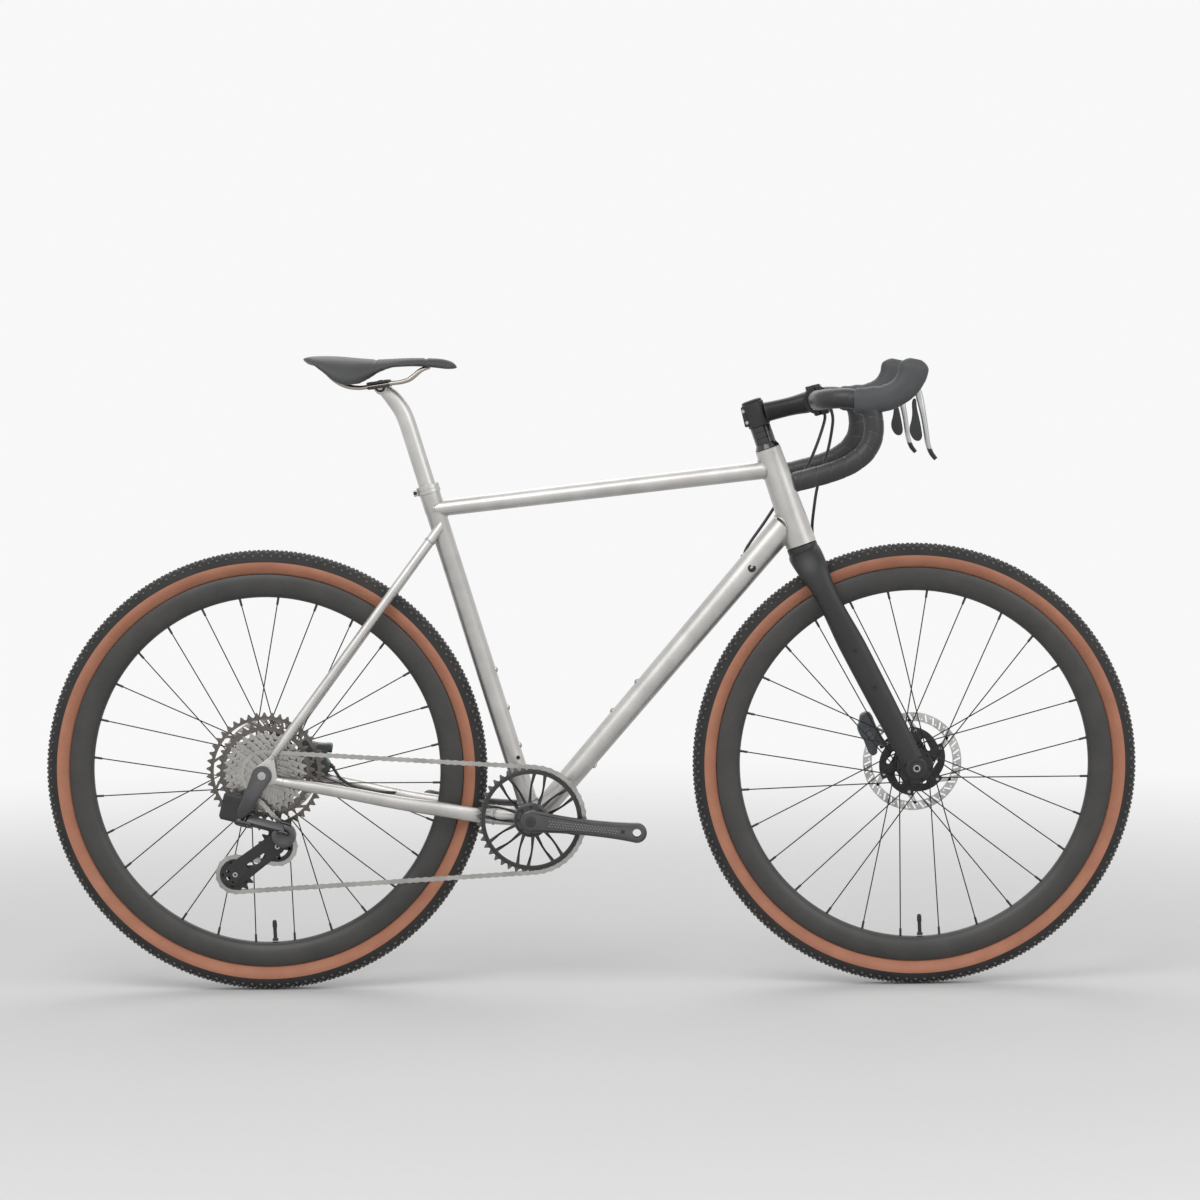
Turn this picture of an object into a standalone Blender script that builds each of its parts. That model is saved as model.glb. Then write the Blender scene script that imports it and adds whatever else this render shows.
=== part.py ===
"""Gravel bike: titanium frame, carbon fork, drop bar, one chainring, disc brakes.

Metres, +X to the front wheel, +Y to the rider's left, +Z up. The origin is the
centre of the bottom bracket. Every sub-part is one object with its own material,
and a piece that turns or slides has its origin on its joint's axis.
"""

import math

import bmesh
import bpy
from mathutils import Matrix, Vector

# Sizes shared by many pieces
GAP = 0.0003            # clearance between two pieces that touch or nearly touch
PITCH = 0.0127          # chain pitch, pin to pin

# Frame layout, side view
REAR_AXLE = Vector((-0.427, 0.0, 0.079))
FRONT_AXLE = Vector((0.615, 0.0, 0.079))
HEAD_ANGLE = math.radians(71.25)
HEAD_FOOT = Vector((0.4373, 0.0, 0.4336))       # head tube axis at its lower end
HEAD_LENGTH = 0.1636
SEAT_ANGLE = math.radians(73.2)
SEAT_TUBE_LENGTH = 0.560

# Frame tubes
HEAD_TOP_R = 0.0205
HEAD_FOOT_R = 0.0250
HEAD_BORE_R = 0.0180
SEAT_TUBE_R = 0.0159
TOP_TUBE_HALF_HEIGHT = (0.0134, 0.0146)         # at the seat tube, at the head tube
TOP_TUBE_HALF_WIDTH = 0.0170
TOP_TUBE_DOWN_SEAT = 0.0400                     # below the seat tube's top
TOP_TUBE_DOWN_HEAD = 0.0342                     # below the head tube's top
DOWN_TUBE_HALF_HEIGHT = (0.0172, 0.0214)        # at the bottom bracket, at the head tube
DOWN_TUBE_HALF_WIDTH = (0.0190, 0.0205)
DOWN_TUBE_FOOT = Vector((0.0045, 0.0, -0.0040))
DOWN_TUBE_UP_HEAD = 0.0470                      # above the head tube's lower end
TUBE_WALL = 0.0014
TUBE_SIDES = 14

# Bottom bracket and cranks
SHELL_R = 0.0255
SHELL_BORE_R = 0.0235
SHELL_HALF_WIDTH = 0.0370
CUP_FLANGE_R = 0.0262
CUP_FLANGE_WIDTH = 0.0050
CUP_DEPTH = 0.0140
SPINDLE_R = 0.0145
CRANK_LENGTH = 0.170
CRANK_ANGLE = math.radians(-6.8)                # right arm's direction at rest
ARM_BOSS_R = 0.0185
ARM_END_R = 0.0168
ARM_INNER_Y = 0.0590
ARM_THICKNESS = 0.0145
PEDAL_HOLE_R = 0.0071

# Chainring, cassette and chain
RING_TEETH = 42
COG_TEETH = (10, 11, 12, 13, 15, 17, 19, 21, 24, 28, 32, 38, 46)
CHAIN_COG = 5                                   # index of the cog the chain lies on
CHAIN_LINE = 0.0475                             # chain's distance from the middle plane
COG_SPACING = 0.0036
TOOTH_THICKNESS = 0.0016
TIP_RISE = 0.0030                               # tooth tip above the pitch circle
ROOT_DROP = 0.0044                              # tooth root below the pitch circle
RING_WEB_R = (0.0265, 0.0735)                   # inner and outer end of the ring's windows
RING_WINDOWS = 16
RING_SPOKE_WIDTH = 0.0040
RING_SPOKE_LEAN = math.radians(4.5)
RING_HUB_R = 0.0245
RING_HUB_HALF = 0.0030
FREEHUB_R = 0.0130
CORE_DROP = 0.0006                              # cassette's core under the smallest cog's roots
CHAIN_HALF_HEIGHT = 0.0040
CHAIN_HALF_WIDTH = 0.0025
CHAIN_INNER_HALF = 0.0012
ROLLER_HALF = 0.0025

# Rear derailleur
PULLEY_TEETH = 14
PULLEY_BOSS_R = 0.0085
PULLEY_BOLT_R = 0.0042
CAGE_CLEAR = 0.0040                             # pulley plane to the cage plate's inner face
CAGE_PLATE = 0.0018
CAGE_PIVOT = Vector((-0.395, 0.0, -0.019))
CAGE_UPPER_OFFSET = Vector((-0.010, 0.0, -0.021))
CAGE_LOWER_OFFSET = Vector((-0.073, 0.0, -0.073))
CAGE_STUB_R = 0.0050
KNUCKLE_R = 0.0190
KNUCKLE_LENGTH = 0.0230
LINK_SLANT = math.radians(38.0)                 # pivot axes leaning out of vertical
LINK_START = Vector((-0.450, -0.070, 0.006))
LINK_END = Vector((-0.397, -0.070, -0.008))
LINK_R = 0.0062
LINK_HALF_THICKNESS = 0.0070
EAR_THICKNESS = 0.0028
BATTERY_LOW = Vector((-0.497, -0.080, 0.004))
BATTERY_HIGH = Vector((-0.457, -0.056, 0.052))
MOUNT_PLATE = 0.0070

# Rear triangle
DROPOUT_INNER_Y = 0.0710                        # half of the rear hub width
DROPOUT_THICKNESS = 0.0070
DROPOUT_R = 0.0165
SEATSTAY_R = 0.0076
SEATSTAY_UP_SEAT = 0.4895                       # along the seat tube from the origin

# Axles
AXLE_R = 0.0060
AXLE_HEAD_R = 0.0090
AXLE_HEAD_LENGTH = 0.0050

# Wheels
FRONT_FLANGES = (-0.0330, 0.0220)               # right and left flange, across the wheel
REAR_FLANGES = (-0.0170, 0.0330)
FREEHUB_FACE = 0.0672                           # right end of the freehub
RIM_BED_R = 0.3095                              # where the tyre's beads sit
RIM_HOOK_HEIGHT = 0.0077                        # from the bed to the rim's outer edge
RIM_DEPTH = 0.0301                              # from the bed in to the rim's nose
RIM_EDGE_R = RIM_BED_R + RIM_HOOK_HEIGHT
RIM_INNER_R = RIM_BED_R - RIM_DEPTH
TYRE_HEIGHT = 0.0388                            # above the rim's outer edge
TYRE_R = RIM_EDGE_R + TYRE_HEIGHT
TYRE_HALF_WIDTH = 0.0225
TYRE_BULGE = 0.446                              # share of the height where the tyre is widest
TYRE_INNER_BULGE = 0.549                        # the same on the inside
TYRE_SHOULDER_DROP = 0.0072                     # shoulder below the crown
TYRE_SHOULDER = 0.78                            # shoulder's share of the half width
TYRE_WALL = 0.0030
TYRE_CROWN_WALL = 0.0050
RIM_HALF_WIDTH = 0.0145
RIM_HOOK = 0.0030
RIM_NOSE_HALF = 0.0055
RIM_FLANK = 0.0140                              # height of the rim's flat side
WHEEL_SEGMENTS = 36
SPOKES = 28
SPOKE_R = 0.0012
SPOKE_LEAD = math.radians(72.0)                 # flange hole ahead of the rim hole
FLANGE_R = 0.0290
FLANGE_THICKNESS = 0.0032
HUB_SHELL_R = 0.0150
HUB_BORE_R = 0.0067
HUB_END_R = 0.0105
SPOKE_OUT = 0.0024                              # spoke line off the flange's middle
VALVE_R = 0.0032
VALVE_LENGTH = 0.0340
WHEEL_TURN = math.radians(1.7)                  # where lacing and valves stand, from +X toward +Z

# Brakes
ROTOR_R = 0.0800
ROTOR_TRACK_R = 0.0645
ROTOR_CARRIER_R = 0.0560
ROTOR_THICKNESS = 0.0018
HUB_ROOM_R = 0.0300                             # cleared beside the fork's ends for the hub
CUTTER_REACH = 0.0800                           # how far a cutting shape runs past what it cuts
ROTOR_SLOT = 0.0036                             # slot in the caliper for the rotor
FRONT_HUB_HALF = 0.0500
FRONT_ROTOR_Y = 0.0345
REAR_ROTOR_Y = 0.0555

# Fork
CROWN_DOWN = 0.0160                             # crown centre below the head tube
CROWN_HALF_HEIGHT = 0.0152
CROWN_HALF_DEPTH = 0.0265
STEERER_R = 0.0143
STEERER_FOOT_R = 0.0190
LEG_HALF_DEPTH = (0.0200, 0.0205, 0.0170)       # top, middle, foot
LEG_HALF_WIDTH = (0.0110, 0.0100, 0.0075)
LEG_Y = (0.0430, 0.0465, 0.0578)
BOSS_R = 0.0055
BOSS_HEIGHT = 0.0022

# Headset, spacers and stem, measured along the steering axis from HEAD_FOOT
BEARING_HEIGHT = 0.0105
LOWER_BEARING_R = 0.0221
UPPER_BEARING_R = 0.0184
SPACER_TOP = 0.2010
SPACER_R = 0.0165
STEM_TOP = 0.2410
STEM_CLAMP_R = 0.0178
STEM_LENGTH = 0.100
STEM_RISE = math.radians(12.75)
STEM_HALF_HEIGHT = 0.0158
STEM_HALF_WIDTH = 0.0165
BAR_CLAMP_R = 0.0222
BAR_CLAMP_HALF_WIDTH = 0.0215
CAP_HEIGHT = 0.0042

# Handlebar
BAR_CLAMPED_R = 0.0159
BAR_R = 0.0119
TAPE_R = 0.0157
TAPE_START_Y = 0.0450

# Brake levers
HOOD_HALF_WIDTH = 0.0190
LEVER_SLOT_HALF = 0.0056
LEVER_TONGUE_HALF = 0.0050
LEVER_PIVOT = Vector((0.6035, -0.2135, 0.6975))
PADDLE_HALF_THICKNESS = 0.0020

# Seatpost and saddle
POST_R = 0.0136
POST_INSERT = 0.130
POST_STRAIGHT = 0.095                           # straight part above the collar
COLLAR_HEIGHT = 0.0130
COLLAR_R = 0.0185
HEAD_BARREL_R = 0.0110
HEAD_BARREL_HALF = 0.0120
CLAMP_X = -0.2360
CLAMP_HALF_LENGTH = 0.0185
CLAMP_HALF_WIDTH = 0.0290
CLAMP_HEIGHT = 0.0125
RAIL_R = 0.0035
RAIL_Y = 0.0220
RAIL_SIDES = 6
SADDLE_HALF_WIDTH = 0.0720

# Hoses
HOSE_R = 0.0025

UP = Vector((0.0, 0.0, 1.0))
LEFT = Vector((0.0, 1.0, 0.0))
STEER_DIR = Vector((-math.cos(HEAD_ANGLE), 0.0, math.sin(HEAD_ANGLE)))
SEAT_DIR = Vector((-math.cos(SEAT_ANGLE), 0.0, math.sin(SEAT_ANGLE)))

# Ports, bosses and stays
DOWN_BOSS_X = (0.185, 0.145)
DOWN_UNDER_BOSS_X = 0.088
SEAT_BOSS_T = (0.2440, 0.1800, 0.1160)
HOSE_PORT = Vector((0.3470, 0.0120, 0.4167))
HOSE_PORT_DIR = Vector((0.10, 0.42, 0.90)).normalized()
STAY_MID = DROPOUT_INNER_Y + DROPOUT_THICKNESS / 2
CHAINSTAY_PATH = (
    # x, y, z, half height, half width
    (-0.4080, STAY_MID, 0.0700, 0.0062, 0.0034),
    (-0.3920, STAY_MID - 0.0005, 0.0668, 0.0070, 0.0060),
    (-0.3600, 0.0695, 0.0608, 0.0086, 0.0075),
    (-0.3000, 0.0615, 0.0487, 0.0098, 0.0082),
    (-0.2000, 0.0475, 0.0272, 0.0110, 0.0085),
    (-0.1400, 0.0395, 0.0166, 0.0118, 0.0078),
    (-0.1050, 0.0345, 0.0098, 0.0116, 0.0060),
    (-0.0750, 0.0312, 0.0045, 0.0116, 0.0047),
    (-0.0400, 0.0295, 0.0012, 0.0118, 0.0050),
    (-0.0050, 0.0290, 0.0000, 0.0120, 0.0055),
)
STAY_PORT = Vector((-0.2235, 0.0460, 0.0348))     # where the rear hose ends inside the left stay
STAY_PORT_DIR = Vector((0.72, 0.69, -0.08)).normalized()
SEATSTAY_FOOT = Vector((-0.4130, STAY_MID, 0.1045))
SEATSTAY_Y = ((0.04, STAY_MID), (0.09, 0.0715), (0.25, 0.0630), (0.45, 0.0520), (0.65, 0.0390), (0.76, 0.0325),
              (0.88, 0.0225), (1.0, 0.0125))

# Derailleur layout
LINK_DIR = (LINK_END - LINK_START).normalized()
SLANT = Vector((0.0, math.sin(LINK_SLANT), math.cos(LINK_SLANT)))
PIVOT_DIR = (SLANT - LINK_DIR * SLANT.dot(LINK_DIR)).normalized()
PIN_R = 0.0023

# Fork, stem, hood, lever and caliper layout
FORK_BOSS_X = (0.4890, 0.5190, 0.5490)
STEM_DIR = Vector((math.cos(STEM_RISE), 0.0, math.sin(STEM_RISE)))
HOOD_LINE = (
    # x, z, half height, half width
    (0.5111, 0.6650, 0.0200, 0.0180), (0.5375, 0.6655, 0.0215, 0.0188), (0.5630, 0.6700, 0.0205, 0.0190),
    (0.5870, 0.6830, 0.0212, 0.0185), (0.5995, 0.7000, 0.0228, 0.0170), (0.6045, 0.7190, 0.0230, 0.0150),
    (0.6065, 0.7285, 0.0200, 0.0120),
)
LEVER_LINE = (
    # x, z, half thickness, half width
    (0.6035, 0.6975, 0.0052, 0.0050), (0.6085, 0.6830, 0.0056, 0.0050), (0.6125, 0.6690, 0.0056, 0.0050),
    (0.6160, 0.6520, 0.0050, 0.0075), (0.6190, 0.6360, 0.0045, 0.0085), (0.6220, 0.6150, 0.0042, 0.0090),
    (0.6250, 0.5960, 0.0040, 0.0085), (0.6300, 0.5830, 0.0038, 0.0075), (0.6365, 0.5745, 0.0034, 0.0060),
)
PADDLE_AXIS_POINT = Vector((0.6055, -0.2135, 0.6640))
PADDLE_OUTLINE = (
    (0.6020, 0.6680), (0.6064, 0.6680), (0.6071, 0.6640), (0.6080, 0.6520), (0.6110, 0.6400), (0.6140, 0.6250),
    (0.6165, 0.6090), (0.6120, 0.6020), (0.6040, 0.6030), (0.5975, 0.6120), (0.5960, 0.6230), (0.5995, 0.6340),
    (0.6010, 0.6460), (0.6000, 0.6600),
)
FRONT_CALIPER = Vector((0.5480, 0.0390, 0.1250))
REAR_CALIPER = Vector((-0.3555, 0.0590, 0.0955))
FRONT_HOSE = ((0.4795, 0.0021 - TAPE_START_Y, 0.6620), (0.4830, -0.0370, 0.6560), (0.4865, -0.0310, 0.6440),
              (0.4880, -0.0250, 0.6300), (0.4830, -0.0100, 0.5950),
              (0.4750, 0.0000, 0.5630), (0.4640, 0.0060, 0.5260), (0.4585, 0.0150, 0.4900),
              (0.4560, 0.0280, 0.4600), (0.4580, 0.0400, 0.4330))
REAR_HOSE_FRONT = ((0.4790, TAPE_START_Y - 0.0021, 0.6620), (0.4790, 0.0370, 0.6550), (0.4778, 0.0325, 0.6440),
                   (0.4770, 0.0280, 0.6300), (0.4630, 0.0200, 0.5900),
                   (0.4460, 0.0240, 0.5547), (0.4160, 0.0300, 0.5228), (0.3800, 0.0280, 0.4700),
                   (0.3580, 0.0235, 0.4400), tuple(HOSE_PORT + HOSE_PORT_DIR * 0.0080),
                   tuple(HOSE_PORT - HOSE_PORT_DIR * 0.0010))
REAR_HOSE = (tuple(STAY_PORT), tuple(STAY_PORT - STAY_PORT_DIR * 0.0080), (-0.2447, 0.0390, 0.0365),
             (-0.2682, 0.0430, 0.0390), (-0.2915, 0.0470, 0.0450), (-0.3120, 0.0505, 0.0570),
             (-0.3210, 0.0540, 0.0680), (-0.3270, 0.0570, 0.0770))

# Post, rails and saddle layout
POST_HEAD = Vector((-0.2335, 0.0, 0.6940))
POST_BEND = (Vector((-0.2005, 0.0, 0.6560)), Vector((-0.2130, 0.0, 0.6740)), Vector((-0.2270, 0.0, 0.6890)))
RAIL_LINE = (
    # x, y, z from the rear socket forward on the left side
    (-0.3220, 0.0310, 0.7245), (-0.3110, 0.0300, 0.7110), (-0.2980, 0.0275, 0.7010), (-0.2820, 0.0240, 0.6945),
    (-0.2676, 0.0225, 0.6930), (-0.2500, 0.0220, 0.6948), (-0.2132, 0.0220, 0.7000), (-0.1987, 0.0215, 0.7018),
    (-0.1878, 0.0200, 0.7055), (-0.1790, 0.0175, 0.7120), (-0.1697, 0.0135, 0.7195), (-0.1620, 0.0090, 0.7232),
)
SADDLE_STATIONS = (
    # x, half width, top, edge height, underside at the middle
    (-0.3580, 0.0200, 0.7425, 0.7395, 0.7368), (-0.3520, 0.0400, 0.7440, 0.7375, 0.7335),
    (-0.3430, 0.0550, 0.7448, 0.7350, 0.7300), (-0.3350, 0.0630, 0.7450, 0.7290, 0.7280),
    (-0.3200, 0.0700, 0.7447, 0.7175, 0.7262), (-0.3050, 0.0720, 0.7438, 0.7050, 0.7255),
    (-0.2900, 0.0712, 0.7425, 0.6970, 0.7248), (-0.2750, 0.0660, 0.7410, 0.6975, 0.7240),
    (-0.2576, 0.0545, 0.7393, 0.7050, 0.7235), (-0.2400, 0.0440, 0.7378, 0.7165, 0.7235),
    (-0.2168, 0.0345, 0.7385, 0.7245, 0.7250), (-0.1850, 0.0262, 0.7400, 0.7270, 0.7262),
    (-0.1590, 0.0225, 0.7402, 0.7265, 0.7255), (-0.1520, 0.0220, 0.7400, 0.7245, 0.7240),
    (-0.1350, 0.0200, 0.7390, 0.7210, 0.7225), (-0.1190, 0.0165, 0.7350, 0.7190, 0.7210),
    (-0.1100, 0.0090, 0.7285, 0.7200, 0.7205),
)
SADDLE_ARC = (
    # share of the half width, share of the way down from the top to the edge
    (0.0, 0.03), (0.16, 0.0), (0.40, 0.03), (0.64, 0.12), (0.83, 0.31), (0.95, 0.58), (1.0, 0.86),
)
SADDLE_GROOVES = (-0.2400, -0.1600)
GROOVE_DEPTH = 0.0018
GROOVE_HALF = 0.0035


def on_steerer(t):
    """Point on the steering axis, t above the head tube's lower end."""
    return HEAD_FOOT + STEER_DIR * t


def on_seat_tube(t):
    """Point on the seat tube's axis, t above the bottom bracket."""
    return SEAT_DIR * t


def mirrored(points):
    """The same points on the other side of the middle plane."""
    return [Vector((p.x, -p.y, p.z)) for p in points]


def pitch_radius(teeth):
    return PITCH / (2.0 * math.sin(math.pi / teeth))


def bore_for(radius, sides):
    """Radius of a many-sided hole whose flats stay a gap away from a shaft."""
    return (radius + GAP) / math.cos(math.pi / sides)


# Materials

def material(name, colour, roughness, metallic):
    made = bpy.data.materials.new(name)
    made.use_nodes = True
    shader = made.node_tree.nodes["Principled BSDF"]
    shader.inputs["Base Color"].default_value = (*colour, 1.0)
    shader.inputs["Roughness"].default_value = roughness
    shader.inputs["Metallic"].default_value = metallic
    made.diffuse_color = (*colour, 1.0)
    return made


def make_materials():
    return {
        "titanium": material("titanium", (0.60, 0.57, 0.54), 0.32, 1.0),
        "carbon_black": material("carbon_black", (0.022, 0.023, 0.026), 0.50, 0.0),
        "anodised_black": material("anodised_black", (0.025, 0.025, 0.028), 0.35, 0.6),
        "steel": material("steel", (0.62, 0.61, 0.60), 0.28, 1.0),
        "crank_grey": material("crank_grey", (0.06, 0.065, 0.07), 0.38, 0.5),
        "tyre": material("tyre", (0.022, 0.022, 0.023), 0.85, 0.0),
        "rim": material("rim", (0.035, 0.035, 0.037), 0.42, 0.0),
        "spoke": material("spoke", (0.03, 0.035, 0.035), 0.35, 0.8),
        "tape": material("tape", (0.02, 0.02, 0.021), 0.55, 0.0),
        "hood_rubber": material("hood_rubber", (0.055, 0.060, 0.062), 0.65, 0.0),
        "lever_grey": material("lever_grey", (0.30, 0.31, 0.32), 0.35, 0.7),
        "hose": material("hose", (0.012, 0.012, 0.013), 0.40, 0.0),
        "saddle": material("saddle", (0.030, 0.030, 0.033), 0.60, 0.0),
        "rail": material("rail", (0.52, 0.49, 0.46), 0.30, 1.0),
        "chain": material("chain", (0.58, 0.55, 0.51), 0.30, 1.0),
    }


# Building blocks

def new_object(name, points, faces, finish=None):
    """An object in world place from points and faces, its normals facing out."""
    mesh = bpy.data.meshes.new(name)
    mesh.from_pydata([tuple(p) for p in points], [], faces)
    work = bmesh.new()
    work.from_mesh(mesh)
    bmesh.ops.recalc_face_normals(work, faces=work.faces[:])
    work.to_mesh(mesh)
    work.free()
    obj = bpy.data.objects.new(name, mesh)
    bpy.context.scene.collection.objects.link(obj)
    if finish:
        mesh.materials.append(finish)
    return obj


def skin(name, sections, closed=False, finish=None):
    """Joins rings of points in order. A closed skin ends where it starts; an open one is capped."""
    count = len(sections[0])
    points = [p for ring in sections for p in ring]
    faces = []
    spans = len(sections) if closed else len(sections) - 1
    for i in range(spans):
        a = i * count
        b = ((i + 1) % len(sections)) * count
        for j in range(count):
            k = (j + 1) % count
            faces.append((a + j, a + k, b + k, b + j))
    if not closed:
        faces.append(tuple(range(count))[::-1])
        last = (len(sections) - 1) * count
        faces.append(tuple(range(last, last + count)))
    return new_object(name, points, faces, finish)


def side_axes(direction, reference):
    """Two unit vectors square to direction, the second along reference as near as it can be."""
    second = (reference - direction * reference.dot(direction)).normalized()
    return second.cross(direction).normalized(), second


def turned(name, profile, origin, axis, segments, closed=True, finish=None, arc_start=0.0):
    """Turns a profile of (along, radius) about an axis. A closed profile makes a ring."""
    first, second = side_axes(axis, UP if abs(axis.z) < 0.7 else LEFT)
    sections = []
    for along, radius in profile:
        ring = []
        for i in range(segments):
            angle = arc_start + 2.0 * math.pi * i / segments
            out = first * math.cos(angle) + second * math.sin(angle)
            ring.append(origin + axis * along + out * radius)
        sections.append(ring)
    return skin(name, sections, closed, finish)


def tangents(points):
    found = []
    for i, _ in enumerate(points):
        before = points[max(i - 1, 0)]
        after = points[min(i + 1, len(points) - 1)]
        found.append((after - before).normalized())
    return found


def rings_along(points, radii, sides, reference=LEFT):
    """Oval rings along a path. Radii are (square to reference, along reference)."""
    rings = []
    for point, direction, (across, along) in zip(points, tangents(points), radii):
        first, second = side_axes(direction, reference)
        ring = []
        for i in range(sides):
            angle = 2.0 * math.pi * (i + 0.5) / sides
            ring.append(point + first * (across * math.cos(angle)) + second * (along * math.sin(angle)))
        rings.append(ring)
    return rings


def rolled_rings(points, radii, sides, start_reference):
    """Round rings along a path that turns any way, carried from ring to ring without twist."""
    rings = []
    _, second = side_axes(tangents(points)[0], start_reference)
    for point, direction, radius in zip(points, tangents(points), radii):
        first, second = side_axes(direction, second)
        ring = []
        for i in range(sides):
            angle = 2.0 * math.pi * (i + 0.5) / sides
            ring.append(point + (first * math.cos(angle) + second * math.sin(angle)) * radius)
        rings.append(ring)
    return rings


def oval_tube(name, points, radii, wall=0.0, sides=TUBE_SIDES, finish=None):
    """An oval tube along a path: solid, or open at both ends when it has a wall."""
    outer = rings_along(points, radii, sides)
    if not wall:
        return skin(name, outer, False, finish)
    inner = rings_along(points, [(a - wall, b - wall) for a, b in radii], sides)
    return skin(name, outer + inner[::-1], True, finish)


def filled(loops):
    """Faces that fill the first 2D loop and leave the others open, as indices into all the points."""
    flat = bmesh.new()
    for loop in loops:
        corners = [flat.verts.new((x, y, 0.0)) for x, y in loop]
        for i, corner in enumerate(corners):
            flat.edges.new((corner, corners[(i + 1) % len(corners)]))
    if len(loops) > 1:
        bmesh.ops.triangle_fill(flat, use_beauty=True, edges=flat.edges[:], normal=(0, 0, 1))
    else:
        flat.faces.new(flat.verts[:])
    flat.verts.index_update()
    faces = [tuple(v.index for v in face.verts) for face in flat.faces]
    flat.free()
    return faces


def prism(name, outline, holes, frame, low, high, finish=None):
    """A plate with holes: 2D loops in the frame's x and y, from low to high along its z."""
    loops = [outline] + holes
    sheet = [p for loop in loops for p in loop]
    count = len(sheet)
    points = [frame @ Vector((x, y, z)) for z in (low, high) for x, y in sheet]
    bottom = filled(loops)
    faces = bottom + [tuple(i + count for i in face)[::-1] for face in bottom]
    start = 0
    for loop in loops:
        size = len(loop)
        for i in range(size):
            a = start + i
            b = start + (i + 1) % size
            faces.append((a, b, b + count, a + count))
        start += size
    return new_object(name, points, faces, finish)


def frame_at(origin, x_axis, y_axis):
    """A matrix from local (x, y, z) to the world, z square to both axes."""
    z_axis = x_axis.cross(y_axis)
    return Matrix.Translation(origin) @ Matrix((x_axis, y_axis, z_axis)).transposed().to_4x4()


# Local x is +X, local y is +Z, so local z is -Y
SIDE_FRAME = frame_at(Vector((0, 0, 0)), Vector((1, 0, 0)), UP)


def side_plate(name, outline, holes, y_low, y_high, finish=None):
    """A plate seen from the side: loops of (x, z), between two y values."""
    return prism(name, outline, holes, SIDE_FRAME, -y_high, -y_low, finish)


def circle(x, z, radius, sides, start=0.0):
    step = 2.0 * math.pi / sides
    return [(x + radius * math.cos(start + i * step), z + radius * math.sin(start + i * step))
            for i in range(sides)]


def hull(circles, sides=20):
    """The outline drawn tight round some circles (x, z, radius)."""
    cloud = sorted({p for x, z, r in circles for p in circle(x, z, r, sides)})

    def half(points):
        kept = []
        for p in points:
            while len(kept) > 1 and cross(kept[-2], kept[-1], p) <= 1e-12:
                kept.pop()
            kept.append(p)
        return kept[:-1]

    def cross(a, b, c):
        return (b[0] - a[0]) * (c[1] - a[1]) - (b[1] - a[1]) * (c[0] - a[0])

    return half(cloud) + half(cloud[::-1])


def boolean(target, tool, operation):
    """Joins, cuts or intersects with a tool, which is then removed."""
    change = target.modifiers.new("cut", "BOOLEAN")
    change.operation = operation
    change.object = tool
    change.solver = "EXACT"
    graph = bpy.context.evaluated_depsgraph_get()
    mesh = bpy.data.meshes.new_from_object(target.evaluated_get(graph))
    target.modifiers.clear()
    old = target.data
    target.data = mesh
    bpy.data.meshes.remove(old)
    mesh.name = target.name
    bpy.data.objects.remove(tool)
    return target


def join(target, *tools):
    for tool in tools:
        boolean(target, tool, "UNION")
    return target


def cut(target, *tools):
    for tool in tools:
        boolean(target, tool, "DIFFERENCE")
    return target


def round_bar(name, start, end, radius, sides=12, finish=None):
    axis = (end - start).normalized()
    return turned(name, [(0.0, radius), ((end - start).length, radius)], start, axis, sides, False, finish)


def ring(name, origin, axis, low, high, inner, outer, segments, finish=None):
    profile = [(low, inner), (low, outer), (high, outer), (high, inner)]
    return turned(name, profile, origin, axis, segments, True, finish)


def block(name, centre, x_axis, y_axis, half, bevel=0.0, finish=None):
    """A box about a centre, half a size each way, its long edges rounded by one bevel step."""
    place = frame_at(centre, x_axis, y_axis)
    a, b, c = half
    e = bevel
    outline = [(-a + e, -b), (a - e, -b), (a, -b + e), (a, b - e),
               (a - e, b), (-a + e, b), (-a, b - e), (-a, -b + e)]
    if not bevel:
        outline = [(-a, -b), (a, -b), (a, b), (-a, b)]
    return prism(name, outline, [], place, -c, c, finish)


def finish_object(obj, finish, origin=Vector((0, 0, 0)), sharp=32.0):
    """Gives the piece its one material, moves its origin to its joint, and shades it smooth."""
    mesh = obj.data
    mesh.materials.clear()
    mesh.materials.append(finish)
    mesh.polygons.foreach_set("material_index", [0] * len(mesh.polygons))
    mesh.transform(Matrix.Translation(-origin))
    obj.location = origin
    mesh.shade_smooth()
    mesh.set_sharp_from_angle(angle=math.radians(sharp))
    return obj


# Frame


def head_cutter(extra=GAP):
    """The head tube's outside with a clearance, to mitre the tubes that meet it."""
    profile = [(-0.01, HEAD_FOOT_R + extra), (0.0, HEAD_FOOT_R + extra),
               (HEAD_LENGTH, HEAD_TOP_R + extra), (HEAD_LENGTH + 0.01, HEAD_TOP_R + extra)]
    return turned("head_cutter", profile, HEAD_FOOT, STEER_DIR, 20, False)


def seat_cutter():
    return round_bar("seat_cutter", on_seat_tube(0.02), on_seat_tube(SEAT_TUBE_LENGTH + 0.02),
                     SEAT_TUBE_R + GAP, 18)


def shell_cutter():
    width = SHELL_HALF_WIDTH + 0.01
    return round_bar("shell_cutter", LEFT * -width, LEFT * width, SHELL_R + GAP, 20)


def boss(base, direction, sides=6):
    """A threaded boss's round seat, standing on a tube."""
    return round_bar("boss", base - direction * TUBE_WALL, base + direction * BOSS_HEIGHT, BOSS_R, sides)


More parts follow.
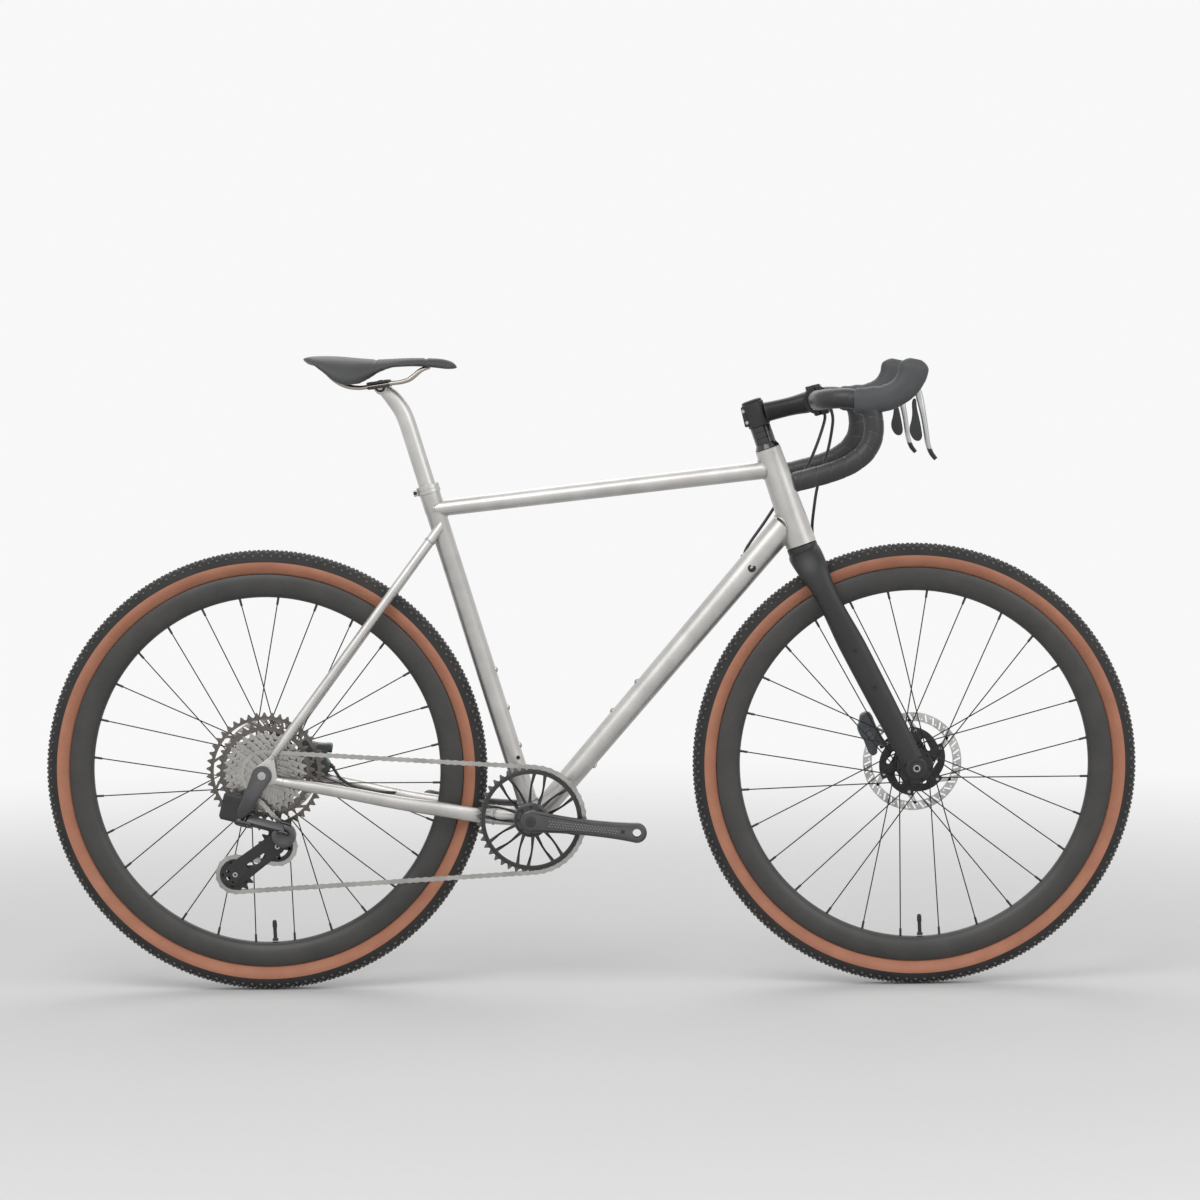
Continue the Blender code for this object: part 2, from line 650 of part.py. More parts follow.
def head_tube(mats):
    """Tapered tube, bored wider at each end for the headset bearings."""
    sides = 20
    seat = BEARING_HEIGHT + GAP
    low_seat = bore_for(LOWER_BEARING_R, sides)
    top_seat = bore_for(UPPER_BEARING_R, sides)
    profile = [
        (0.0, low_seat), (0.0, HEAD_FOOT_R), (HEAD_LENGTH, HEAD_TOP_R), (HEAD_LENGTH, top_seat),
        (HEAD_LENGTH - seat, top_seat), (HEAD_LENGTH - seat, HEAD_BORE_R - 0.001),
        (seat, HEAD_BORE_R + 0.0025), (seat, low_seat),
    ]
    tube = turned("head_tube", profile, HEAD_FOOT, STEER_DIR, sides)
    return finish_object(tube, mats["titanium"])


TOP_TUBE_ENDS = (on_seat_tube(SEAT_TUBE_LENGTH - TOP_TUBE_DOWN_SEAT),
                 on_steerer(HEAD_LENGTH - TOP_TUBE_DOWN_HEAD))
DOWN_TUBE_ENDS = (DOWN_TUBE_FOOT, on_steerer(DOWN_TUBE_UP_HEAD))


def top_tube(mats):
    radii = [(height, TOP_TUBE_HALF_WIDTH) for height in TOP_TUBE_HALF_HEIGHT]
    tube = oval_tube("top_tube", list(TOP_TUBE_ENDS), radii, TUBE_WALL)
    cut(tube, head_cutter(), seat_cutter())
    return finish_object(tube, mats["titanium"])


def down_tube_spot(x, side):
    """A point on the down tube's top (+1) or bottom (-1) edge, with its outward normal."""
    start, end = DOWN_TUBE_ENDS
    share = (x - start.x) / (end.x - start.x)
    direction = (end - start).normalized()
    normal = Vector((-direction.z, 0.0, direction.x)) * side
    height = DOWN_TUBE_HALF_HEIGHT[0] + (DOWN_TUBE_HALF_HEIGHT[1] - DOWN_TUBE_HALF_HEIGHT[0]) * share
    return start.lerp(end, share) + normal * height, normal


def down_tube(mats):
    radii = list(zip(DOWN_TUBE_HALF_HEIGHT, DOWN_TUBE_HALF_WIDTH))
    tube = oval_tube("down_tube", list(DOWN_TUBE_ENDS), radii, TUBE_WALL)
    cut(tube, head_cutter(), shell_cutter(), seat_cutter())
    for x in DOWN_BOSS_X:
        join(tube, boss(*down_tube_spot(x, 1)))
    join(tube, boss(*down_tube_spot(DOWN_UNDER_BOSS_X, -1)))
    cut(tube, hose_port())
    return finish_object(tube, mats["titanium"])


def hose_port():
    """The hole that the rear hose goes into, near the down tube's upper end."""
    return round_bar("hose_port", HOSE_PORT - HOSE_PORT_DIR * 0.008, HOSE_PORT + HOSE_PORT_DIR * 0.03,
                     HOSE_R + 0.0008, 8)


def seat_tube(mats):
    """Straight tube for the post, mitred to the bottom bracket shell, with three bosses in front."""
    front = Vector((SEAT_DIR.z, 0.0, -SEAT_DIR.x))
    sides = 18
    bore = bore_for(POST_R, sides)
    profile = [(0.0, bore), (0.0, SEAT_TUBE_R), (SEAT_TUBE_LENGTH, SEAT_TUBE_R), (SEAT_TUBE_LENGTH, bore)]
    tube = turned("seat_tube", profile, Vector((0, 0, 0)), SEAT_DIR, sides, True, None, math.pi / sides)
    cut(tube, shell_cutter())
    for t in SEAT_BOSS_T:
        join(tube, boss(on_seat_tube(t) + front * (SEAT_TUBE_R - 0.0003), front))
    return finish_object(tube, mats["titanium"])


def bb_shell(mats):
    shell = ring("bb_shell", Vector((0, 0, 0)), LEFT, -SHELL_HALF_WIDTH, SHELL_HALF_WIDTH,
                 SHELL_BORE_R, SHELL_R, 20)
    return finish_object(shell, mats["titanium"])


def bb_cup(name, side, mats):
    """Bearing cup: a sleeve inside the shell and a flange outside it."""
    outside = SHELL_HALF_WIDTH + GAP
    bore = bore_for(SPINDLE_R, 16)
    profile = [
        (outside - CUP_DEPTH, bore), (outside - CUP_DEPTH, SHELL_BORE_R - 3 * GAP),
        (outside, SHELL_BORE_R - 3 * GAP), (outside, CUP_FLANGE_R),
        (outside + CUP_FLANGE_WIDTH, CUP_FLANGE_R), (outside + CUP_FLANGE_WIDTH, bore),
    ]
    cup = turned(name, profile, Vector((0, 0, 0)), LEFT * side, 16)
    return finish_object(cup, mats["anodised_black"])


def on_side(points, side):
    """Points given for the left side, moved to a side: +1 left, -1 right."""
    return [Vector((p.x, p.y * side, p.z)) for p in points]


def seatstay_line():
    """The right way from the dropout's tab to the seat tube, as points on the left side."""
    top = on_seat_tube(SEATSTAY_UP_SEAT)
    points = [SEATSTAY_FOOT.copy()]
    for share, y in SEATSTAY_Y:
        x = SEATSTAY_FOOT.x + (top.x - SEATSTAY_FOOT.x) * share
        z = SEATSTAY_FOOT.z + (top.z - SEATSTAY_FOOT.z) * share
        points.append(Vector((x, y, z)))
    return points


def chainstay(name, side, mats):
    """A tapering stay with its dropout plate, a flat yoke beside the tyre, mitred to the shell."""
    points = on_side([Vector((x, y, z)) for x, y, z, _, _ in CHAINSTAY_PATH], side)
    radii = [(high, wide) for _, _, _, high, wide in CHAINSTAY_PATH]
    stay = oval_tube(name, points, radii, 0.0, 8)
    cut(stay, shell_cutter())
    top = on_seat_tube(SEATSTAY_UP_SEAT)
    toward = Vector((top.x - SEATSTAY_FOOT.x, 0.0, top.z - SEATSTAY_FOOT.z)).normalized()
    tab = SEATSTAY_FOOT - toward * (GAP + SEATSTAY_R)
    axle = REAR_AXLE
    outline = hull([(axle.x, axle.z, DROPOUT_R), (tab.x, tab.z, SEATSTAY_R),
                    (CHAINSTAY_PATH[0][0], CHAINSTAY_PATH[0][2], CHAINSTAY_PATH[0][3])], 16)
    low, high = sorted((side * DROPOUT_INNER_Y, side * (DROPOUT_INNER_Y + DROPOUT_THICKNESS)))
    plate = side_plate("plate", outline, [circle(axle.x, axle.z, bore_for(AXLE_R, 14), 14)], low, high)
    join(stay, plate)
    if side > 0:
        cut(stay, round_bar("hose_room", STAY_PORT - STAY_PORT_DIR * 0.0200, STAY_PORT + STAY_PORT_DIR * 0.0015,
                            bore_for(HOSE_R, 8) + 4 * GAP, 8))
    return finish_object(stay, mats["titanium"])


def seatstay(name, side, mats):
    points = on_side(seatstay_line(), side)
    radii = [(SEATSTAY_R * 0.95, DROPOUT_THICKNESS / 2)] + [(SEATSTAY_R, SEATSTAY_R * 0.9)] * (len(points) - 1)
    stay = oval_tube(name, points, radii, 0.0, 8)
    cut(stay, seat_cutter())
    return finish_object(stay, mats["titanium"])


def headset_bearing(name, low, inner, outer, mats):
    bearing = ring(name, on_steerer(low), STEER_DIR, 0.0, BEARING_HEIGHT, inner, outer, 16)
    return finish_object(bearing, mats["steel"])


def seat_collar(mats):
    """Clamp band round the top of the seat tube, with a bolt ear behind."""
    top = on_seat_tube(SEAT_TUBE_LENGTH - COLLAR_HEIGHT)
    band = ring("seat_collar", top, SEAT_DIR, 0.0, COLLAR_HEIGHT, bore_for(SEAT_TUBE_R, 18), COLLAR_R, 18)
    back = Vector((-SEAT_DIR.z, 0.0, SEAT_DIR.x))
    middle = top + SEAT_DIR * (COLLAR_HEIGHT / 2)
    ear = block("ear", middle + back * (COLLAR_R + 0.0023), back, SEAT_DIR, (0.0042, 0.0055, 0.0085), 0.002)
    join(band, ear)
    return finish_object(band, mats["titanium"])


def thru_axle(name, centre, low, high, head_side, origin, mats):
    """Axle across both dropouts, with a head on one side (+1 left, -1 right)."""
    if head_side > 0:
        profile = [(low, AXLE_R), (high, AXLE_R), (high, AXLE_HEAD_R), (high + AXLE_HEAD_LENGTH, AXLE_HEAD_R)]
    else:
        profile = [(low - AXLE_HEAD_LENGTH, AXLE_HEAD_R), (low, AXLE_HEAD_R), (low, AXLE_R), (high, AXLE_R)]
    axle = turned(name, profile, centre, LEFT, 14, False)
    return finish_object(axle, mats["anodised_black"], origin)


# Wheels

def on_rim(centre, angle, radius, y):
    return centre + Vector((radius * math.cos(angle), y, radius * math.sin(angle)))


def rim_seat():
    """Radius just inside the flats of the rim's nose, where spokes and valve end."""
    return RIM_INNER_R * math.cos(math.pi / WHEEL_SEGMENTS) - GAP


def tyre(name, centre, mats):
    """Open-bellied tyre: beads inside the rim's hooks, bulging sidewalls, rounded tread."""
    bead = RIM_HALF_WIDTH - RIM_HOOK - GAP
    base = RIM_BED_R + GAP
    shoulder = TYRE_HALF_WIDTH * TYRE_SHOULDER
    half = [(bead, base), (bead, RIM_EDGE_R + 2 * GAP),
            (TYRE_HALF_WIDTH, RIM_EDGE_R + TYRE_HEIGHT * TYRE_BULGE), (shoulder, TYRE_R - TYRE_SHOULDER_DROP)]
    inside = [(bead - TYRE_WALL, base),
              (TYRE_HALF_WIDTH - TYRE_WALL, RIM_EDGE_R + TYRE_HEIGHT * TYRE_INNER_BULGE),
              (0.0, TYRE_R - TYRE_CROWN_WALL)]
    profile = half + [(0.0, TYRE_R)] + [(-y, r) for y, r in half[::-1]]
    profile += [(-y, r) for y, r in inside[:2]] + inside[::-1]
    made = turned(name, profile, centre, LEFT, WHEEL_SEGMENTS)
    return finish_object(made, mats["tyre"], centre)


def rim(name, centre, mats):
    """Deep rim: rounded nose inside, flat flanks, hooks and a bed for the tyre."""
    half = [(RIM_NOSE_HALF, RIM_INNER_R), (RIM_HALF_WIDTH, RIM_EDGE_R - RIM_FLANK),
            (RIM_HALF_WIDTH, RIM_EDGE_R), (RIM_HALF_WIDTH - RIM_HOOK, RIM_EDGE_R),
            (RIM_HALF_WIDTH - RIM_HOOK, RIM_BED_R)]
    profile = half + [(-y, r) for y, r in half[::-1]]
    made = turned(name, profile, centre, LEFT, WHEEL_SEGMENTS)
    return finish_object(made, mats["rim"], centre)


def hub(name, centre, half_width, flanges, carrier, mats, freehub=0.0):
    """Bored hub shell with two flanges, laced with spokes that stop short of the rim's nose."""
    right, left = flanges
    half = FLANGE_THICKNESS / 2
    bore = HUB_BORE_R
    carrier -= ROTOR_THICKNESS / 2 + GAP
    profile = [(-half_width + GAP, bore), (-half_width + GAP, HUB_END_R)]
    if freehub:
        profile += [(-freehub, HUB_END_R), (-freehub, FREEHUB_R), (right - half - 0.0012, FREEHUB_R)]
    else:
        profile += [(right - half - 0.006, HUB_END_R)]
    profile += [
        (right - half, HUB_SHELL_R + 0.001), (right - half, FLANGE_R), (right + half, FLANGE_R),
        (right + half, HUB_SHELL_R), (left - half, HUB_SHELL_R), (left - half, FLANGE_R),
        (left + half, FLANGE_R), (left + half, HUB_SHELL_R + 0.002), (carrier, HUB_SHELL_R + 0.002),
        (carrier, HUB_END_R), (half_width - GAP, HUB_END_R), (half_width - GAP, bore),
    ]
    shell = turned(name, profile, centre, LEFT, 12)
    points = []
    faces = []
    for i in range(SPOKES):
        rim_angle = math.radians(90.0) + WHEEL_TURN + 2.0 * math.pi * (i + 0.5) / SPOKES
        flange = right if i % 2 else left
        lead = 1.0 if (i // 2) % 2 else -1.0
        off = SPOKE_OUT * lead
        start = on_rim(centre, rim_angle + lead * SPOKE_LEAD, FLANGE_R - 0.0035, flange + off * 0.4)
        end = on_rim(centre, rim_angle, rim_seat(), math.copysign(0.0014, flange) + off * 0.1)
        edge = on_rim(centre, rim_angle + lead * SPOKE_LEAD, FLANGE_R + 0.001, flange + off)
        direction = (end - edge).normalized()
        first, second = side_axes(direction, LEFT)
        base = len(points)
        for stop in (start, end):
            for j in range(3):
                angle = 2.0 * math.pi * j / 3 + math.pi / 2
                points.append(stop + (first * math.cos(angle) + second * math.sin(angle)) * SPOKE_R)
        faces += [(base, base + 1, base + 4, base + 3), (base + 1, base + 2, base + 5, base + 4),
                  (base + 2, base, base + 3, base + 5),
                  (base + 2, base + 1, base), (base + 3, base + 4, base + 5)]
    join(shell, new_object("lacing", points, faces))
    return finish_object(shell, mats["spoke"], centre)


def rotor(name, centre, y, mats):
    """Brake disc: outer track and inner carrier joined by six arms."""
    holes = [circle(0.0, 0.0, bore_for(HUB_END_R, 14), 14)]
    for i in range(6):
        low = math.radians(60.0 * i + 6.0)
        high = math.radians(60.0 * i + 54.0)
        arc = [low + (high - low) * k / 3 for k in range(4)]
        holes.append([(ROTOR_TRACK_R * math.cos(a), ROTOR_TRACK_R * math.sin(a)) for a in arc]
                     + [(ROTOR_CARRIER_R * math.cos(a), ROTOR_CARRIER_R * math.sin(a)) for a in arc[::-1]])
    holes = [[(px + centre.x, pz + centre.z) for px, pz in hole] for hole in holes]
    outline = circle(centre.x, centre.z, ROTOR_R, 32)
    disc = side_plate(name, outline, holes, y - ROTOR_THICKNESS / 2, y + ROTOR_THICKNESS / 2)
    return finish_object(disc, mats["steel"], centre)


def valve(name, centre, mats):
    """Valve stem standing on the rim's nose at the wheel's lowest point."""
    toward = math.radians(-90.0) + WHEEL_TURN
    foot = on_rim(centre, toward, rim_seat(), 0.0)
    profile = [(0.0, VALVE_R * 1.5), (0.004, VALVE_R * 1.5), (0.004, VALVE_R), (VALVE_LENGTH * 0.7, VALVE_R),
               (VALVE_LENGTH * 0.7, VALVE_R * 1.2), (VALVE_LENGTH, VALVE_R * 0.8)]
    stem = turned(name, profile, foot, (centre - foot).normalized(), 8, False)
    return finish_object(stem, mats["spoke"], centre)


# Chain path

def turned_about(point, centre, angle):
    """A point turned in the side view about a centre, from +X toward +Z."""
    x = point.x - centre.x
    z = point.z - centre.z
    return Vector((centre.x + x * math.cos(angle) - z * math.sin(angle), point.y,
                   centre.z + x * math.sin(angle) + z * math.cos(angle)))


def pulley_centres(angle):
    upper = turned_about(CAGE_PIVOT + CAGE_UPPER_OFFSET, CAGE_PIVOT, angle)
    lower = turned_about(CAGE_PIVOT + CAGE_LOWER_OFFSET, CAGE_PIVOT, angle)
    return upper, lower


def chain_track(angle):
    """Straight runs and arcs of the chain's loop, as (length, function of distance)."""
    upper, lower = pulley_centres(angle)
    stops = [(Vector((0, 0, 0)), pitch_radius(RING_TEETH), 1), (lower, pitch_radius(PULLEY_TEETH), 1),
             (upper, pitch_radius(PULLEY_TEETH), -1), (REAR_AXLE, pitch_radius(COG_TEETH[CHAIN_COG]), 1)]
    runs = []
    for i, (centre, radius, turn) in enumerate(stops):
        after, after_radius, after_turn = stops[(i + 1) % len(stops)]
        dx = after.x - centre.x
        dz = after.z - centre.z
        lean = math.asin((after_turn * after_radius - turn * radius) / math.hypot(dx, dz))
        heading = math.atan2(dz, dx) + lean
        right = (math.sin(heading), -math.cos(heading))
        leave = (centre.x - turn * radius * right[0], centre.z - turn * radius * right[1])
        meet = (after.x - after_turn * after_radius * right[0], after.z - after_turn * after_radius * right[1])
        runs.append((leave, meet))
    pieces = []
    for i, (centre, radius, turn) in enumerate(stops):
        arrive = runs[i - 1][1]
        leave, meet = runs[i]
        start = math.atan2(arrive[1] - centre.z, arrive[0] - centre.x)
        end = math.atan2(leave[1] - centre.z, leave[0] - centre.x)
        sweep = (turn * (start - end)) % (2.0 * math.pi)
        pieces.append(("arc", sweep * radius, (centre.x, centre.z, radius, start, -turn)))
        pieces.append(("run", math.dist(leave, meet), (leave, meet)))
    return pieces


def track_point(pieces, distance):
    """The (x, z) at a distance along the loop, and the index of the piece it lies on."""
    distance %= sum(length for _, length, _ in pieces)
    for index, (kind, length, data) in enumerate(pieces):
        if distance <= length:
            break
        distance -= length
    if kind == "arc":
        x, z, radius, start, turn = data
        angle = start + turn * distance / radius
        return (x + radius * math.cos(angle), z + radius * math.sin(angle)), index
    (x0, z0), (x1, z1) = data
    share = distance / length
    return (x0 + (x1 - x0) * share, z0 + (z1 - z0) * share), index


def walk_pins(pieces, links):
    """Pins one pitch apart, each found as the next point a straight pitch away."""
    distance = pieces[0][1] + pieces[1][1] * 0.5
    pins = []
    for _ in range(links):
        here, index = track_point(pieces, distance)
        pins.append((here, index))
        low = distance + PITCH * 0.98
        high = distance + PITCH * 1.12
        for _ in range(46):
            middle = (low + high) / 2
            if math.dist(here, track_point(pieces, middle)[0]) < PITCH:
                low = middle
            else:
                high = middle
        distance = (low + high) / 2
    total = sum(length for _, length, _ in pieces)
    return pins, distance - total - pieces[0][1] - pieces[1][1] * 0.5


def solve_chain():
    """Turns the cage until a whole, even number of links closes the loop."""
    pieces = chain_track(0.0)
    links = 2 * round(sum(length for _, length, _ in pieces) / PITCH / 2)
    low = math.radians(-12.0)
    high = math.radians(12.0)
    low_error = walk_pins(chain_track(low), links)[1]
    for _ in range(40):
        middle = (low + high) / 2
        error = walk_pins(chain_track(middle), links)[1]
        if (error > 0) == (low_error > 0):
            low = middle
        else:
            high = middle
    angle = (low + high) / 2
    pins, _ = walk_pins(chain_track(angle), links)
    return angle, pins


def phase_on(pins, arc, centre):
    """Angle of a pin that rests on one sprocket's arc: the middle one there."""
    resting = [p for p, index in pins if index == arc]
    x, z = resting[len(resting) // 2]
    return math.atan2(z - centre.z, x - centre.x)


def chain(pins, mats):
    """A closed band, opened wherever a sprocket's teeth come up through it.

    Round the big ring one opening spans two links.
    """
    widths = (-CHAIN_HALF_WIDTH, -CHAIN_INNER_HALF, CHAIN_INNER_HALF, CHAIN_HALF_WIDTH)
    count = len(pins)
    places = [Vector((x, -CHAIN_LINE, z)) for (x, z), _ in pins]
    toothed = [pins[i][1] % 2 == 0 for i in range(count)]
    linked = [any(toothed[(i + k) % count] for k in range(-2, 4)) for i in range(count)]
    points = []
    faces = []
    ends = []
    for i, pin in enumerate(places):
        on_ring = all(pins[(i + k) % count][1] == 0 for k in (-1, 0, 1))
        if not (linked[i] or linked[i - 1]) or (on_ring and i % 2):
            continue
        along = (places[(i + 1) % count] - places[i - 1]).normalized()
        up = Vector((-along.z, 0.0, along.x))
        a = len(points)
        for end in (-1, 1):
            for height in (-1, 1):
                for y in widths:
                    reach = along * (ROLLER_HALF * end) + up * (CHAIN_HALF_HEIGHT * height)
                    points.append(pin + reach + LEFT * y)
        for k in range(3):
            faces.append((a + k, a + k + 1, a + k + 9, a + k + 8))
            faces.append((a + k + 4, a + k + 5, a + k + 13, a + k + 12))
        faces.append((a, a + 8, a + 12, a + 4))
        faces.append((a + 3, a + 11, a + 15, a + 7))
        ends.append((a, linked[i]))
    for i, (a, opens) in enumerate(ends):
        b = ends[(i + 1) % len(ends)][0]
        for k in (0, 1, 2):
            if opens and k == 1:
                faces.append((a + 9, a + 10, a + 14, a + 13))
                faces.append((b + 1, b + 2, b + 6, b + 5))
                continue
            faces.append((a + 8 + k, a + 9 + k, b + 1 + k, b + k))
            faces.append((a + 12 + k, a + 13 + k, b + 5 + k, b + 4 + k))
        faces.append((a + 8, a + 12, b + 4, b))
        faces.append((a + 11, a + 15, b + 7, b + 3))
        if opens:
            faces.append((a + 9, a + 13, b + 5, b + 1))
            faces.append((a + 10, a + 14, b + 6, b + 2))
    made = new_object("chain", points, faces)
    return finish_object(made, mats["chain"])


# Sprockets, cassette and cranks

def sprocket_outline(teeth, centre, pin_angle, seats):
    """A sprocket's edge: teeth midway between the chain's pins, or one corner for each tooth."""
    radius = pitch_radius(teeth)
    root = radius - ROOT_DROP
    tip = radius + TIP_RISE
    step = 2.0 * math.pi / teeth
    loop = []
    for i in range(teeth):
        middle = pin_angle + step * (i + 0.5)
        if seats:
            root_half = step / 2 - (ROLLER_HALF + GAP) / root
            corners = [(-root_half, root), (0.0, tip), (root_half, root)]
        else:
            corners = [(0.0, radius + TIP_RISE * 0.5)]
        for offset, r in corners:
            angle = middle + offset
            loop.append((centre.x + r * math.cos(angle), centre.z + r * math.sin(angle)))
    return loop


def cog_y(index):
    return -(CHAIN_LINE + (CHAIN_COG - index) * COG_SPACING)


def cassette(pin_angle, mats):
    """Thirteen cogs on one bored core, the smallest outside, as one skin."""
    sides = 10
    half = TOOTH_THICKNESS / 2
    core = circle(REAR_AXLE.x, REAR_AXLE.z, pitch_radius(COG_TEETH[0]) - ROOT_DROP - CORE_DROP, sides)
    bore = circle(REAR_AXLE.x, REAR_AXLE.z, bore_for(FREEHUB_R, sides), sides)
    points = []
    faces = []

    def lay(loop, y):
        points.extend(Vector((x, y, z)) for x, z in loop)
        return len(points) - len(loop)

    def band(a, b, size):
        for i in range(size):
            j = (i + 1) % size
            faces.append((a + i, a + j, b + j, b + i))

    first_bore = lay(bore, cog_y(0) - half)
    before = None
    for index, teeth in enumerate(COG_TEETH):
        outline = sprocket_outline(teeth, REAR_AXLE, pin_angle, index == CHAIN_COG)
        sheet = filled([outline, core])
        rings = []
        for y in (cog_y(index) - half, cog_y(index) + half):
            start = lay(outline, y)
            rings.append((start, lay(core, y)))
            faces.extend(tuple(start + i for i in face) for face in sheet)
        band(rings[0][0], rings[1][0], len(outline))
        band(first_bore if before is None else before, rings[0][1], sides)
        before = rings[1][1]
    last_bore = lay(bore, cog_y(len(COG_TEETH) - 1) + half)
    band(before, last_bore, sides)
    band(last_bore, first_bore, sides)
    made = new_object("cassette", points, faces)
    return finish_object(made, mats["steel"], REAR_AXLE)


def ring_window(index):
    """One opening of the chainring's web, between two spokes that lean opposite ways."""
    low, high = RING_WEB_R
    step = 2.0 * math.pi / RING_WINDOWS
    sides = []
    for spoke, side in ((index, 1), (index + 1, -1)):
        lean = RING_SPOKE_LEAN * (1 if spoke % 2 else -1)
        edge = []
        for share in (0.0, 1.0):
            radius = low + (high - low) * share
            angle = step * spoke + lean * (share - 0.5) + side * RING_SPOKE_WIDTH / 2 / radius
            edge.append((radius * math.cos(angle), radius * math.sin(angle)))
        sides.append(edge)
    outer = (step * (index + 0.5))
    return sides[0] + [(high * math.cos(outer), high * math.sin(outer))] + sides[1][::-1]


def chainring(pin_angle, mats):
    origin = Vector((0, 0, 0))
    outline = sprocket_outline(RING_TEETH, origin, pin_angle, True)
    windows = [ring_window(i) for i in range(RING_WINDOWS)]
    bore = circle(0.0, 0.0, SPINDLE_R + 0.0030, 16)
    half = TOOTH_THICKNESS / 2
    made = side_plate("chainring", outline, [bore] + windows, -CHAIN_LINE - half, -CHAIN_LINE + half)
    join(made, ring("hub", origin, LEFT, -CHAIN_LINE - RING_HUB_HALF, -CHAIN_LINE + RING_HUB_HALF,
                    bore_for(SPINDLE_R, 16), RING_HUB_R, 16))
    return finish_object(made, mats["anodised_black"])


def crank_arm(name, side, angle, mats):
    """An arm with a boss and a threaded pedal hole. The right one carries the spindle."""
    end = Vector((CRANK_LENGTH * math.cos(angle), 0.0, CRANK_LENGTH * math.sin(angle)))
    low, high = sorted((side * ARM_INNER_Y, side * (ARM_INNER_Y + ARM_THICKNESS)))
    outline = hull([(0.0, 0.0, ARM_BOSS_R), (end.x, end.z, ARM_END_R)], 16)
    holes = [circle(end.x, end.z, PEDAL_HOLE_R, 16)]
    if side > 0:
        holes.append(circle(0.0, 0.0, bore_for(SPINDLE_R, 16), 16))
    arm = side_plate(name, outline, holes, low, high)
    far = ARM_INNER_Y + ARM_THICKNESS
    if side < 0:
        near = CHAIN_LINE + RING_HUB_HALF + GAP
        join(arm, round_bar("boss", LEFT * -near, LEFT * -(ARM_INNER_Y + 0.002), ARM_BOSS_R - 0.0008, 16))
        join(arm, round_bar("spindle", LEFT * -(ARM_INNER_Y + 0.004), LEFT * far, SPINDLE_R, 16))
    else:
        near = SHELL_HALF_WIDTH + GAP + CUP_FLANGE_WIDTH + GAP
        join(arm, ring("boss", Vector((0, 0, 0)), LEFT, near, ARM_INNER_Y + 0.002, bore_for(SPINDLE_R, 16),
                       ARM_BOSS_R - 0.0008, 16))
    return finish_object(arm, mats["crank_grey"])


# Rear derailleur


def link_frame(origin):
    """Local x along the link, local z along the pivot axes."""
    return frame_at(origin, LINK_DIR, PIVOT_DIR.cross(LINK_DIR))


def derailleur_link(mats):
    """The arm that swings on the body and carries the knuckle, with a pin hole at each end."""
    length = (LINK_END - LINK_START).length
    outline = hull([(0.0, 0.0, LINK_R), (length, 0.0, LINK_R)], 16)
    holes = [circle(0.0, 0.0, bore_for(PIN_R, 12), 12), circle(length, 0.0, bore_for(PIN_R, 12), 12)]
    link = prism("derailleur_link", outline, holes, link_frame(LINK_START), -LINK_HALF_THICKNESS,
                 LINK_HALF_THICKNESS)
    return finish_object(link, mats["anodised_black"], LINK_START)


def clevis(centre, back):
    """Two ears and a pin round one end of the link. The ears reach back along the link's line."""
    near = LINK_HALF_THICKNESS + GAP
    far = near + EAR_THICKNESS
    outline = hull([(0.0, 0.0, LINK_R + 0.0010), (back, 0.0, LINK_R + 0.0010)], 16)
    ears = []
    for low, high in ((-far, -near), (near, far)):
        ears.append(prism("ear", outline, [], link_frame(centre), low, high))
    pin = round_bar("pin", centre - PIVOT_DIR * (near + 0.001), centre + PIVOT_DIR * (near + 0.001), PIN_R, 12)
    return ears + [pin]


def derailleur_body(mats):
    """Mount round the axle, outside the dropout, then an arm down to the link's clevis, and a battery."""
    inner = DROPOUT_INNER_Y + DROPOUT_THICKNESS + GAP
    outer = inner + MOUNT_PLATE
    axle = REAR_AXLE
    low_end = Vector((-0.4430, 0.0, 0.0500))
    outline = hull([(axle.x, axle.z, DROPOUT_R - 0.0005), (low_end.x, low_end.z, 0.0110)], 18)
    hole = circle(axle.x, axle.z, bore_for(AXLE_R, 14), 14)
    body = side_plate("derailleur_body", outline, [hole], -outer, -inner)
    back = -0.0150
    bridge_at = LINK_START + LINK_DIR * (back - 0.0005)
    reach = LINK_HALF_THICKNESS + GAP + EAR_THICKNESS
    cross = PIVOT_DIR.cross(LINK_DIR)
    arm = oval_tube("arm", [Vector((-0.4390, -(inner + outer) / 2, 0.0600)),
                            Vector((-0.4490, -(inner + outer) / 2 + 0.0010, 0.0380)),
                            Vector((-0.4590, -0.0765, 0.0210)), bridge_at],
                    [(0.0110, MOUNT_PLATE / 2 - 0.0004), (0.0120, 0.0042), (0.0100, 0.0062), (0.0070, 0.0075)],
                    0.0, 12)
    bridge = block("bridge", bridge_at, LINK_DIR, cross, (0.0042, LINK_R + 0.0008, reach - 0.0002), 0.0015)
    join(body, arm, bridge, *clevis(LINK_START, back))
    middle = (BATTERY_LOW + BATTERY_HIGH) / 2
    half = (BATTERY_HIGH - BATTERY_LOW) / 2
    tilt = math.radians(14.0)
    x_axis = Vector((math.cos(tilt), 0.0, -math.sin(tilt)))
    z_axis = Vector((math.sin(tilt), 0.0, math.cos(tilt)))
    join(body, block("battery", middle, x_axis, z_axis, (half.x * 0.82, half.z * 0.92, half.y), 0.0040))
    return finish_object(body, mats["anodised_black"])


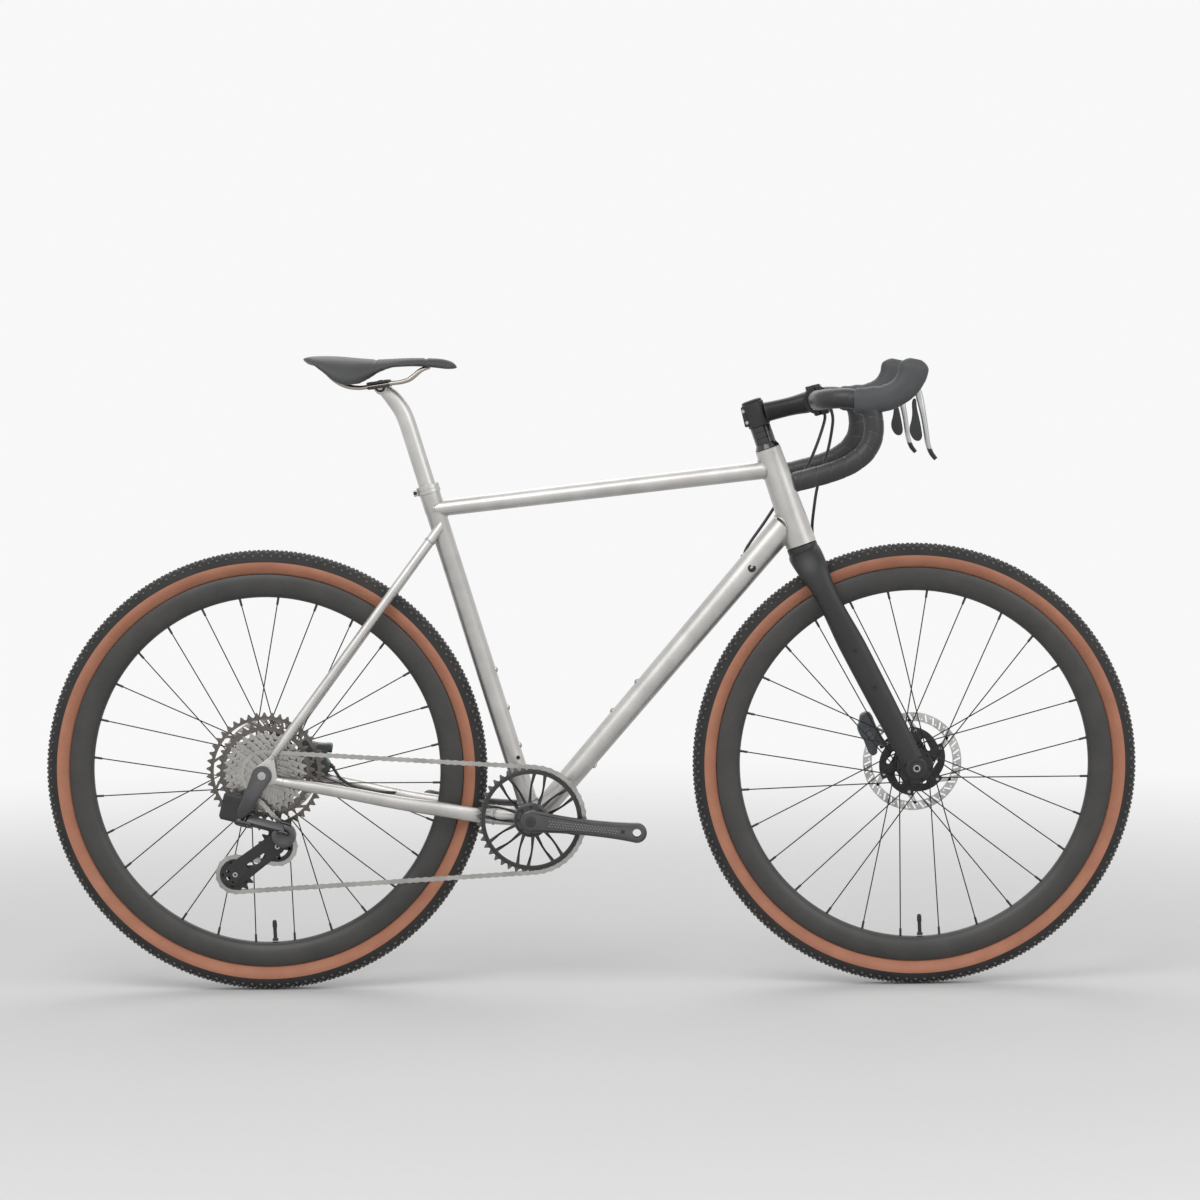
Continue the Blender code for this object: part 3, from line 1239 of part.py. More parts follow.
def derailleur_knuckle(mats):
    """The drum that the link carries and the cage turns on, cleared where the link swings."""
    inner = CHAIN_LINE + CAGE_CLEAR + CAGE_PLATE + GAP
    start = Vector((CAGE_PIVOT.x, -inner, CAGE_PIVOT.z))
    drum = round_bar("derailleur_knuckle", start, start - LEFT * KNUCKLE_LENGTH, KNUCKLE_R, 24)
    clear = LINK_R + 0.0012
    swing = math.radians(44.0)
    far = [(-0.06 * math.cos(a), 0.06 * math.sin(a), clear) for a in (-swing, 0.0, swing)]
    outline = hull([(0.0, 0.0, clear)] + far, 16)
    reach = LINK_HALF_THICKNESS + GAP
    ears = clevis(LINK_END, 0.0060)
    join(drum, ears[0], ears[1])
    cut(drum, prism("swing", outline, [], link_frame(LINK_END), -reach, reach))
    join(drum, ears[2])
    cut(drum, round_bar("bore", start + LEFT * 0.002, start - LEFT * 0.0110, bore_for(CAGE_STUB_R, 16), 16))
    return finish_object(drum, mats["anodised_black"], LINK_END)


def derailleur_cage(upper, lower, mats):
    """Two plates joined by the pulley bolts, with a stub that turns in the knuckle."""
    outer_y = -(CHAIN_LINE + CAGE_CLEAR)
    inner_y = -(CHAIN_LINE - CAGE_CLEAR)
    pivot = CAGE_PIVOT
    outline = hull([(pivot.x, pivot.z, 0.0130), (upper.x, upper.z, 0.0120), (lower.x, lower.z, 0.0190)], 20)
    cage = side_plate("derailleur_cage", outline, [], outer_y - CAGE_PLATE, outer_y)
    inner = hull([(upper.x, upper.z, 0.0110), (lower.x, lower.z, 0.0150)], 18)
    tools = [side_plate("inner", inner, [], inner_y, inner_y + CAGE_PLATE)]
    for spot in (upper, lower):
        place = Vector((spot.x, 0.0, spot.z))
        tools.append(round_bar("bolt", place + LEFT * (outer_y - CAGE_PLATE / 2),
                               place + LEFT * (inner_y + CAGE_PLATE / 2), PULLEY_BOLT_R, 10))
    stub = Vector((pivot.x, 0.0, pivot.z))
    tools.append(round_bar("stub", stub + LEFT * (outer_y - CAGE_PLATE - 0.0100),
                           stub + LEFT * (outer_y - CAGE_PLATE / 2), CAGE_STUB_R, 14))
    join(cage, *tools)
    return finish_object(cage, mats["anodised_black"], CAGE_PIVOT)


def pulley(name, centre, pin_angle, mats):
    half = TOOTH_THICKNESS / 2
    outline = sprocket_outline(PULLEY_TEETH, centre, pin_angle, True)
    bore = circle(centre.x, centre.z, PULLEY_BOLT_R + 0.0016, 10)
    wheel = side_plate(name, outline, [bore], -CHAIN_LINE - half, -CHAIN_LINE + half)
    boss_half = CAGE_CLEAR - GAP
    hub_ring = ring("hub", Vector((centre.x, 0.0, centre.z)), LEFT, -CHAIN_LINE - boss_half,
                    -CHAIN_LINE + boss_half, bore_for(PULLEY_BOLT_R, 10), PULLEY_BOSS_R, 10)
    join(wheel, hub_ring)
    return finish_object(wheel, mats["anodised_black"], Vector((centre.x, 0.0, centre.z)))


# Fork and cockpit

CROWN = on_steerer(-CROWN_DOWN)
LEG_DIR = (FRONT_AXLE - CROWN).normalized()
LEG_LENGTH = (FRONT_AXLE - CROWN).length


def leg_stops():
    """One blade from the crown's middle to the dropout: (share, y, half depth, half width)."""
    top, middle, foot = LEG_Y
    return [
        (0.000, 0.0, CROWN_HALF_DEPTH, CROWN_HALF_HEIGHT),
        (0.030, top * 0.55, CROWN_HALF_DEPTH * 0.98, CROWN_HALF_HEIGHT * 0.97),
        (0.075, top * 0.86, CROWN_HALF_DEPTH * 0.90, LEG_HALF_WIDTH[0] * 1.10),
        (0.130, top, LEG_HALF_DEPTH[0], LEG_HALF_WIDTH[0]),
        (0.450, middle, LEG_HALF_DEPTH[1], LEG_HALF_WIDTH[1]),
        (0.800, 0.45 * middle + 0.55 * foot, (LEG_HALF_DEPTH[1] + LEG_HALF_DEPTH[2]) / 2,
         (LEG_HALF_WIDTH[1] + LEG_HALF_WIDTH[2]) / 2),
        (0.965, foot, LEG_HALF_DEPTH[2], LEG_HALF_WIDTH[2]),
    ]


def leg_spot(x, side):
    """A point on a blade's outer face at height given by x along the blade, with its normal."""
    share = (x - CROWN.x) / (FRONT_AXLE.x - CROWN.x)
    stops = leg_stops()
    for before, after in zip(stops, stops[1:]):
        if before[0] <= share <= after[0]:
            break
    mix = (share - before[0]) / (after[0] - before[0])
    y = before[1] + (after[1] - before[1]) * mix
    half = before[3] + (after[3] - before[3]) * mix
    return CROWN.lerp(FRONT_AXLE, share) + LEFT * (side * (y + half)), LEFT * side


def fork(mats):
    """Crown and both blades as one arch, a stepped steerer above and a dropout at each foot."""
    stops = leg_stops()
    points = [CROWN + LEG_DIR * (LEG_LENGTH * s) + LEFT * -y for s, y, _, _ in stops[:0:-1]]
    radii = [(depth, width) for _, _, depth, width in stops[:0:-1]]
    points += [CROWN + LEG_DIR * (LEG_LENGTH * s) + LEFT * y for s, y, _, _ in stops]
    radii += [(depth, width) for _, _, depth, width in stops]
    reference = LEG_DIR.cross(LEFT)
    sections = []
    for point, direction, (depth, width) in zip(points, tangents(points), radii):
        first, second = side_axes(direction, reference)
        loop = []
        for i in range(10):
            angle = 2.0 * math.pi * (i + 0.5) / 10
            loop.append(point + first * (width * math.cos(angle)) + second * (depth * math.sin(angle)))
        sections.append(loop)
    made = skin("fork", sections)
    foot = STEERER_FOOT_R - GAP
    profile = [(-CROWN_DOWN, foot), (0.0125, foot), (0.0200, STEERER_R), (STEM_TOP - 0.0025, STEERER_R)]
    join(made, turned("steerer", profile, HEAD_FOOT, STEER_DIR, 16, False))
    crown_top = turned("seat", [(-CROWN_DOWN, HEAD_FOOT_R - 0.0002), (-0.0006, HEAD_FOOT_R - 0.0002)],
                       HEAD_FOOT, STEER_DIR, 20, False)
    join(made, crown_top)
    cut(made, turned("level", [(-0.0006, HEAD_FOOT_R - GAP), (-0.0006, CUTTER_REACH), (0.02, CUTTER_REACH),
                               (0.02, HEAD_FOOT_R - GAP)], HEAD_FOOT, STEER_DIR, 32))
    for side in (-1, 1):
        low, high = sorted((side * FRONT_HUB_HALF, side * (LEG_Y[2] + LEG_HALF_WIDTH[2])))
        hole = circle(FRONT_AXLE.x, FRONT_AXLE.z, AXLE_R + 3 * GAP, 16)
        outline = circle(FRONT_AXLE.x, FRONT_AXLE.z, LEG_HALF_DEPTH[2], 16)
        join(made, side_plate("dropout", outline, [hole], low, high))
        for x in FORK_BOSS_X:
            spot, out = leg_spot(x, side)
            join(made, round_bar("boss", spot - out * 0.0040, spot + out * BOSS_HEIGHT, BOSS_R, 6))
    hole = round_bar("axle_hole", FRONT_AXLE - LEFT * CUTTER_REACH, FRONT_AXLE + LEFT * CUTTER_REACH,
                     bore_for(AXLE_R, 16), 16)
    cut(made, hole)
    gap_y = FRONT_HUB_HALF
    cut(made, round_bar("hub_room", FRONT_AXLE - LEFT * gap_y, FRONT_AXLE + LEFT * gap_y, HUB_ROOM_R, 16))
    return finish_object(made, mats["carbon_black"], HEAD_FOOT)


def headset_spacers(mats):
    """Cover and spacers between the head tube and the stem, flared at the bottom."""
    low = HEAD_LENGTH + GAP
    bore = bore_for(STEERER_R, 20)
    profile = [(low, bore), (low, HEAD_TOP_R), (low + 0.0060, SPACER_R + 0.0004), (low + 0.0085, SPACER_R),
               (SPACER_TOP, SPACER_R), (SPACER_TOP, bore)]
    made = turned("headset_spacers", profile, HEAD_FOOT, STEER_DIR, 20)
    return finish_object(made, mats["anodised_black"], HEAD_FOOT)


STEM_START = on_steerer((SPACER_TOP + STEM_TOP) / 2)
BAR_CENTRE = STEM_START + STEM_DIR * STEM_LENGTH


def bar_clamp_half(name, side):
    """Half of the barrel round the bar: +1 faces the front, -1 the stem."""
    steps = 8
    inner = bore_for(BAR_CLAMPED_R, 2 * steps)
    start = math.atan2(STEM_DIR.z, STEM_DIR.x) + (0.0 if side > 0 else math.pi)
    half_turn = math.pi / 2
    slit = 0.0012
    loop = []
    for radius, order in ((BAR_CLAMP_R, 1), (inner, -1)):
        if radius == inner and side < 0:
            continue
        lean = math.asin(slit / radius)
        arc = [-half_turn + lean + (2 * (half_turn - lean)) * i / steps for i in range(steps + 1)]
        for angle in arc[::order]:
            loop.append((BAR_CENTRE.x + radius * math.cos(start + angle),
                         BAR_CENTRE.z + radius * math.sin(start + angle)))
    return side_plate(name, loop, [], -BAR_CLAMP_HALF_WIDTH, BAR_CLAMP_HALF_WIDTH)


def stem(mats):
    """Steerer clamp, arm and the rear half of the bar clamp."""
    made = round_bar("stem", on_steerer(SPACER_TOP + GAP), on_steerer(STEM_TOP), STEM_CLAMP_R, 20)
    far = STEM_LENGTH - BAR_CLAMP_R + 0.0040
    points = [STEM_START + STEM_DIR * s for s in (STEERER_R + 0.0020, 0.0350, 0.0600, far)]
    radii = [(STEM_HALF_HEIGHT, STEM_HALF_WIDTH * 0.94), (STEM_HALF_HEIGHT * 0.95, STEM_HALF_WIDTH * 0.94),
             (STEM_HALF_HEIGHT * 0.95, STEM_HALF_WIDTH), (STEM_HALF_HEIGHT * 1.10, STEM_HALF_WIDTH * 1.22)]
    arm = oval_tube("arm", points, radii, 0.0, 16)
    join(made, arm, bar_clamp_half("rear_half", -1))
    bolt_back = on_steerer((SPACER_TOP + STEM_TOP) / 2) - STEM_DIR * (STEM_CLAMP_R - 0.0020)
    join(made, block("ear", bolt_back, STEM_DIR, STEER_DIR, (0.0040, 0.0165, 0.0080), 0.003))
    cut(made, round_bar("bore", on_steerer(SPACER_TOP - 0.01), on_steerer(STEM_TOP + 0.01),
                        bore_for(STEERER_R, 18), 18))
    cut(made, round_bar("bar_room", BAR_CENTRE - LEFT * 0.05, BAR_CENTRE + LEFT * 0.05,
                        bore_for(BAR_CLAMPED_R, 20), 20))
    return finish_object(made, mats["anodised_black"], HEAD_FOOT)


def stem_faceplate(mats):
    """Front half of the bar clamp with a bolt block above and below."""
    made = bar_clamp_half("stem_faceplate", 1)
    across = STEER_DIR
    for side in (-1, 1):
        place = BAR_CENTRE + across * (side * (BAR_CLAMP_R - 0.0020)) + STEM_DIR * 0.0075
        join(made, block("lug", place, STEM_DIR, across,
                         (0.0060, 0.0040, BAR_CLAMP_HALF_WIDTH - 0.0040), 0.0015))
    return finish_object(made, mats["anodised_black"], HEAD_FOOT)


def stem_top_cap(mats):
    low = STEM_TOP + GAP
    profile = [(low, SPACER_R), (low + CAP_HEIGHT * 0.6, SPACER_R), (low + CAP_HEIGHT, SPACER_R - 0.0030)]
    made = turned("stem_top_cap", profile, HEAD_FOOT, STEER_DIR, 20, False)
    return finish_object(made, mats["anodised_black"], HEAD_FOOT)


def bar_line():
    """The bar's centre-line on the right side, from the stem out, round the drop and back."""
    c = BAR_CENTRE
    return [
        c.copy(), Vector((c.x, -0.0340, c.z)), Vector((c.x, -0.0440, c.z)),
        Vector((c.x, -0.1500, c.z + 0.0015)),
        Vector((0.4690, -0.1830, 0.6680)), Vector((0.4860, -0.2020, 0.6690)), Vector((0.5080, -0.2100, 0.6685)),
        Vector((0.5270, -0.2125, 0.6620)), Vector((0.5380, -0.2140, 0.6480)), Vector((0.5415, -0.2160, 0.6280)),
        Vector((0.5395, -0.2180, 0.6070)), Vector((0.5290, -0.2205, 0.5870)), Vector((0.5080, -0.2235, 0.5700)),
        Vector((0.4800, -0.2270, 0.5580)), Vector((0.4480, -0.2295, 0.5490)), Vector((0.4170, -0.2320, 0.5415)),
    ]


def handlebar(mats):
    """Drop bar, thick where the stem holds it."""
    right = bar_line()
    left = mirrored(right)
    points = left[:0:-1] + right
    thick = [BAR_CLAMPED_R, BAR_CLAMPED_R] + [BAR_R] * (len(right) - 2)
    radii = thick[:0:-1] + thick
    rings = rolled_rings(points, radii, 8, UP)
    made = skin("handlebar", rings)
    return finish_object(made, mats["carbon_black"], HEAD_FOOT)


def tape_line():
    """The taped part of the bar's centre-line."""
    points = bar_line()[2:]
    points[0] = Vector((points[0].x, -TAPE_START_Y, points[0].z))
    return points


def bar_tape(name, side, mats):
    """Tape as one sleeve round the bar, from near the stem to the bar's end."""
    points = tape_line()
    if side > 0:
        points = mirrored(points)
    count = len(points)
    outer = rolled_rings(points, [TAPE_R] * count, 8, UP)
    inner = rolled_rings(points, [bore_for(BAR_R, 8)] * count, 8, UP)
    made = skin(name, outer + inner[::-1], True)
    return finish_object(made, mats["tape"], HEAD_FOOT)


def brake_hood(name, side, mats):
    """Lever body in its rubber cover, cleared for the bar's tape and slotted for the lever."""
    y = side * -LEVER_PIVOT.y
    points = [Vector((x, y, z)) for x, z, _, _ in HOOD_LINE]
    radii = [(high, wide * HOOD_HALF_WIDTH / 0.0190) for _, _, high, wide in HOOD_LINE]
    made = oval_tube(name, points, radii, 0.0, 12)
    tape = tape_line()
    if side > 0:
        tape = mirrored(tape)
    rings = rolled_rings(tape, [TAPE_R + 1.2 * GAP] * len(tape), 8, UP)
    cut(made, skin("tape_room", rings[2:9]))
    pivot = LEVER_PIVOT
    slot = hull([(pivot.x, pivot.z, 0.0075), (pivot.x + 0.0165, pivot.z - 0.0255, 0.0060),
                 (pivot.x - 0.0125, pivot.z - 0.0600, 0.0105),
                 (pivot.x + 0.0565, pivot.z - 0.0575, 0.0100)], 16)
    cut(made, side_plate("slot", slot, [], y - LEVER_SLOT_HALF, y + LEVER_SLOT_HALF))
    join(made, round_bar("pivot_pin", Vector((pivot.x, y - LEVER_SLOT_HALF - 0.002, pivot.z)),
                         Vector((pivot.x, y + LEVER_SLOT_HALF + 0.002, pivot.z)), 0.0018, 8))
    return finish_object(made, mats["hood_rubber"], HEAD_FOOT)


def brake_lever(name, side, mats):
    """Lever blade on a tongue that turns on the hood's pin."""
    y = side * -LEVER_PIVOT.y
    points = [Vector((x, y, z)) for x, z, _, _ in LEVER_LINE]
    radii = [(thick, wide * (LEVER_TONGUE_HALF / 0.0050 if i < 3 else 1.0))
             for i, (_, _, thick, wide) in enumerate(LEVER_LINE)]
    made = oval_tube(name, points, radii, 0.0, 8)
    pivot = LEVER_PIVOT
    eye = circle(pivot.x, pivot.z, 0.0058, 10)
    join(made, side_plate("eye", eye, [], y - LEVER_TONGUE_HALF, y + LEVER_TONGUE_HALF))
    cut(made, round_bar("pin_hole", Vector((pivot.x, y - 0.02, pivot.z)), Vector((pivot.x, y + 0.02, pivot.z)),
                        bore_for(0.0018, 8), 8))
    return finish_object(made, mats["lever_grey"], Vector((pivot.x, y, pivot.z)))


def shift_paddle(name, side, mats):
    """Thin paddle behind the lever blade."""
    y = side * -LEVER_PIVOT.y
    made = side_plate(name, list(PADDLE_OUTLINE), [], y - PADDLE_HALF_THICKNESS, y + PADDLE_HALF_THICKNESS)
    return finish_object(made, mats["carbon_black"], Vector((PADDLE_AXIS_POINT.x, y, PADDLE_AXIS_POINT.z)))


# Brakes

def caliper(name, centre, along, half, wheel_centre, rotor_y, tools, rooms, origin, mats):
    """Block over the rotor's edge, with a slot for the rotor and room for what it stands on."""
    across = Vector((along.z, 0.0, -along.x))
    made = block(name, centre, along, across, half, 0.0050)
    join(made, *tools)
    middle = Vector((wheel_centre.x, rotor_y, wheel_centre.z))
    cut(made, round_bar("slot", middle - LEFT * (ROTOR_SLOT / 2), middle + LEFT * (ROTOR_SLOT / 2),
                        ROTOR_R + 0.0015, 40))
    cut(made, *rooms)
    return finish_object(made, mats["anodised_black"], origin)


def front_caliper(mats):
    """Behind the left blade, standing on it."""
    back = LEG_DIR.cross(LEFT)
    back = back if back.x < 0 else -back
    leg = [CROWN + LEG_DIR * (LEG_LENGTH * s) + LEFT * y for s, y, _, _ in leg_stops()[4:]]
    radii = [(w + 0.0005, d + 0.0005) for _, _, d, w in leg_stops()[4:]]
    sections = []
    for point, direction, (wide, deep) in zip(leg, tangents(leg), radii):
        first, second = side_axes(direction, back)
        sections.append([point + first * (wide * math.cos(a)) + second * (deep * math.sin(a))
                         for a in [2.0 * math.pi * (i + 0.5) / 10 for i in range(10)]])
    foot = round_bar("foot_room", FRONT_AXLE + LEFT * 0.040, FRONT_AXLE + LEFT * 0.075, 0.0185, 16)
    return caliper("front_caliper", FRONT_CALIPER, LEG_DIR, (0.0350, 0.0170, 0.0140), FRONT_AXLE, FRONT_ROTOR_Y,
                   [], [skin("leg_room", sections), foot], HEAD_FOOT, mats)


def rear_caliper(mats):
    """On top of the left chainstay, between it and the seatstay."""
    along = (Vector((CHAINSTAY_PATH[3][0], 0, CHAINSTAY_PATH[3][2]))
             - Vector((CHAINSTAY_PATH[2][0], 0, CHAINSTAY_PATH[2][2]))).normalized()
    points = [Vector((x, y, z)) for x, y, z, _, _ in CHAINSTAY_PATH[:5]]
    radii = [(high + 0.0006, wide + 0.0006) for _, _, _, high, wide in CHAINSTAY_PATH[:5]]
    stay = oval_tube("stay_room", points, radii, 0.0, 8)
    return caliper("rear_caliper", REAR_CALIPER, along, (0.0290, 0.0265, 0.0150), REAR_AXLE, REAR_ROTOR_Y,
                   [], [stay], Vector((0, 0, 0)), mats)




# Seatpost and saddle


def seatpost(mats):
    """Post in the seat tube, bent back at the top to a cross barrel that carries the saddle's clamp."""
    bend = SEAT_TUBE_LENGTH + POST_STRAIGHT
    points = [on_seat_tube(SEAT_TUBE_LENGTH - POST_INSERT), on_seat_tube(bend - 0.012), on_seat_tube(bend)]
    points += list(POST_BEND)
    radii = [(POST_R, POST_R)] * 4 + [(POST_R * 0.96, POST_R * 0.92), (POST_R * 0.78, HEAD_BARREL_HALF * 0.95)]
    made = oval_tube("seatpost", points, radii, 0.0, 16)
    join(made, round_bar("barrel", POST_HEAD - LEFT * HEAD_BARREL_HALF, POST_HEAD + LEFT * HEAD_BARREL_HALF,
                         HEAD_BARREL_R, 16))
    return finish_object(made, mats["titanium"], on_seat_tube(SEAT_TUBE_LENGTH))


def rail_points():
    left = [Vector(p) for p in RAIL_LINE]
    return left + mirrored(left)[::-1]


def saddle_rails(mats):
    """One bent rod: two rails joined under the nose."""
    left = [Vector(p) for p in RAIL_LINE]
    nose = [Vector((-0.1575, 0.0045, 0.7242)), Vector((-0.1575, -0.0045, 0.7242))]
    points = left + nose + mirrored(left)[::-1]
    made = skin("saddle_rails", rolled_rings(points, [RAIL_R] * len(points), RAIL_SIDES, UP))
    return finish_object(made, mats["rail"], POST_HEAD)


def saddle_clamp(mats):
    """Two-sided cradle on the post's barrel that grips both rails."""
    back, front = RAIL_LINE[5], RAIL_LINE[6]
    along = Vector((back[0] - front[0], 0.0, back[2] - front[2])).normalized()
    up = Vector((along.z, 0.0, -along.x))
    rail_x = CLAMP_X
    rail_z = back[2] + (rail_x - back[0]) * along.z / along.x
    middle = Vector((rail_x, 0.0, rail_z)) + up * 0.0010
    made = block("saddle_clamp", middle, along, up,
                 (CLAMP_HALF_LENGTH, CLAMP_HEIGHT / 2, CLAMP_HALF_WIDTH), 0.0030)
    for side in (-1, 1):
        y = side * (HEAD_BARREL_HALF + GAP + 0.0040)
        cheek = hull([(POST_HEAD.x, POST_HEAD.z, 0.0085), (middle.x - 0.006, middle.z, 0.0050),
                      (middle.x + 0.006, middle.z, 0.0050)], 14)
        join(made, side_plate("cheek", cheek, [], y - 0.0040, y + 0.0040))
    room = HEAD_BARREL_HALF + GAP
    swing = round_bar("barrel_room", POST_HEAD - LEFT * room, POST_HEAD + LEFT * room,
                      HEAD_BARREL_R + 0.0030, 24)
    cut(made, swing)
    post_room = hull([(POST_HEAD.x, POST_HEAD.z, 0.0150), (POST_HEAD.x + 0.022, POST_HEAD.z - 0.030, 0.0200),
                      (POST_HEAD.x - 0.004, POST_HEAD.z - 0.035, 0.0150)], 18)
    cut(made, side_plate("post_room", post_room, [], -room, room))
    for side in (-1, 1):
        start = Vector((rail_x, side * RAIL_Y, rail_z)) + along * 0.0400
        end = Vector((rail_x, side * RAIL_Y, rail_z)) - along * 0.0400
        cut(made, round_bar("rail_room", start, end, bore_for(RAIL_R, 12), 12))
    return finish_object(made, mats["anodised_black"], POST_HEAD)


def saddle_values(x):
    for before, after in zip(SADDLE_STATIONS, SADDLE_STATIONS[1:]):
        if before[0] <= x <= after[0]:
            break
    share = (x - before[0]) / (after[0] - before[0])
    return [a + (b - a) * share for a, b in zip(before[1:], after[1:])]


def saddle_section(x, sunk):
    """One ring round the saddle: padded top, drawn-in sides, hollow underside."""
    half, top, edge, under = saddle_values(x)
    half *= SADDLE_HALF_WIDTH / 0.0720
    left = []
    for across, down in SADDLE_ARC:
        drop = (top - edge) * down
        left.append((across * half, top - drop - sunk * (1.0 - 0.5 * across)))
    left.append((0.97 * half, edge))
    left.append((0.84 * half, edge + 0.0015))
    left.append((0.62 * half, under - 0.0030 if under - edge > 0.006 else under))
    right = [(-y, z) for y, z in left[:0:-1]]
    loop = left + [(0.0, under)] + right
    return [Vector((x, y, z)) for y, z in loop]


def saddle(mats):
    """Padded top in three parts, sewn across by two shallow grooves."""
    stops = [(station[0], 0.0) for station in SADDLE_STATIONS]
    for x in SADDLE_GROOVES:
        stops = [s for s in stops if abs(s[0] - x) > GROOVE_HALF]
        stops += [(x - GROOVE_HALF, 0.0), (x, GROOVE_DEPTH), (x + GROOVE_HALF, 0.0)]
    sections = [saddle_section(x, sunk) for x, sunk in sorted(stops)]
    made = skin("saddle", sections)
    rail_room = rail_points()
    middle = len(rail_room) // 2
    nose = [Vector((-0.1575, 0.0045, 0.7242)), Vector((-0.1575, -0.0045, 0.7242))]
    path = rail_room[:middle] + nose + rail_room[middle:]
    ahead = path[0] + (path[0] - path[1]).normalized() * 0.002
    behind = path[-1] + (path[-1] - path[-2]).normalized() * 0.002
    path = [ahead] + path + [behind]
    cut(made, skin("rail_room", rolled_rings(path, [bore_for(RAIL_R, RAIL_SIDES)] * len(path), RAIL_SIDES, UP)))
    return finish_object(made, mats["saddle"], POST_HEAD)


# Hoses

def smooth_line(stops, spacing=0.0130):
    """Evenly spaced points on a smooth curve through the stops."""
    stops = [Vector(p) for p in stops]
    padded = [stops[0] * 2 - stops[1]] + stops + [stops[-1] * 2 - stops[-2]]
    fine = []
    for a, b, c, d in zip(padded, padded[1:], padded[2:], padded[3:]):
        for i in range(24):
            t = i / 24
            fine.append(0.5 * (2 * b + (c - a) * t + (2 * a - 5 * b + 4 * c - d) * t * t
                               + (3 * b - a - 3 * c + d) * t * t * t))
    fine.append(stops[-1])
    lengths = [0.0]
    for a, b in zip(fine, fine[1:]):
        lengths.append(lengths[-1] + (b - a).length)
    count = max(3, round(lengths[-1] / spacing))
    points = []
    at = 0
    for i in range(count + 1):
        want = lengths[-1] * i / count
        while at < len(lengths) - 2 and lengths[at + 1] < want:
            at += 1
        share = (want - lengths[at]) / (lengths[at + 1] - lengths[at])
        points.append(fine[at].lerp(fine[at + 1], share))
    return points


def hose(name, stops, origin, mats):
    """Round hydraulic hose with closed ends."""
    curve = bpy.data.curves.new(name, "CURVE")
    curve.dimensions = "3D"
    curve.bevel_depth = HOSE_R
    curve.bevel_resolution = 1
    curve.use_fill_caps = True
    points = smooth_line(stops)
    line = curve.splines.new("POLY")
    line.points.add(len(points) - 1)
    for spot, p in zip(line.points, points):
        spot.co = (*(p - origin), 1.0)
    curve.materials.append(mats["hose"])
    obj = bpy.data.objects.new(name, curve)
    obj.location = origin
    bpy.context.scene.collection.objects.link(obj)
    return obj


def main():
    for obj in list(bpy.data.objects):
        bpy.data.objects.remove(obj)
    mats = make_materials()
    head_tube(mats)
    top_tube(mats)
    down_tube(mats)
    seat_tube(mats)
    bb_shell(mats)
    bb_cup("bb_cup_right", -1, mats)
    bb_cup("bb_cup_left", 1, mats)
    for side, word in ((-1, "right"), (1, "left")):
        chainstay("chainstay_" + word, side, mats)
        seatstay("seatstay_" + word, side, mats)
    headset_bearing("headset_bearing_lower", 0.0, bore_for(STEERER_FOOT_R, 16), LOWER_BEARING_R, mats)
    headset_bearing("headset_bearing_upper", HEAD_LENGTH - BEARING_HEIGHT, bore_for(STEERER_R, 16),
                    UPPER_BEARING_R, mats)
    seat_collar(mats)
    dropout_face = DROPOUT_INNER_Y + DROPOUT_THICKNESS + GAP
    thru_axle("rear_axle", REAR_AXLE, -dropout_face - MOUNT_PLATE + GAP, dropout_face, 1, REAR_AXLE, mats)
    for word, centre in (("front", FRONT_AXLE), ("rear", REAR_AXLE)):
        tyre(word + "_tyre", centre, mats)
        rim(word + "_rim", centre, mats)
        valve(word + "_valve", centre, mats)
    hub("front_hub", FRONT_AXLE, FRONT_HUB_HALF, FRONT_FLANGES, FRONT_ROTOR_Y, mats)
    hub("rear_hub", REAR_AXLE, DROPOUT_INNER_Y, REAR_FLANGES, REAR_ROTOR_Y, mats, FREEHUB_FACE)
    rotor("front_rotor", FRONT_AXLE, FRONT_ROTOR_Y, mats)
    rotor("rear_rotor", REAR_AXLE, REAR_ROTOR_Y, mats)
    angle, pins = solve_chain()
    upper, lower = pulley_centres(angle)
    chain(pins, mats)
    cassette(phase_on(pins, 6, REAR_AXLE), mats)
    chainring(phase_on(pins, 0, Vector((0, 0, 0))), mats)
    pulley("pulley_lower", lower, phase_on(pins, 2, lower), mats)
    pulley("pulley_upper", upper, phase_on(pins, 4, upper), mats)
    crank_arm("crank_arm_right", -1, CRANK_ANGLE, mats)
    crank_arm("crank_arm_left", 1, CRANK_ANGLE + math.pi, mats)
    derailleur_body(mats)
    derailleur_link(mats)
    derailleur_knuckle(mats)
    derailleur_cage(upper, lower, mats)
    fork(mats)
    headset_spacers(mats)
    stem(mats)
    stem_faceplate(mats)
    stem_top_cap(mats)
    handlebar(mats)
    for side, word in ((-1, "right"), (1, "left")):
        bar_tape("bar_tape_" + word, side, mats)
        brake_hood("hood_" + word, side, mats)
        brake_lever("brake_lever_" + word, side, mats)
        shift_paddle("shift_paddle_" + word, side, mats)
    front_caliper(mats)
    rear_caliper(mats)
    leg_face = LEG_Y[2] + LEG_HALF_WIDTH[2]
    thru_axle("front_axle", FRONT_AXLE, -leg_face - GAP, leg_face, -1, HEAD_FOOT, mats)
    hose("front_hose", FRONT_HOSE, HEAD_FOOT, mats)
    hose("rear_hose_front", REAR_HOSE_FRONT, Vector((0, 0, 0)), mats)
    hose("rear_hose", REAR_HOSE, Vector((0, 0, 0)), mats)
    seatpost(mats)
    saddle_rails(mats)
    saddle_clamp(mats)
    saddle(mats)


main()
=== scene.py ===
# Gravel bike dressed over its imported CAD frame. Metres, +X forward, +Y to the rider's left, +Z up.
import math

import bpy
import numpy as np
from mathutils import Matrix, Vector
from mathutils.bvhtree import BVHTree


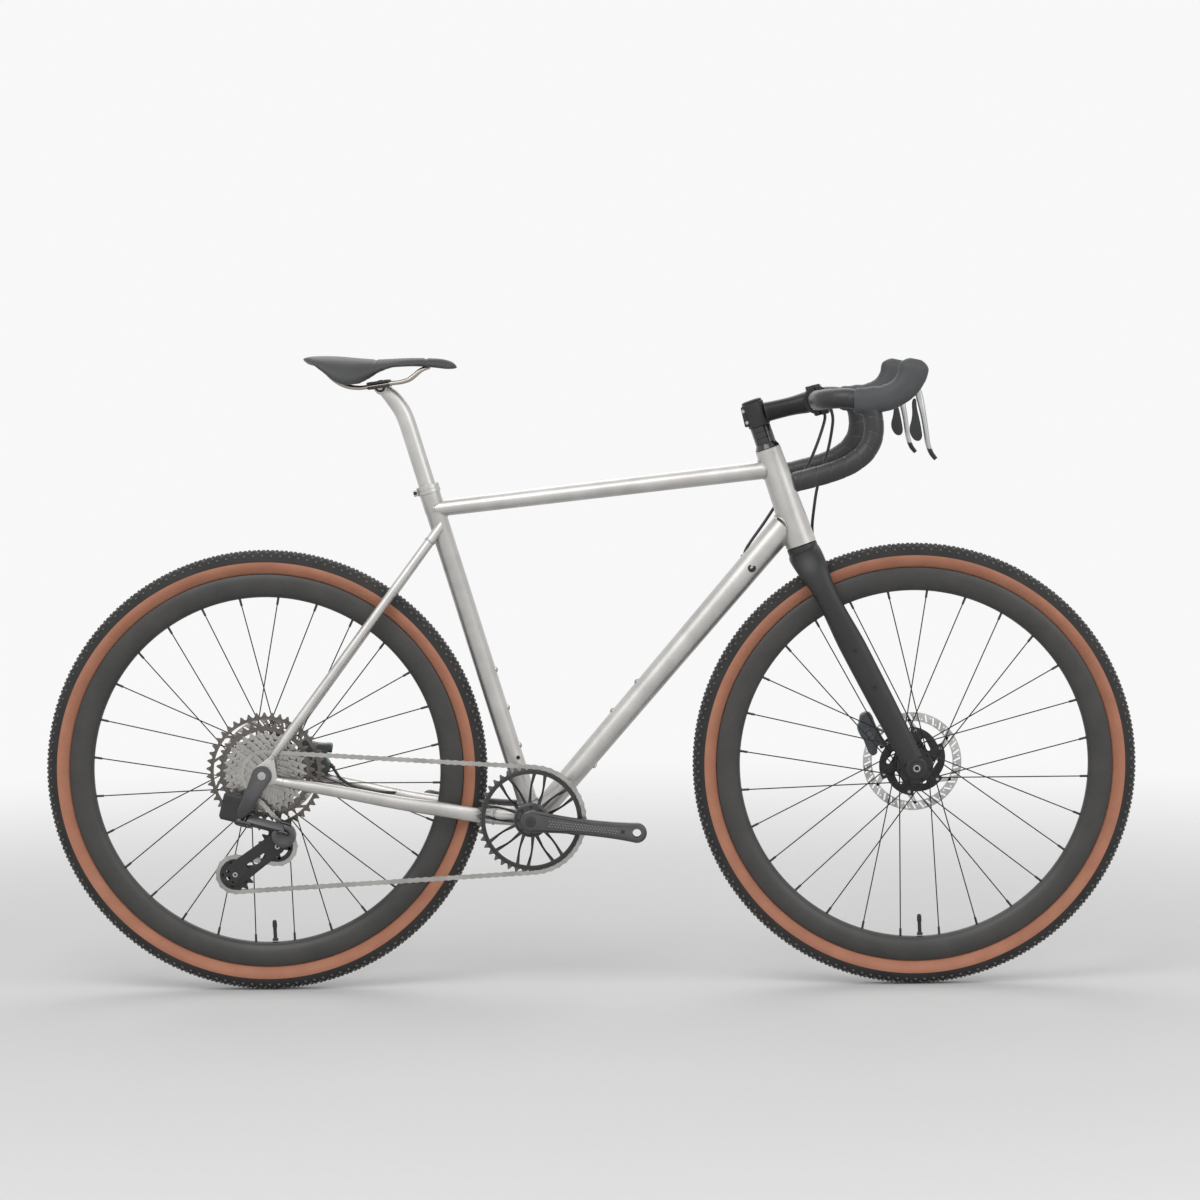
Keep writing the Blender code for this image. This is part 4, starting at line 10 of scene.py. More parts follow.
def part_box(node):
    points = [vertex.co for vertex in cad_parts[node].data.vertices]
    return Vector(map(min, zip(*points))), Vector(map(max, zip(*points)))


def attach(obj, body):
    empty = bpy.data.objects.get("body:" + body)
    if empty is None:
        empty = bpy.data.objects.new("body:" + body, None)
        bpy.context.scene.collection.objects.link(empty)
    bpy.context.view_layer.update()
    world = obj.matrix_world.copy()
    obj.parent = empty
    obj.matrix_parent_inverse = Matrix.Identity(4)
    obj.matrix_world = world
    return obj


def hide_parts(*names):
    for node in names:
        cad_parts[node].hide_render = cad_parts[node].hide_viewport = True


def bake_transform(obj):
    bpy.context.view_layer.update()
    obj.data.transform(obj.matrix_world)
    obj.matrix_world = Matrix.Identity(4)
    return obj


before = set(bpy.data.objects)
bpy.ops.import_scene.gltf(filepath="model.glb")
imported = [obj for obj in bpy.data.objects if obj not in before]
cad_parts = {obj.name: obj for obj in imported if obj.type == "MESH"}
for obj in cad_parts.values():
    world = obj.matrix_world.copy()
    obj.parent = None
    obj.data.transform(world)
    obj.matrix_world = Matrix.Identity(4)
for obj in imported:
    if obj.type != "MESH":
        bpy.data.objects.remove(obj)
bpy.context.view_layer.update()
print("frame loaded")

gap = 0.0003  # same clearance as in the CAD
tau = 2.0 * math.pi
leftWay = np.array([0.0, 1.0, 0.0])


# A row of numbers as an array.
def vec(*xyz):
    return np.array(xyz, float)


# Rows of the given length from values in millimetres, turned into metres.
def mm(length, *values):
    return np.array(values, float).reshape(-1, length) / 1000


def angles(count):  # even steps once round a circle
    return np.arange(count) / count * tau


def ringPoints(count):  # (cos, sin) at those steps
    return np.stack([np.cos(angles(count)), np.sin(angles(count))], 1)


def mix(a, b, t):  # a times one minus t, plus b times t
    return a + (b - a) * t


# Points (x, z) set at the height y across the bicycle.
def atLevel(flat, y):
    return np.stack([flat[:, 0], np.broadcast_to(y, len(flat)), flat[:, 1]], 1)


# Stack of 4 by 4 matrices whose columns are three directions and a place; the directions may be
# shared.
def poseStack(x, y, z, spots):
    pose = np.zeros((len(spots), 4, 4))
    for column, values in enumerate((x, y, z, spots)):
        pose[:, :3, column] = values
    pose[:, 3, 3] = 1
    return pose


# Points turned by the upper left of a 4 by 4 pose and moved by its last column.
def placed(patch, pose):
    verts, faces, tint = patch
    return verts @ pose[:3, :3].T + pose[:3, 3], faces, tint


# Object that carries a mesh or light, linked to the scene.
def addObject(name, data):
    piece = bpy.data.objects.new(name, data)
    bpy.context.scene.collection.objects.link(piece)
    return piece


# Puts a piece on the body it rides on and hides the CAD nodes it replaces.
def dress(piece, body, replaces=()):
    if body:
        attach(piece, body)
    if replaces:
        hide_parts(*replaces)
    return piece


# Each row divided by its length.
def unit(v):
    v = np.asarray(v, float)
    return v / np.linalg.norm(v, axis=-1, keepdims=True)


# Grid faces: corner (i, j) joins its neighbours along both parameters; the last column or row
# meets the first where that direction is closed.
def gridFaces(rows, columns, closeAlong):
    i = np.arange(rows if closeAlong else rows - 1)[:, None]
    j = np.arange(columns)[None, :]
    nextI, nextJ = (i + 1) % rows, (j + 1) % columns
    corners = [i * columns + j, i * columns + nextJ, nextI * columns + nextJ, nextI * columns + j]
    return np.stack([np.broadcast_to(c, (i.size, j.size)).ravel() for c in corners], 1)


# A surface from its grid of points, with each open end closed by a fan round the ring's middle.
def surface(points, capStart=False, capEnd=False, closeAlong=False, tint=0):
    rows, columns = points.shape[:2]
    verts = points.reshape(-1, 3)
    faces = [gridFaces(rows, columns, closeAlong)]
    ring = np.arange(columns)
    if capStart:
        middle = len(verts)
        verts = np.vstack([verts, points[0].mean(0)])
        faces.append(np.stack([np.full(columns, middle), (ring + 1) % columns, ring, ring], 1))
    if capEnd:
        middle = len(verts)
        verts = np.vstack([verts, points[-1].mean(0)])
        last = (rows - 1) * columns
        faces.append(np.stack([np.full(columns, middle), last + ring, last + (ring + 1) % columns,
            last + (ring + 1) % columns], 1))
    faces = np.vstack(faces)
    if closeAlong or (capStart and capEnd):
        faces = faceOut(verts, faces)
    return verts, faces, tint


# Corner order reversed, so that each face looks the other way.
def turnOver(faces):
    return np.where(faces[:, 3:] == faces[:, 2:3], faces[:, [0, 2, 1, 1]], faces[:, ::-1])


# A closed form with a negative volume has its faces turned over.
def faceOut(verts, faces):
    a, b, c, d = (verts[faces[:, k]] - verts[0] for k in range(4))
    return turnOver(faces) if np.sum(a * np.cross(b, c)) + np.sum(a * np.cross(c, d)) < 0 else faces


# Many copies of one patch: each is turned and moved by its own 4 by 4 matrix.
def repeated(patch, matrices):
    verts, faces, tint = patch
    matrices = np.asarray(matrices, float)
    moved = np.einsum("kab,nb->kna", matrices[:, :3, :3], verts) + matrices[:, None, :3, 3]
    shift = (np.arange(len(matrices)) * len(verts))[:, None, None]
    return moved.reshape(-1, 3), (faces[None] + shift).reshape(-1, 4), tint


# Y with the other sign, and the faces turned over to match.
def mirrorPatch(patch):
    verts, faces, tint = patch
    flipped = verts * vec(1, -1, 1)
    return flipped, turnOver(faces), tint


# One object from patches; triangles are held as quads whose last two corners are the same.
def makePiece(name, patches, looks, body, replaces=(), sharp=38.0):
    offsets = np.cumsum([0] + [len(p[0]) for p in patches])
    verts = np.vstack([p[0] for p in patches])
    faces = np.vstack([p[1] + o for p, o in zip(patches, offsets)])
    tints = np.concatenate([np.full(len(p[1]), p[2]) for p in patches])
    isTriangle = faces[:, 2] == faces[:, 3]
    order = np.concatenate([np.nonzero(~isTriangle)[0], np.nonzero(isTriangle)[0]])
    quads = int((~isTriangle).sum())
    counts = np.where(np.arange(len(order)) < quads, 4, 3)
    loops = np.concatenate([faces[order[:quads]].ravel(), faces[order[quads:]][:, :3].ravel()])
    mesh = bpy.data.meshes.new(name)
    mesh.vertices.add(len(verts))
    mesh.vertices.foreach_set("co", verts.astype(np.float32).ravel())
    mesh.loops.add(len(loops))
    mesh.loops.foreach_set("vertex_index", loops.astype(np.int32))
    mesh.polygons.add(len(counts))
    mesh.polygons.foreach_set("loop_start", np.concatenate([[0],
        np.cumsum(counts)[:-1]]).astype(np.int32))
    mesh.polygons.foreach_set("material_index", tints[order].astype(np.int32))
    mesh.polygons.foreach_set("use_smooth", np.ones(len(counts), bool))
    mesh.update(calc_edges=True)
    mesh.validate()
    mesh.set_sharp_from_angle(angle=math.radians(sharp))
    for look in looks:
        mesh.materials.append(finishes[look])
    return dress(addObject(name, mesh), body, replaces)


# Smooth path: cubic Hermite pieces through the stops, with chord-length spacing, read at even
# steps.
def smoothPath(stops, count):
    stops = np.asarray(stops, float)
    along = np.concatenate([[0], np.cumsum(np.linalg.norm(np.diff(stops[:, :3], axis=0), axis=1))])
    slope = np.gradient(stops, along, axis=0)
    t = np.linspace(0, along[-1], count)
    k = np.clip(np.searchsorted(along, t, side="right") - 1, 0, len(stops) - 2)
    width = (along[k + 1] - along[k])[:, None]
    s = (t[:, None] - along[k][:, None]) / width
    near = (2 * s**3 - 3 * s**2 + 1) * stops[k] + (s**3 - 2 * s**2 + s) * width * slope[k]
    return near + (-2 * s**3 + 3 * s**2) * stops[k + 1] + (s**3 - s**2) * width * slope[k + 1]


# Side and up directions at each point of a path, from one reference direction.
def pathFrames(path, reference):
    tangent = unit(np.gradient(path, axis=0))
    side = unit(np.cross(np.broadcast_to(reference, path.shape), tangent))
    return side, np.cross(tangent, side)


# Superellipse: cos and sin raised to a power below one give a rounder or squarer section.
def sectionRing(sides, square=1.0):
    c, s = ringPoints(sides).T
    return np.sign(c) * np.abs(c) ** square, np.sign(s) * np.abs(s) ** square


# Tube: point = path + side * halfWidth * cos + up * halfHeight * sin, with both halves given along
# the path.
def tube(path, halfWidth, halfHeight, sides=32, reference=(0, 0, 1), square=1.0):
    path = np.asarray(path, float)
    side, up = pathFrames(path, np.asarray(reference, float))
    c, s = sectionRing(sides, square)
    wide = np.broadcast_to(halfWidth, len(path))[:, None, None]
    high = np.broadcast_to(halfHeight, len(path))[:, None, None]
    return surface(path[:, None] + side[:, None] * wide * c[None, :, None] + up[:, None] * high
        * s[None, :, None], True, True)


# Turned form: each profile pair (along, radius) goes once round the axis that runs through the
# centre.
def turned(profile, centre, axis=leftWay, steps=48, closed=True, tint=0, caps=False):
    axis = unit(vec(*axis))
    reference = vec(1, 0, 0) if abs(axis[0]) < 0.9 else vec(0, 0, 1)
    first = unit(np.cross(reference, axis))
    profile = np.asarray(profile, float)
    outward = ringPoints(steps) @ np.stack([first, np.cross(axis, first)])
    points = np.asarray(centre,
        float) + axis * profile[:, None, :1] + outward * profile[:, None, 1:2]
    return surface(points, caps, caps, closeAlong=closed, tint=tint)


# Rounded block: a short superellipse tube whose ends draw in over the chamfer's length.
def block(centre, along, across, half, chamfer, tint=0):
    along, across = unit(vec(*along)), unit(vec(*across))
    up = np.cross(along, across)
    length, wide, high = half
    stops = np.array([-length, -length + chamfer, length - chamfer, length])
    draw = np.array([1.0, 0.0, 0.0, 1.0]) * chamfer
    c, s = sectionRing(sides=28, square=0.28)
    points = (vec(*centre) + along * stops[:, None, None] + across
        * ((wide - draw)[:, None, None] * c[None, :, None]) + up
        * ((high - draw)[:, None, None] * s[None, :, None]))
    return surface(points, True, True, tint=tint)


# Round bar between two points, with chamfered rims.
def bar(start, end, radius, sides=20, chamfer=0.0006, tint=0):
    start, end = vec(*start), vec(*end)
    length = np.linalg.norm(end - start)
    chamfer = min(chamfer, radius * 0.5, length * 0.4)
    profile = [(0, radius - chamfer), (chamfer, radius), (length - chamfer, radius),
        (length, radius - chamfer)]
    return turned(profile, start, end - start, sides, closed=False, caps=True, tint=tint)


# Twice the area inside an outline, positive when it runs from +X toward +Z.
def turnedArea(flat):
    ahead = np.roll(flat, -1, 0)
    return np.sum(flat[:, 0] * ahead[:, 1] - ahead[:, 0] * flat[:, 1])


# Plate: an outline of (x, z) points filled between two y planes, its edge drawn in by the chamfer.
def plate(outline, low, high, chamfer=0.0005, tint=0):
    outline = np.asarray(outline, float)
    ahead, behind = np.roll(outline, -1, 0), np.roll(outline, 1, 0)
    normal = unit(ahead - behind)[:, [1, 0]] * vec(1, -1)
    area = turnedArea(outline)
    if area < 0:
        normal = -normal
    inner = outline - normal * chamfer
    rings = [(inner, low), (outline, low + chamfer), (outline, high - chamfer), (inner, high)]
    points = np.stack([atLevel(flat, y) for flat, y in rings])
    if area > 0:
        points = points[:, ::-1]
    return surface(points, True, True, tint=tint)


# Rounded plate: an outline of (x, z) points filled between two y planes, its edges turned over a
# quarter circle. With a hole, each side runs from the outline in to the hole's circle instead of to
# a middle point.
def roundedPlate(outline, low, high, edge, hole=None, steps=4):
    outline = np.asarray(outline, float)
    ahead, behind = np.roll(outline, -1, 0), np.roll(outline, 1, 0)
    if turnedArea(outline) > 0:
        outline, ahead, behind = outline[::-1], behind[::-1], ahead[::-1]
    normal = -unit(ahead - behind)[:, [1, 0]] * vec(1, -1)
    a = np.linspace(0, math.pi / 2, steps)
    inset = np.concatenate([edge * (1 - np.sin(a)), edge * (1 - np.sin(a[::-1]))])
    level = np.concatenate([low + edge * (1 - np.cos(a)), high - edge * (1 - np.cos(a[::-1]))])
    flat = outline[None] - normal[None] * inset[:, None, None]
    points = np.stack([flat[..., 0], np.broadcast_to(level[:, None], flat.shape[:2]), flat[..., 1]],
        2)
    if hole is None:
        return surface(points, True, True)
    x, z, r = hole
    angle = np.arctan2(outline[:, 1] - z, outline[:, 0] - x)
    rim = np.stack([x + r * np.cos(angle), np.zeros_like(angle), z + r * np.sin(angle)], 1)
    first, last = rim + vec(0, low, 0), rim + vec(0, high, 0)
    return surface(np.concatenate([first[None], points, last[None]]), closeAlong=True)


# Centre plus radius times (cosine, sine) at even steps.
def circleOutline(x, z, r, steps=48):
    return vec(x, z) + ringPoints(steps) * r


# Outline round several circles (x, z, radius): the hull of their points, sorted by angle.
def hullOutline(circles, steps):
    points = np.vstack([circleOutline(*circle, steps) for circle in circles])
    points = points[np.lexsort((points[:, 1], points[:, 0]))]

    def half(points):
        kept = []
        for p in points:
            while len(kept) > 1 and np.cross(kept[-1] - kept[-2], p - kept[-2]) <= 0:
                kept.pop()
            kept.append(p)
        return kept[:-1]
    return np.array(half(points) + half(points[::-1]))


# Turns about the line across the bicycle through the origin, one matrix for each angle.
def spin(turns):
    return np.array([np.array(Matrix.Rotation(turn, 4, "Y")) for turn in turns])


# Keeps what a piece's modifiers make as its mesh.
def bakeModifiers(piece):
    bpy.context.view_layer.update()
    graph = bpy.context.evaluated_depsgraph_get()
    result = bpy.data.meshes.new_from_object(piece.evaluated_get(graph))
    piece.modifiers.clear()
    piece.data = result


# Takes a cutting shape out of a finished piece and keeps the result as its mesh.
def cutOut(piece, patches):
    cutter = makePiece(piece.name + "Cutter", patches, [], None)
    step = piece.modifiers.new("cut", "BOOLEAN")
    step.object = cutter
    step.solver = "EXACT"
    bakeModifiers(piece)
    bpy.data.objects.remove(cutter)
    piece.data.set_sharp_from_angle(angle=math.radians(40))


# Finishes. Each row holds: base and second colour, metal, roughness and its spread, grain (repeats
# per metre, or one number for x, y and z alike), bump height in micrometres, edge wear, and coat.
finishLooks = dict(titanium=((0.605, 0.593, 0.577), (0.475, 0.462, 0.445), 0.92, 0.4, 0.12,
    (260, 2600, 2600), 40, 0.1), titaniumBead=((0.48, 0.466, 0.448), (0.36, 0.345, 0.326), 0.95,
    0.36, 0.2, 900, 100, 0.15), carbon=((0.012, 0.0122, 0.0128), (0.0195, 0.02, 0.021), 0.0, 0.46,
    0.1, 700, 30, 0.0), carbonGloss=((0.005, 0.005, 0.006), (0.009, 0.009, 0.01), 0.0, 0.16, 0.06,
    500, 10, 0.0, 0.6), anodised=((0.015, 0.0152, 0.016), (0.024, 0.0245, 0.026), 0.55, 0.42, 0.12,
    900, 20, 0.06), satinBlack=((0.013, 0.0132, 0.0138), (0.021, 0.0215, 0.0225), 0.2, 0.38, 0.1,
    1300, 20, 0.05), rimCarbon=((0.034, 0.033, 0.032), (0.05, 0.048, 0.046), 0.0, 0.42, 0.1, 240,
    20, 0.0), tread=((0.0155, 0.015, 0.015), (0.03, 0.028, 0.0265), 0.0, 0.8, 0.15, 420, 120, 0.12),
    knob=((0.018, 0.0175, 0.0175), (0.036, 0.034, 0.032), 0.0, 0.74, 0.16, 600, 100, 0.2),
    leverGrey=((0.494, 0.498, 0.498), (0.38, 0.384, 0.388), 0.85, 0.38, 0.12, (1200, 1200, 200), 20,
    0.1), steel=((0.52, 0.51, 0.5), (0.4, 0.39, 0.38), 1.0, 0.3, 0.16, (1400, 300, 1400), 20, 0.1),
    rotorSteel=((0.56, 0.55, 0.54), (0.42, 0.41, 0.4), 1.0, 0.32, 0.16, 900, 30, 0.1),
    chainSteel=((0.5, 0.49, 0.47), (0.33, 0.32, 0.3), 1.0, 0.28, 0.2, 1600, 20, 0.15),
    cogSteel=((0.47, 0.46, 0.44), (0.3, 0.29, 0.27), 1.0, 0.32, 0.16, 1200, 20, 0.14),
    cogDark=((0.079, 0.066, 0.055), (0.124, 0.105, 0.088), 0.9, 0.34, 0.14, 1200, 20, 0.2),
    ringBlack=((0.015, 0.015, 0.016), (0.028, 0.028, 0.029), 0.7, 0.36, 0.12, 1500, 20, 0.3),
    caliperGrey=((0.052, 0.06, 0.066), (0.07, 0.078, 0.084), 0.3, 0.42, 0.12, 700, 60, 0.08),
    crankGrey=((0.062, 0.062, 0.064), (0.09, 0.09, 0.092), 0.8, 0.34, 0.1, (300, 1500, 1500), 20,
    0.16), dotLight=((0.42, 0.42, 0.41), (0.34, 0.34, 0.33), 0.6, 0.42, 0.1, 2500, 10, 0.0),
    railMetal=((0.46, 0.42, 0.37), (0.34, 0.31, 0.27), 1.0, 0.3, 0.14, (220, 1800, 1800), 20, 0.08),
    spokeBlack=((0.02, 0.02, 0.021), (0.04, 0.04, 0.042), 0.8, 0.32, 0.1, 900, 10, 0.0),
    hoseBlack=((0.014, 0.0142, 0.015), (0.023, 0.0235, 0.0245), 0.0, 0.34, 0.1, 1800, 20, 0.0),
    derailleurGrey=((0.071, 0.072, 0.074), (0.099, 0.1, 0.104), 0.75, 0.36, 0.12, 1200, 30, 0.16),
    plasticBlack=((0.016, 0.0162, 0.017), (0.026, 0.0265, 0.0275), 0.0, 0.44, 0.1, 2200, 30, 0.0),
    tanSidewall=((0.43, 0.185, 0.11), (0.345, 0.14, 0.082), 0.0, 0.66, 0.12, 500, 40, 0.0),
    barTapeFinish=((0.018, 0.018, 0.0185), (0.03, 0.03, 0.031), 0.0, 0.42, 0.16, 900, 220, 0.1),
    hoodFinish=((0.046, 0.05, 0.054), (0.06, 0.064, 0.068), 0.0, 0.6, 0.14, 1500, 100, 0.03),
    saddleCover=((0.036, 0.037, 0.037), (0.05, 0.051, 0.051), 0.0, 0.52, 0.16, 1300, 140, 0.05),)


# Adds a shader node with its settings; each input takes a value, or a link from another socket.
def addNode(tree, kind, inputs, **settings):
    node = tree.nodes.new("ShaderNode" + kind)
    for name, value in settings.items():
        setattr(node, name, value)
    return feed(tree, node, inputs)


# Each input takes a link from a socket, or a plain value.
def feed(tree, node, inputs):
    for name, value in inputs.items():
        if isinstance(value, bpy.types.NodeSocket):
            tree.links.new(value, node.inputs[name])
        else:
            node.inputs[name].default_value = value
    return node


# Mixed colour: first colour times one minus the share, plus second colour times the share.
def mixColour(tree, share, first, second):
    inputs = {"Factor": share, "A": first, "B": second}
    return addNode(tree, "Mix", inputs, data_type="RGBA").outputs["Result"]


# Value mapped in a straight line from one range to another and held at its ends.
def mapRange(tree, value, inputs, **settings):
    return addNode(tree, "MapRange", {"Value": value, **inputs}, **settings).outputs["Result"]


# Empty node material.
def newMaterial(name):
    finish = bpy.data.materials.new(name)
    finish.use_nodes = True
    return finish, finish.node_tree, finish.node_tree.nodes["Principled BSDF"]


# Finish: two mottled colours, lighter where the form's edges stick out, with uneven sheen and
# relief.
def makeFinish(name, base, second, metal, rough, spread, grain, bump, wear, coat=0.0):
    broadScale, fineShare, wornColour = 26.0, 0.45, (0.45, 0.44, 0.43, 1)
    finish, tree, shader = newMaterial(name)
    place = addNode(tree, "TexCoord", {}).outputs["Object"]
    scale = grain if isinstance(grain, tuple) else (grain,) * 3
    stretched = addNode(tree, "Mapping", {"Vector": place, "Scale": scale}).outputs["Vector"]
    fine = addNode(tree, "TexNoise", {"Vector": stretched, "Scale": 1.0,
        "Detail": 3.0}).outputs["Fac"]
    broad = addNode(tree, "TexNoise", {"Vector": place, "Scale": broadScale,
        "Detail": 2.0}).outputs["Fac"]
    mottle = addNode(tree, "Math", {0: fine, 1: fineShare, 2: broad},
        operation="MULTIPLY_ADD").outputs[0]
    share = mapRange(tree, mottle, {"From Min": 0.45, "From Max": 1.0})
    colour = mixColour(tree, share, (*base, 1), (*second, 1))
    if wear:
        edge = addNode(tree, "NewGeometry", {}).outputs["Pointiness"]
        worn = mapRange(tree, edge, {"From Min": 0.515, "From Max": 0.6, "To Max": wear})
        colour = mixColour(tree, worn, colour, wornColour)
    sheen = mapRange(tree, fine, {"To Min": rough - spread * 0.5, "To Max": rough + spread * 0.5})
    relief = addNode(tree, "Bump", {"Height": fine, "Strength": 0.6, "Distance": bump * 1e-6})
    feed(tree, shader, {"Base Color": colour, "Metallic": metal, "Roughness": sheen,
        "Coat Weight": coat, "Coat Roughness": 0.12, "Normal": relief.outputs["Normal"]})
    return finish


finishes = {name: makeFinish(name, *look) for name, look in finishLooks.items()}
print("finishes made:", len(finishes))


# Camera at the photograph's place. The picture's frame is 1200 by 1200.
camera = dict(focalPixels=3530.0, sensor=36.0, distance=5.69, wheelMiddle=(0.094, 0.0, 0.079),
    pictureSide=1200.0, middlePixel=(590.0, 766.75), crossAxis=(0.016, -0.067, 1.0), roll=-0.01197,
    reach=100.0)


# Camera place: the wheels' middle less the turned ray through its pixel, at the camera's distance.
def placeCamera(c):
    across = unit(c["crossAxis"])
    right = vec(1.0, c["roll"], 0.0)
    right = unit(right - across * (right @ across))
    turn = np.stack([right, across, np.cross(right, across)], 1)
    u, v = (vec(*c["middlePixel"]) - c["pictureSide"] / 2) / c["focalPixels"]
    spot = vec(*c["wheelMiddle"]) - turn.T @ (vec(u, v, 1.0) * c["distance"])
    data = bpy.data.cameras.new("camera")
    data.sensor_width = c["sensor"]
    data.lens = c["focalPixels"] * c["sensor"] / c["pictureSide"]
    data.clip_end = c["reach"]
    holder = addObject("camera", data)
    holder.matrix_world = Matrix(poseStack(turn[0], -turn[1], -turn[2], [spot])[0].tolist())
    bpy.context.scene.camera = holder


# Lamps: place, aim, size, power.
studio = dict(floorTop=-0.277, worldLight=0.62, floorShade=0.62, seenWhite=0.94,
    floorRings=(0.6, 1.2, 2.4, 5.0, 9.0), lamps=(((-1.2, -2.6, 3.2), (0.05, 0.0, 0.25), 2.6, 62.0),
    ((2.6, -2.4, 2.2), (0.15, 0.0, 0.25), 2.2, 30.0),
    ((0.2, 2.6, 2.8), (0.1, 0.0, 0.2), 2.6, 34.0)))


# Studio: even light from all round, a plain white seen by the camera and in reflections, three
# lamps, and a flat disc for a floor.
def makeStudio(s):
    world = bpy.data.worlds.new("studio")
    bpy.context.scene.world = world
    world.use_nodes = True
    tree = world.node_tree
    light = feed(tree, tree.nodes["Background"], {"Color": (1.0, 1.0, 1.0, 1),
        "Strength": s["worldLight"]})
    seen = addNode(tree, "Background", {"Color": (s["seenWhite"],) * 3 + (1,), "Strength": 1.0})
    rays = addNode(tree, "LightPath", {}).outputs
    seenRay = rays["Is Camera Ray"]
    for kind in ("Is Transmission Ray", "Is Glossy Ray"):
        seenRay = addNode(tree, "Math", {0: seenRay, 1: rays[kind]}, operation="MAXIMUM").outputs[0]
    pick = addNode(tree, "MixShader", {0: seenRay, 1: light.outputs[0], 2: seen.outputs[0]})
    feed(tree, tree.nodes["World Output"], {"Surface": pick.outputs[0]})
    for index, (place, aim, size, power) in enumerate(s["lamps"]):
        lamp = bpy.data.lights.new("lamp%d" % index, "AREA")
        lamp.size, lamp.energy = size, power
        holder = addObject("lamp%d" % index, lamp)
        holder.location = place
        holder.rotation_euler = (Vector(aim) - Vector(place)).to_track_quat("-Z", "Y").to_euler()
    flat = ringPoints(48) * vec(*s["floorRings"])[:, None, None]
    points = np.dstack([flat, np.full(flat.shape[:2], s["floorTop"])])
    floor = makePiece("floor", [surface(points, capStart=True)], [], None)
    floor.data.materials.append(floorFinish(s["floorShade"]))
    if floor.data.polygons[0].normal.z < 0:
        floor.data.flip_normals()


# Floor: pale and finely grained; it fades to clear far from the bicycle.
def floorFinish(shade):
    finish, tree, shader = newMaterial("paleFloor")
    place = addNode(tree, "TexCoord", {}).outputs["Object"]
    grain = addNode(tree, "TexNoise", {"Vector": place, "Scale": 60.0}).outputs["Fac"]
    colour = mixColour(tree, grain, (shade,) * 3 + (1,), (shade + 0.02,) * 3 + (1,))
    feed(tree, shader, {"Base Color": colour, "Roughness": 0.85})
    far = addNode(tree, "VectorMath", {0: place}, operation="LENGTH").outputs["Value"]
    fade = mapRange(tree, far, {"From Min": 1.1, "From Max": 3.4}, interpolation_type="SMOOTHSTEP")
    clear = addNode(tree, "BsdfTransparent", {})
    away = addNode(tree, "MixShader", {0: fade, 1: shader.outputs[0], 2: clear.outputs[0]})
    feed(tree, tree.nodes["Material Output"], {"Surface": away.outputs[0]})
    return finish


placeCamera(camera)
makeStudio(studio)
bpy.context.scene.view_settings.view_transform = "Standard"
print("camera, lamps and floor placed")


# Hydraulic hoses. Stops repeat the routes of the CAD; both ends of each go back into the bicycle.
hoses = dict(radius=0.0025, front=mm(3, 479.5, -42.9, 662, 483, -37, 656, 486.5, -31, 644, 488, -25,
    630, 483, -10, 595, 475, 0, 563, 464, 6, 526, 458.5, 15, 490, 456, 28, 460, 458, 40, 433),
    rearFront=mm(3, 479, 42.9, 662, 479, 37, 655, 477.8, 32.5, 644, 477, 28, 630, 463, 20, 590, 446,
    24, 554.7, 416, 30, 522.8, 380, 28, 470, 358, 23.5, 440), port=(0.347, 0.012, 0.4167),
    portWay=(0.1, 0.42, 0.9), stayPort=(-0.2235, 0.046, 0.0348), stayPortWay=(0.72, 0.69, -0.08),
    rear=mm(3, -244.7, 39, 36.5, -268.2, 43, 39, -291.5, 47, 45, -312, 50.5, 57, -321, 54, 68, -327,
    57, 77))


# Catmull-Rom line through the stops, as in the CAD: each span is a cubic of its four neighbours.
def hoseLine(stops):
    perSpan = 5
    stops = np.asarray(stops, float)
    ends = np.vstack([2 * stops[0] - stops[1], stops, 2 * stops[-1] - stops[-2]])
    s = (np.arange(perSpan) / perSpan)[None, :, None]
    a, b, c, d = (ends[i:len(stops) - 1 + i][:, None] for i in range(4))
    line = 0.5 * (2 * b + (c - a) * s + (2 * a - 5 * b + 4 * c - d) * s**2 + (3 * b - a - 3 * c + d)
        * s**3)
    return np.vstack([line.reshape(-1, 3), stops[-1]])


# Line read at even steps of its length, and that length.
def evenLine(line, count):
    along = np.concatenate([[0], np.cumsum(np.linalg.norm(np.diff(line, axis=0), axis=1))])
    t = np.linspace(0, along[-1], count)
    return np.stack([np.interp(t, along, line[:, k]) for k in range(3)], 1), along[-1]


# Hides the CAD hose that a new hose replaces and gives back the new hose's length.
def declareHose(piece, node, points, length, **more):
    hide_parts(node)
    return length


# A hose that stays on one body is a curve with a round bevel.
def hoseCurve(name, line, node, body):
    points, length = evenLine(line, 36)
    data = bpy.data.curves.new(name, "CURVE")
    data.dimensions = "3D"
    spline = data.splines.new("POLY")
    spline.points.add(len(points) - 1)
    spline.points.foreach_set("co", np.hstack([points, np.ones((len(points), 1))]).ravel())
    data.bevel_depth = hoses["radius"]
    data.bevel_resolution = 4
    data.use_fill_caps = True
    data.materials.append(finishes["hoseBlack"])
    spline.use_smooth = True
    return declareHose(dress(addObject(name, data), body), node, points, length)


# The hose from the lever to the frame is a tube.
def hoseTube(name, line, node):
    points, length = evenLine(line, 40)
    fine, _ = evenLine(line, 120)
    piece = makePiece(name, [tube(fine, hoses["radius"], hoses["radius"], 20,
        reference=(1, 0.2, 0))], ["hoseBlack"], None)
    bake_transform(piece)
    return declareHose(piece, node, points, length, path=points)


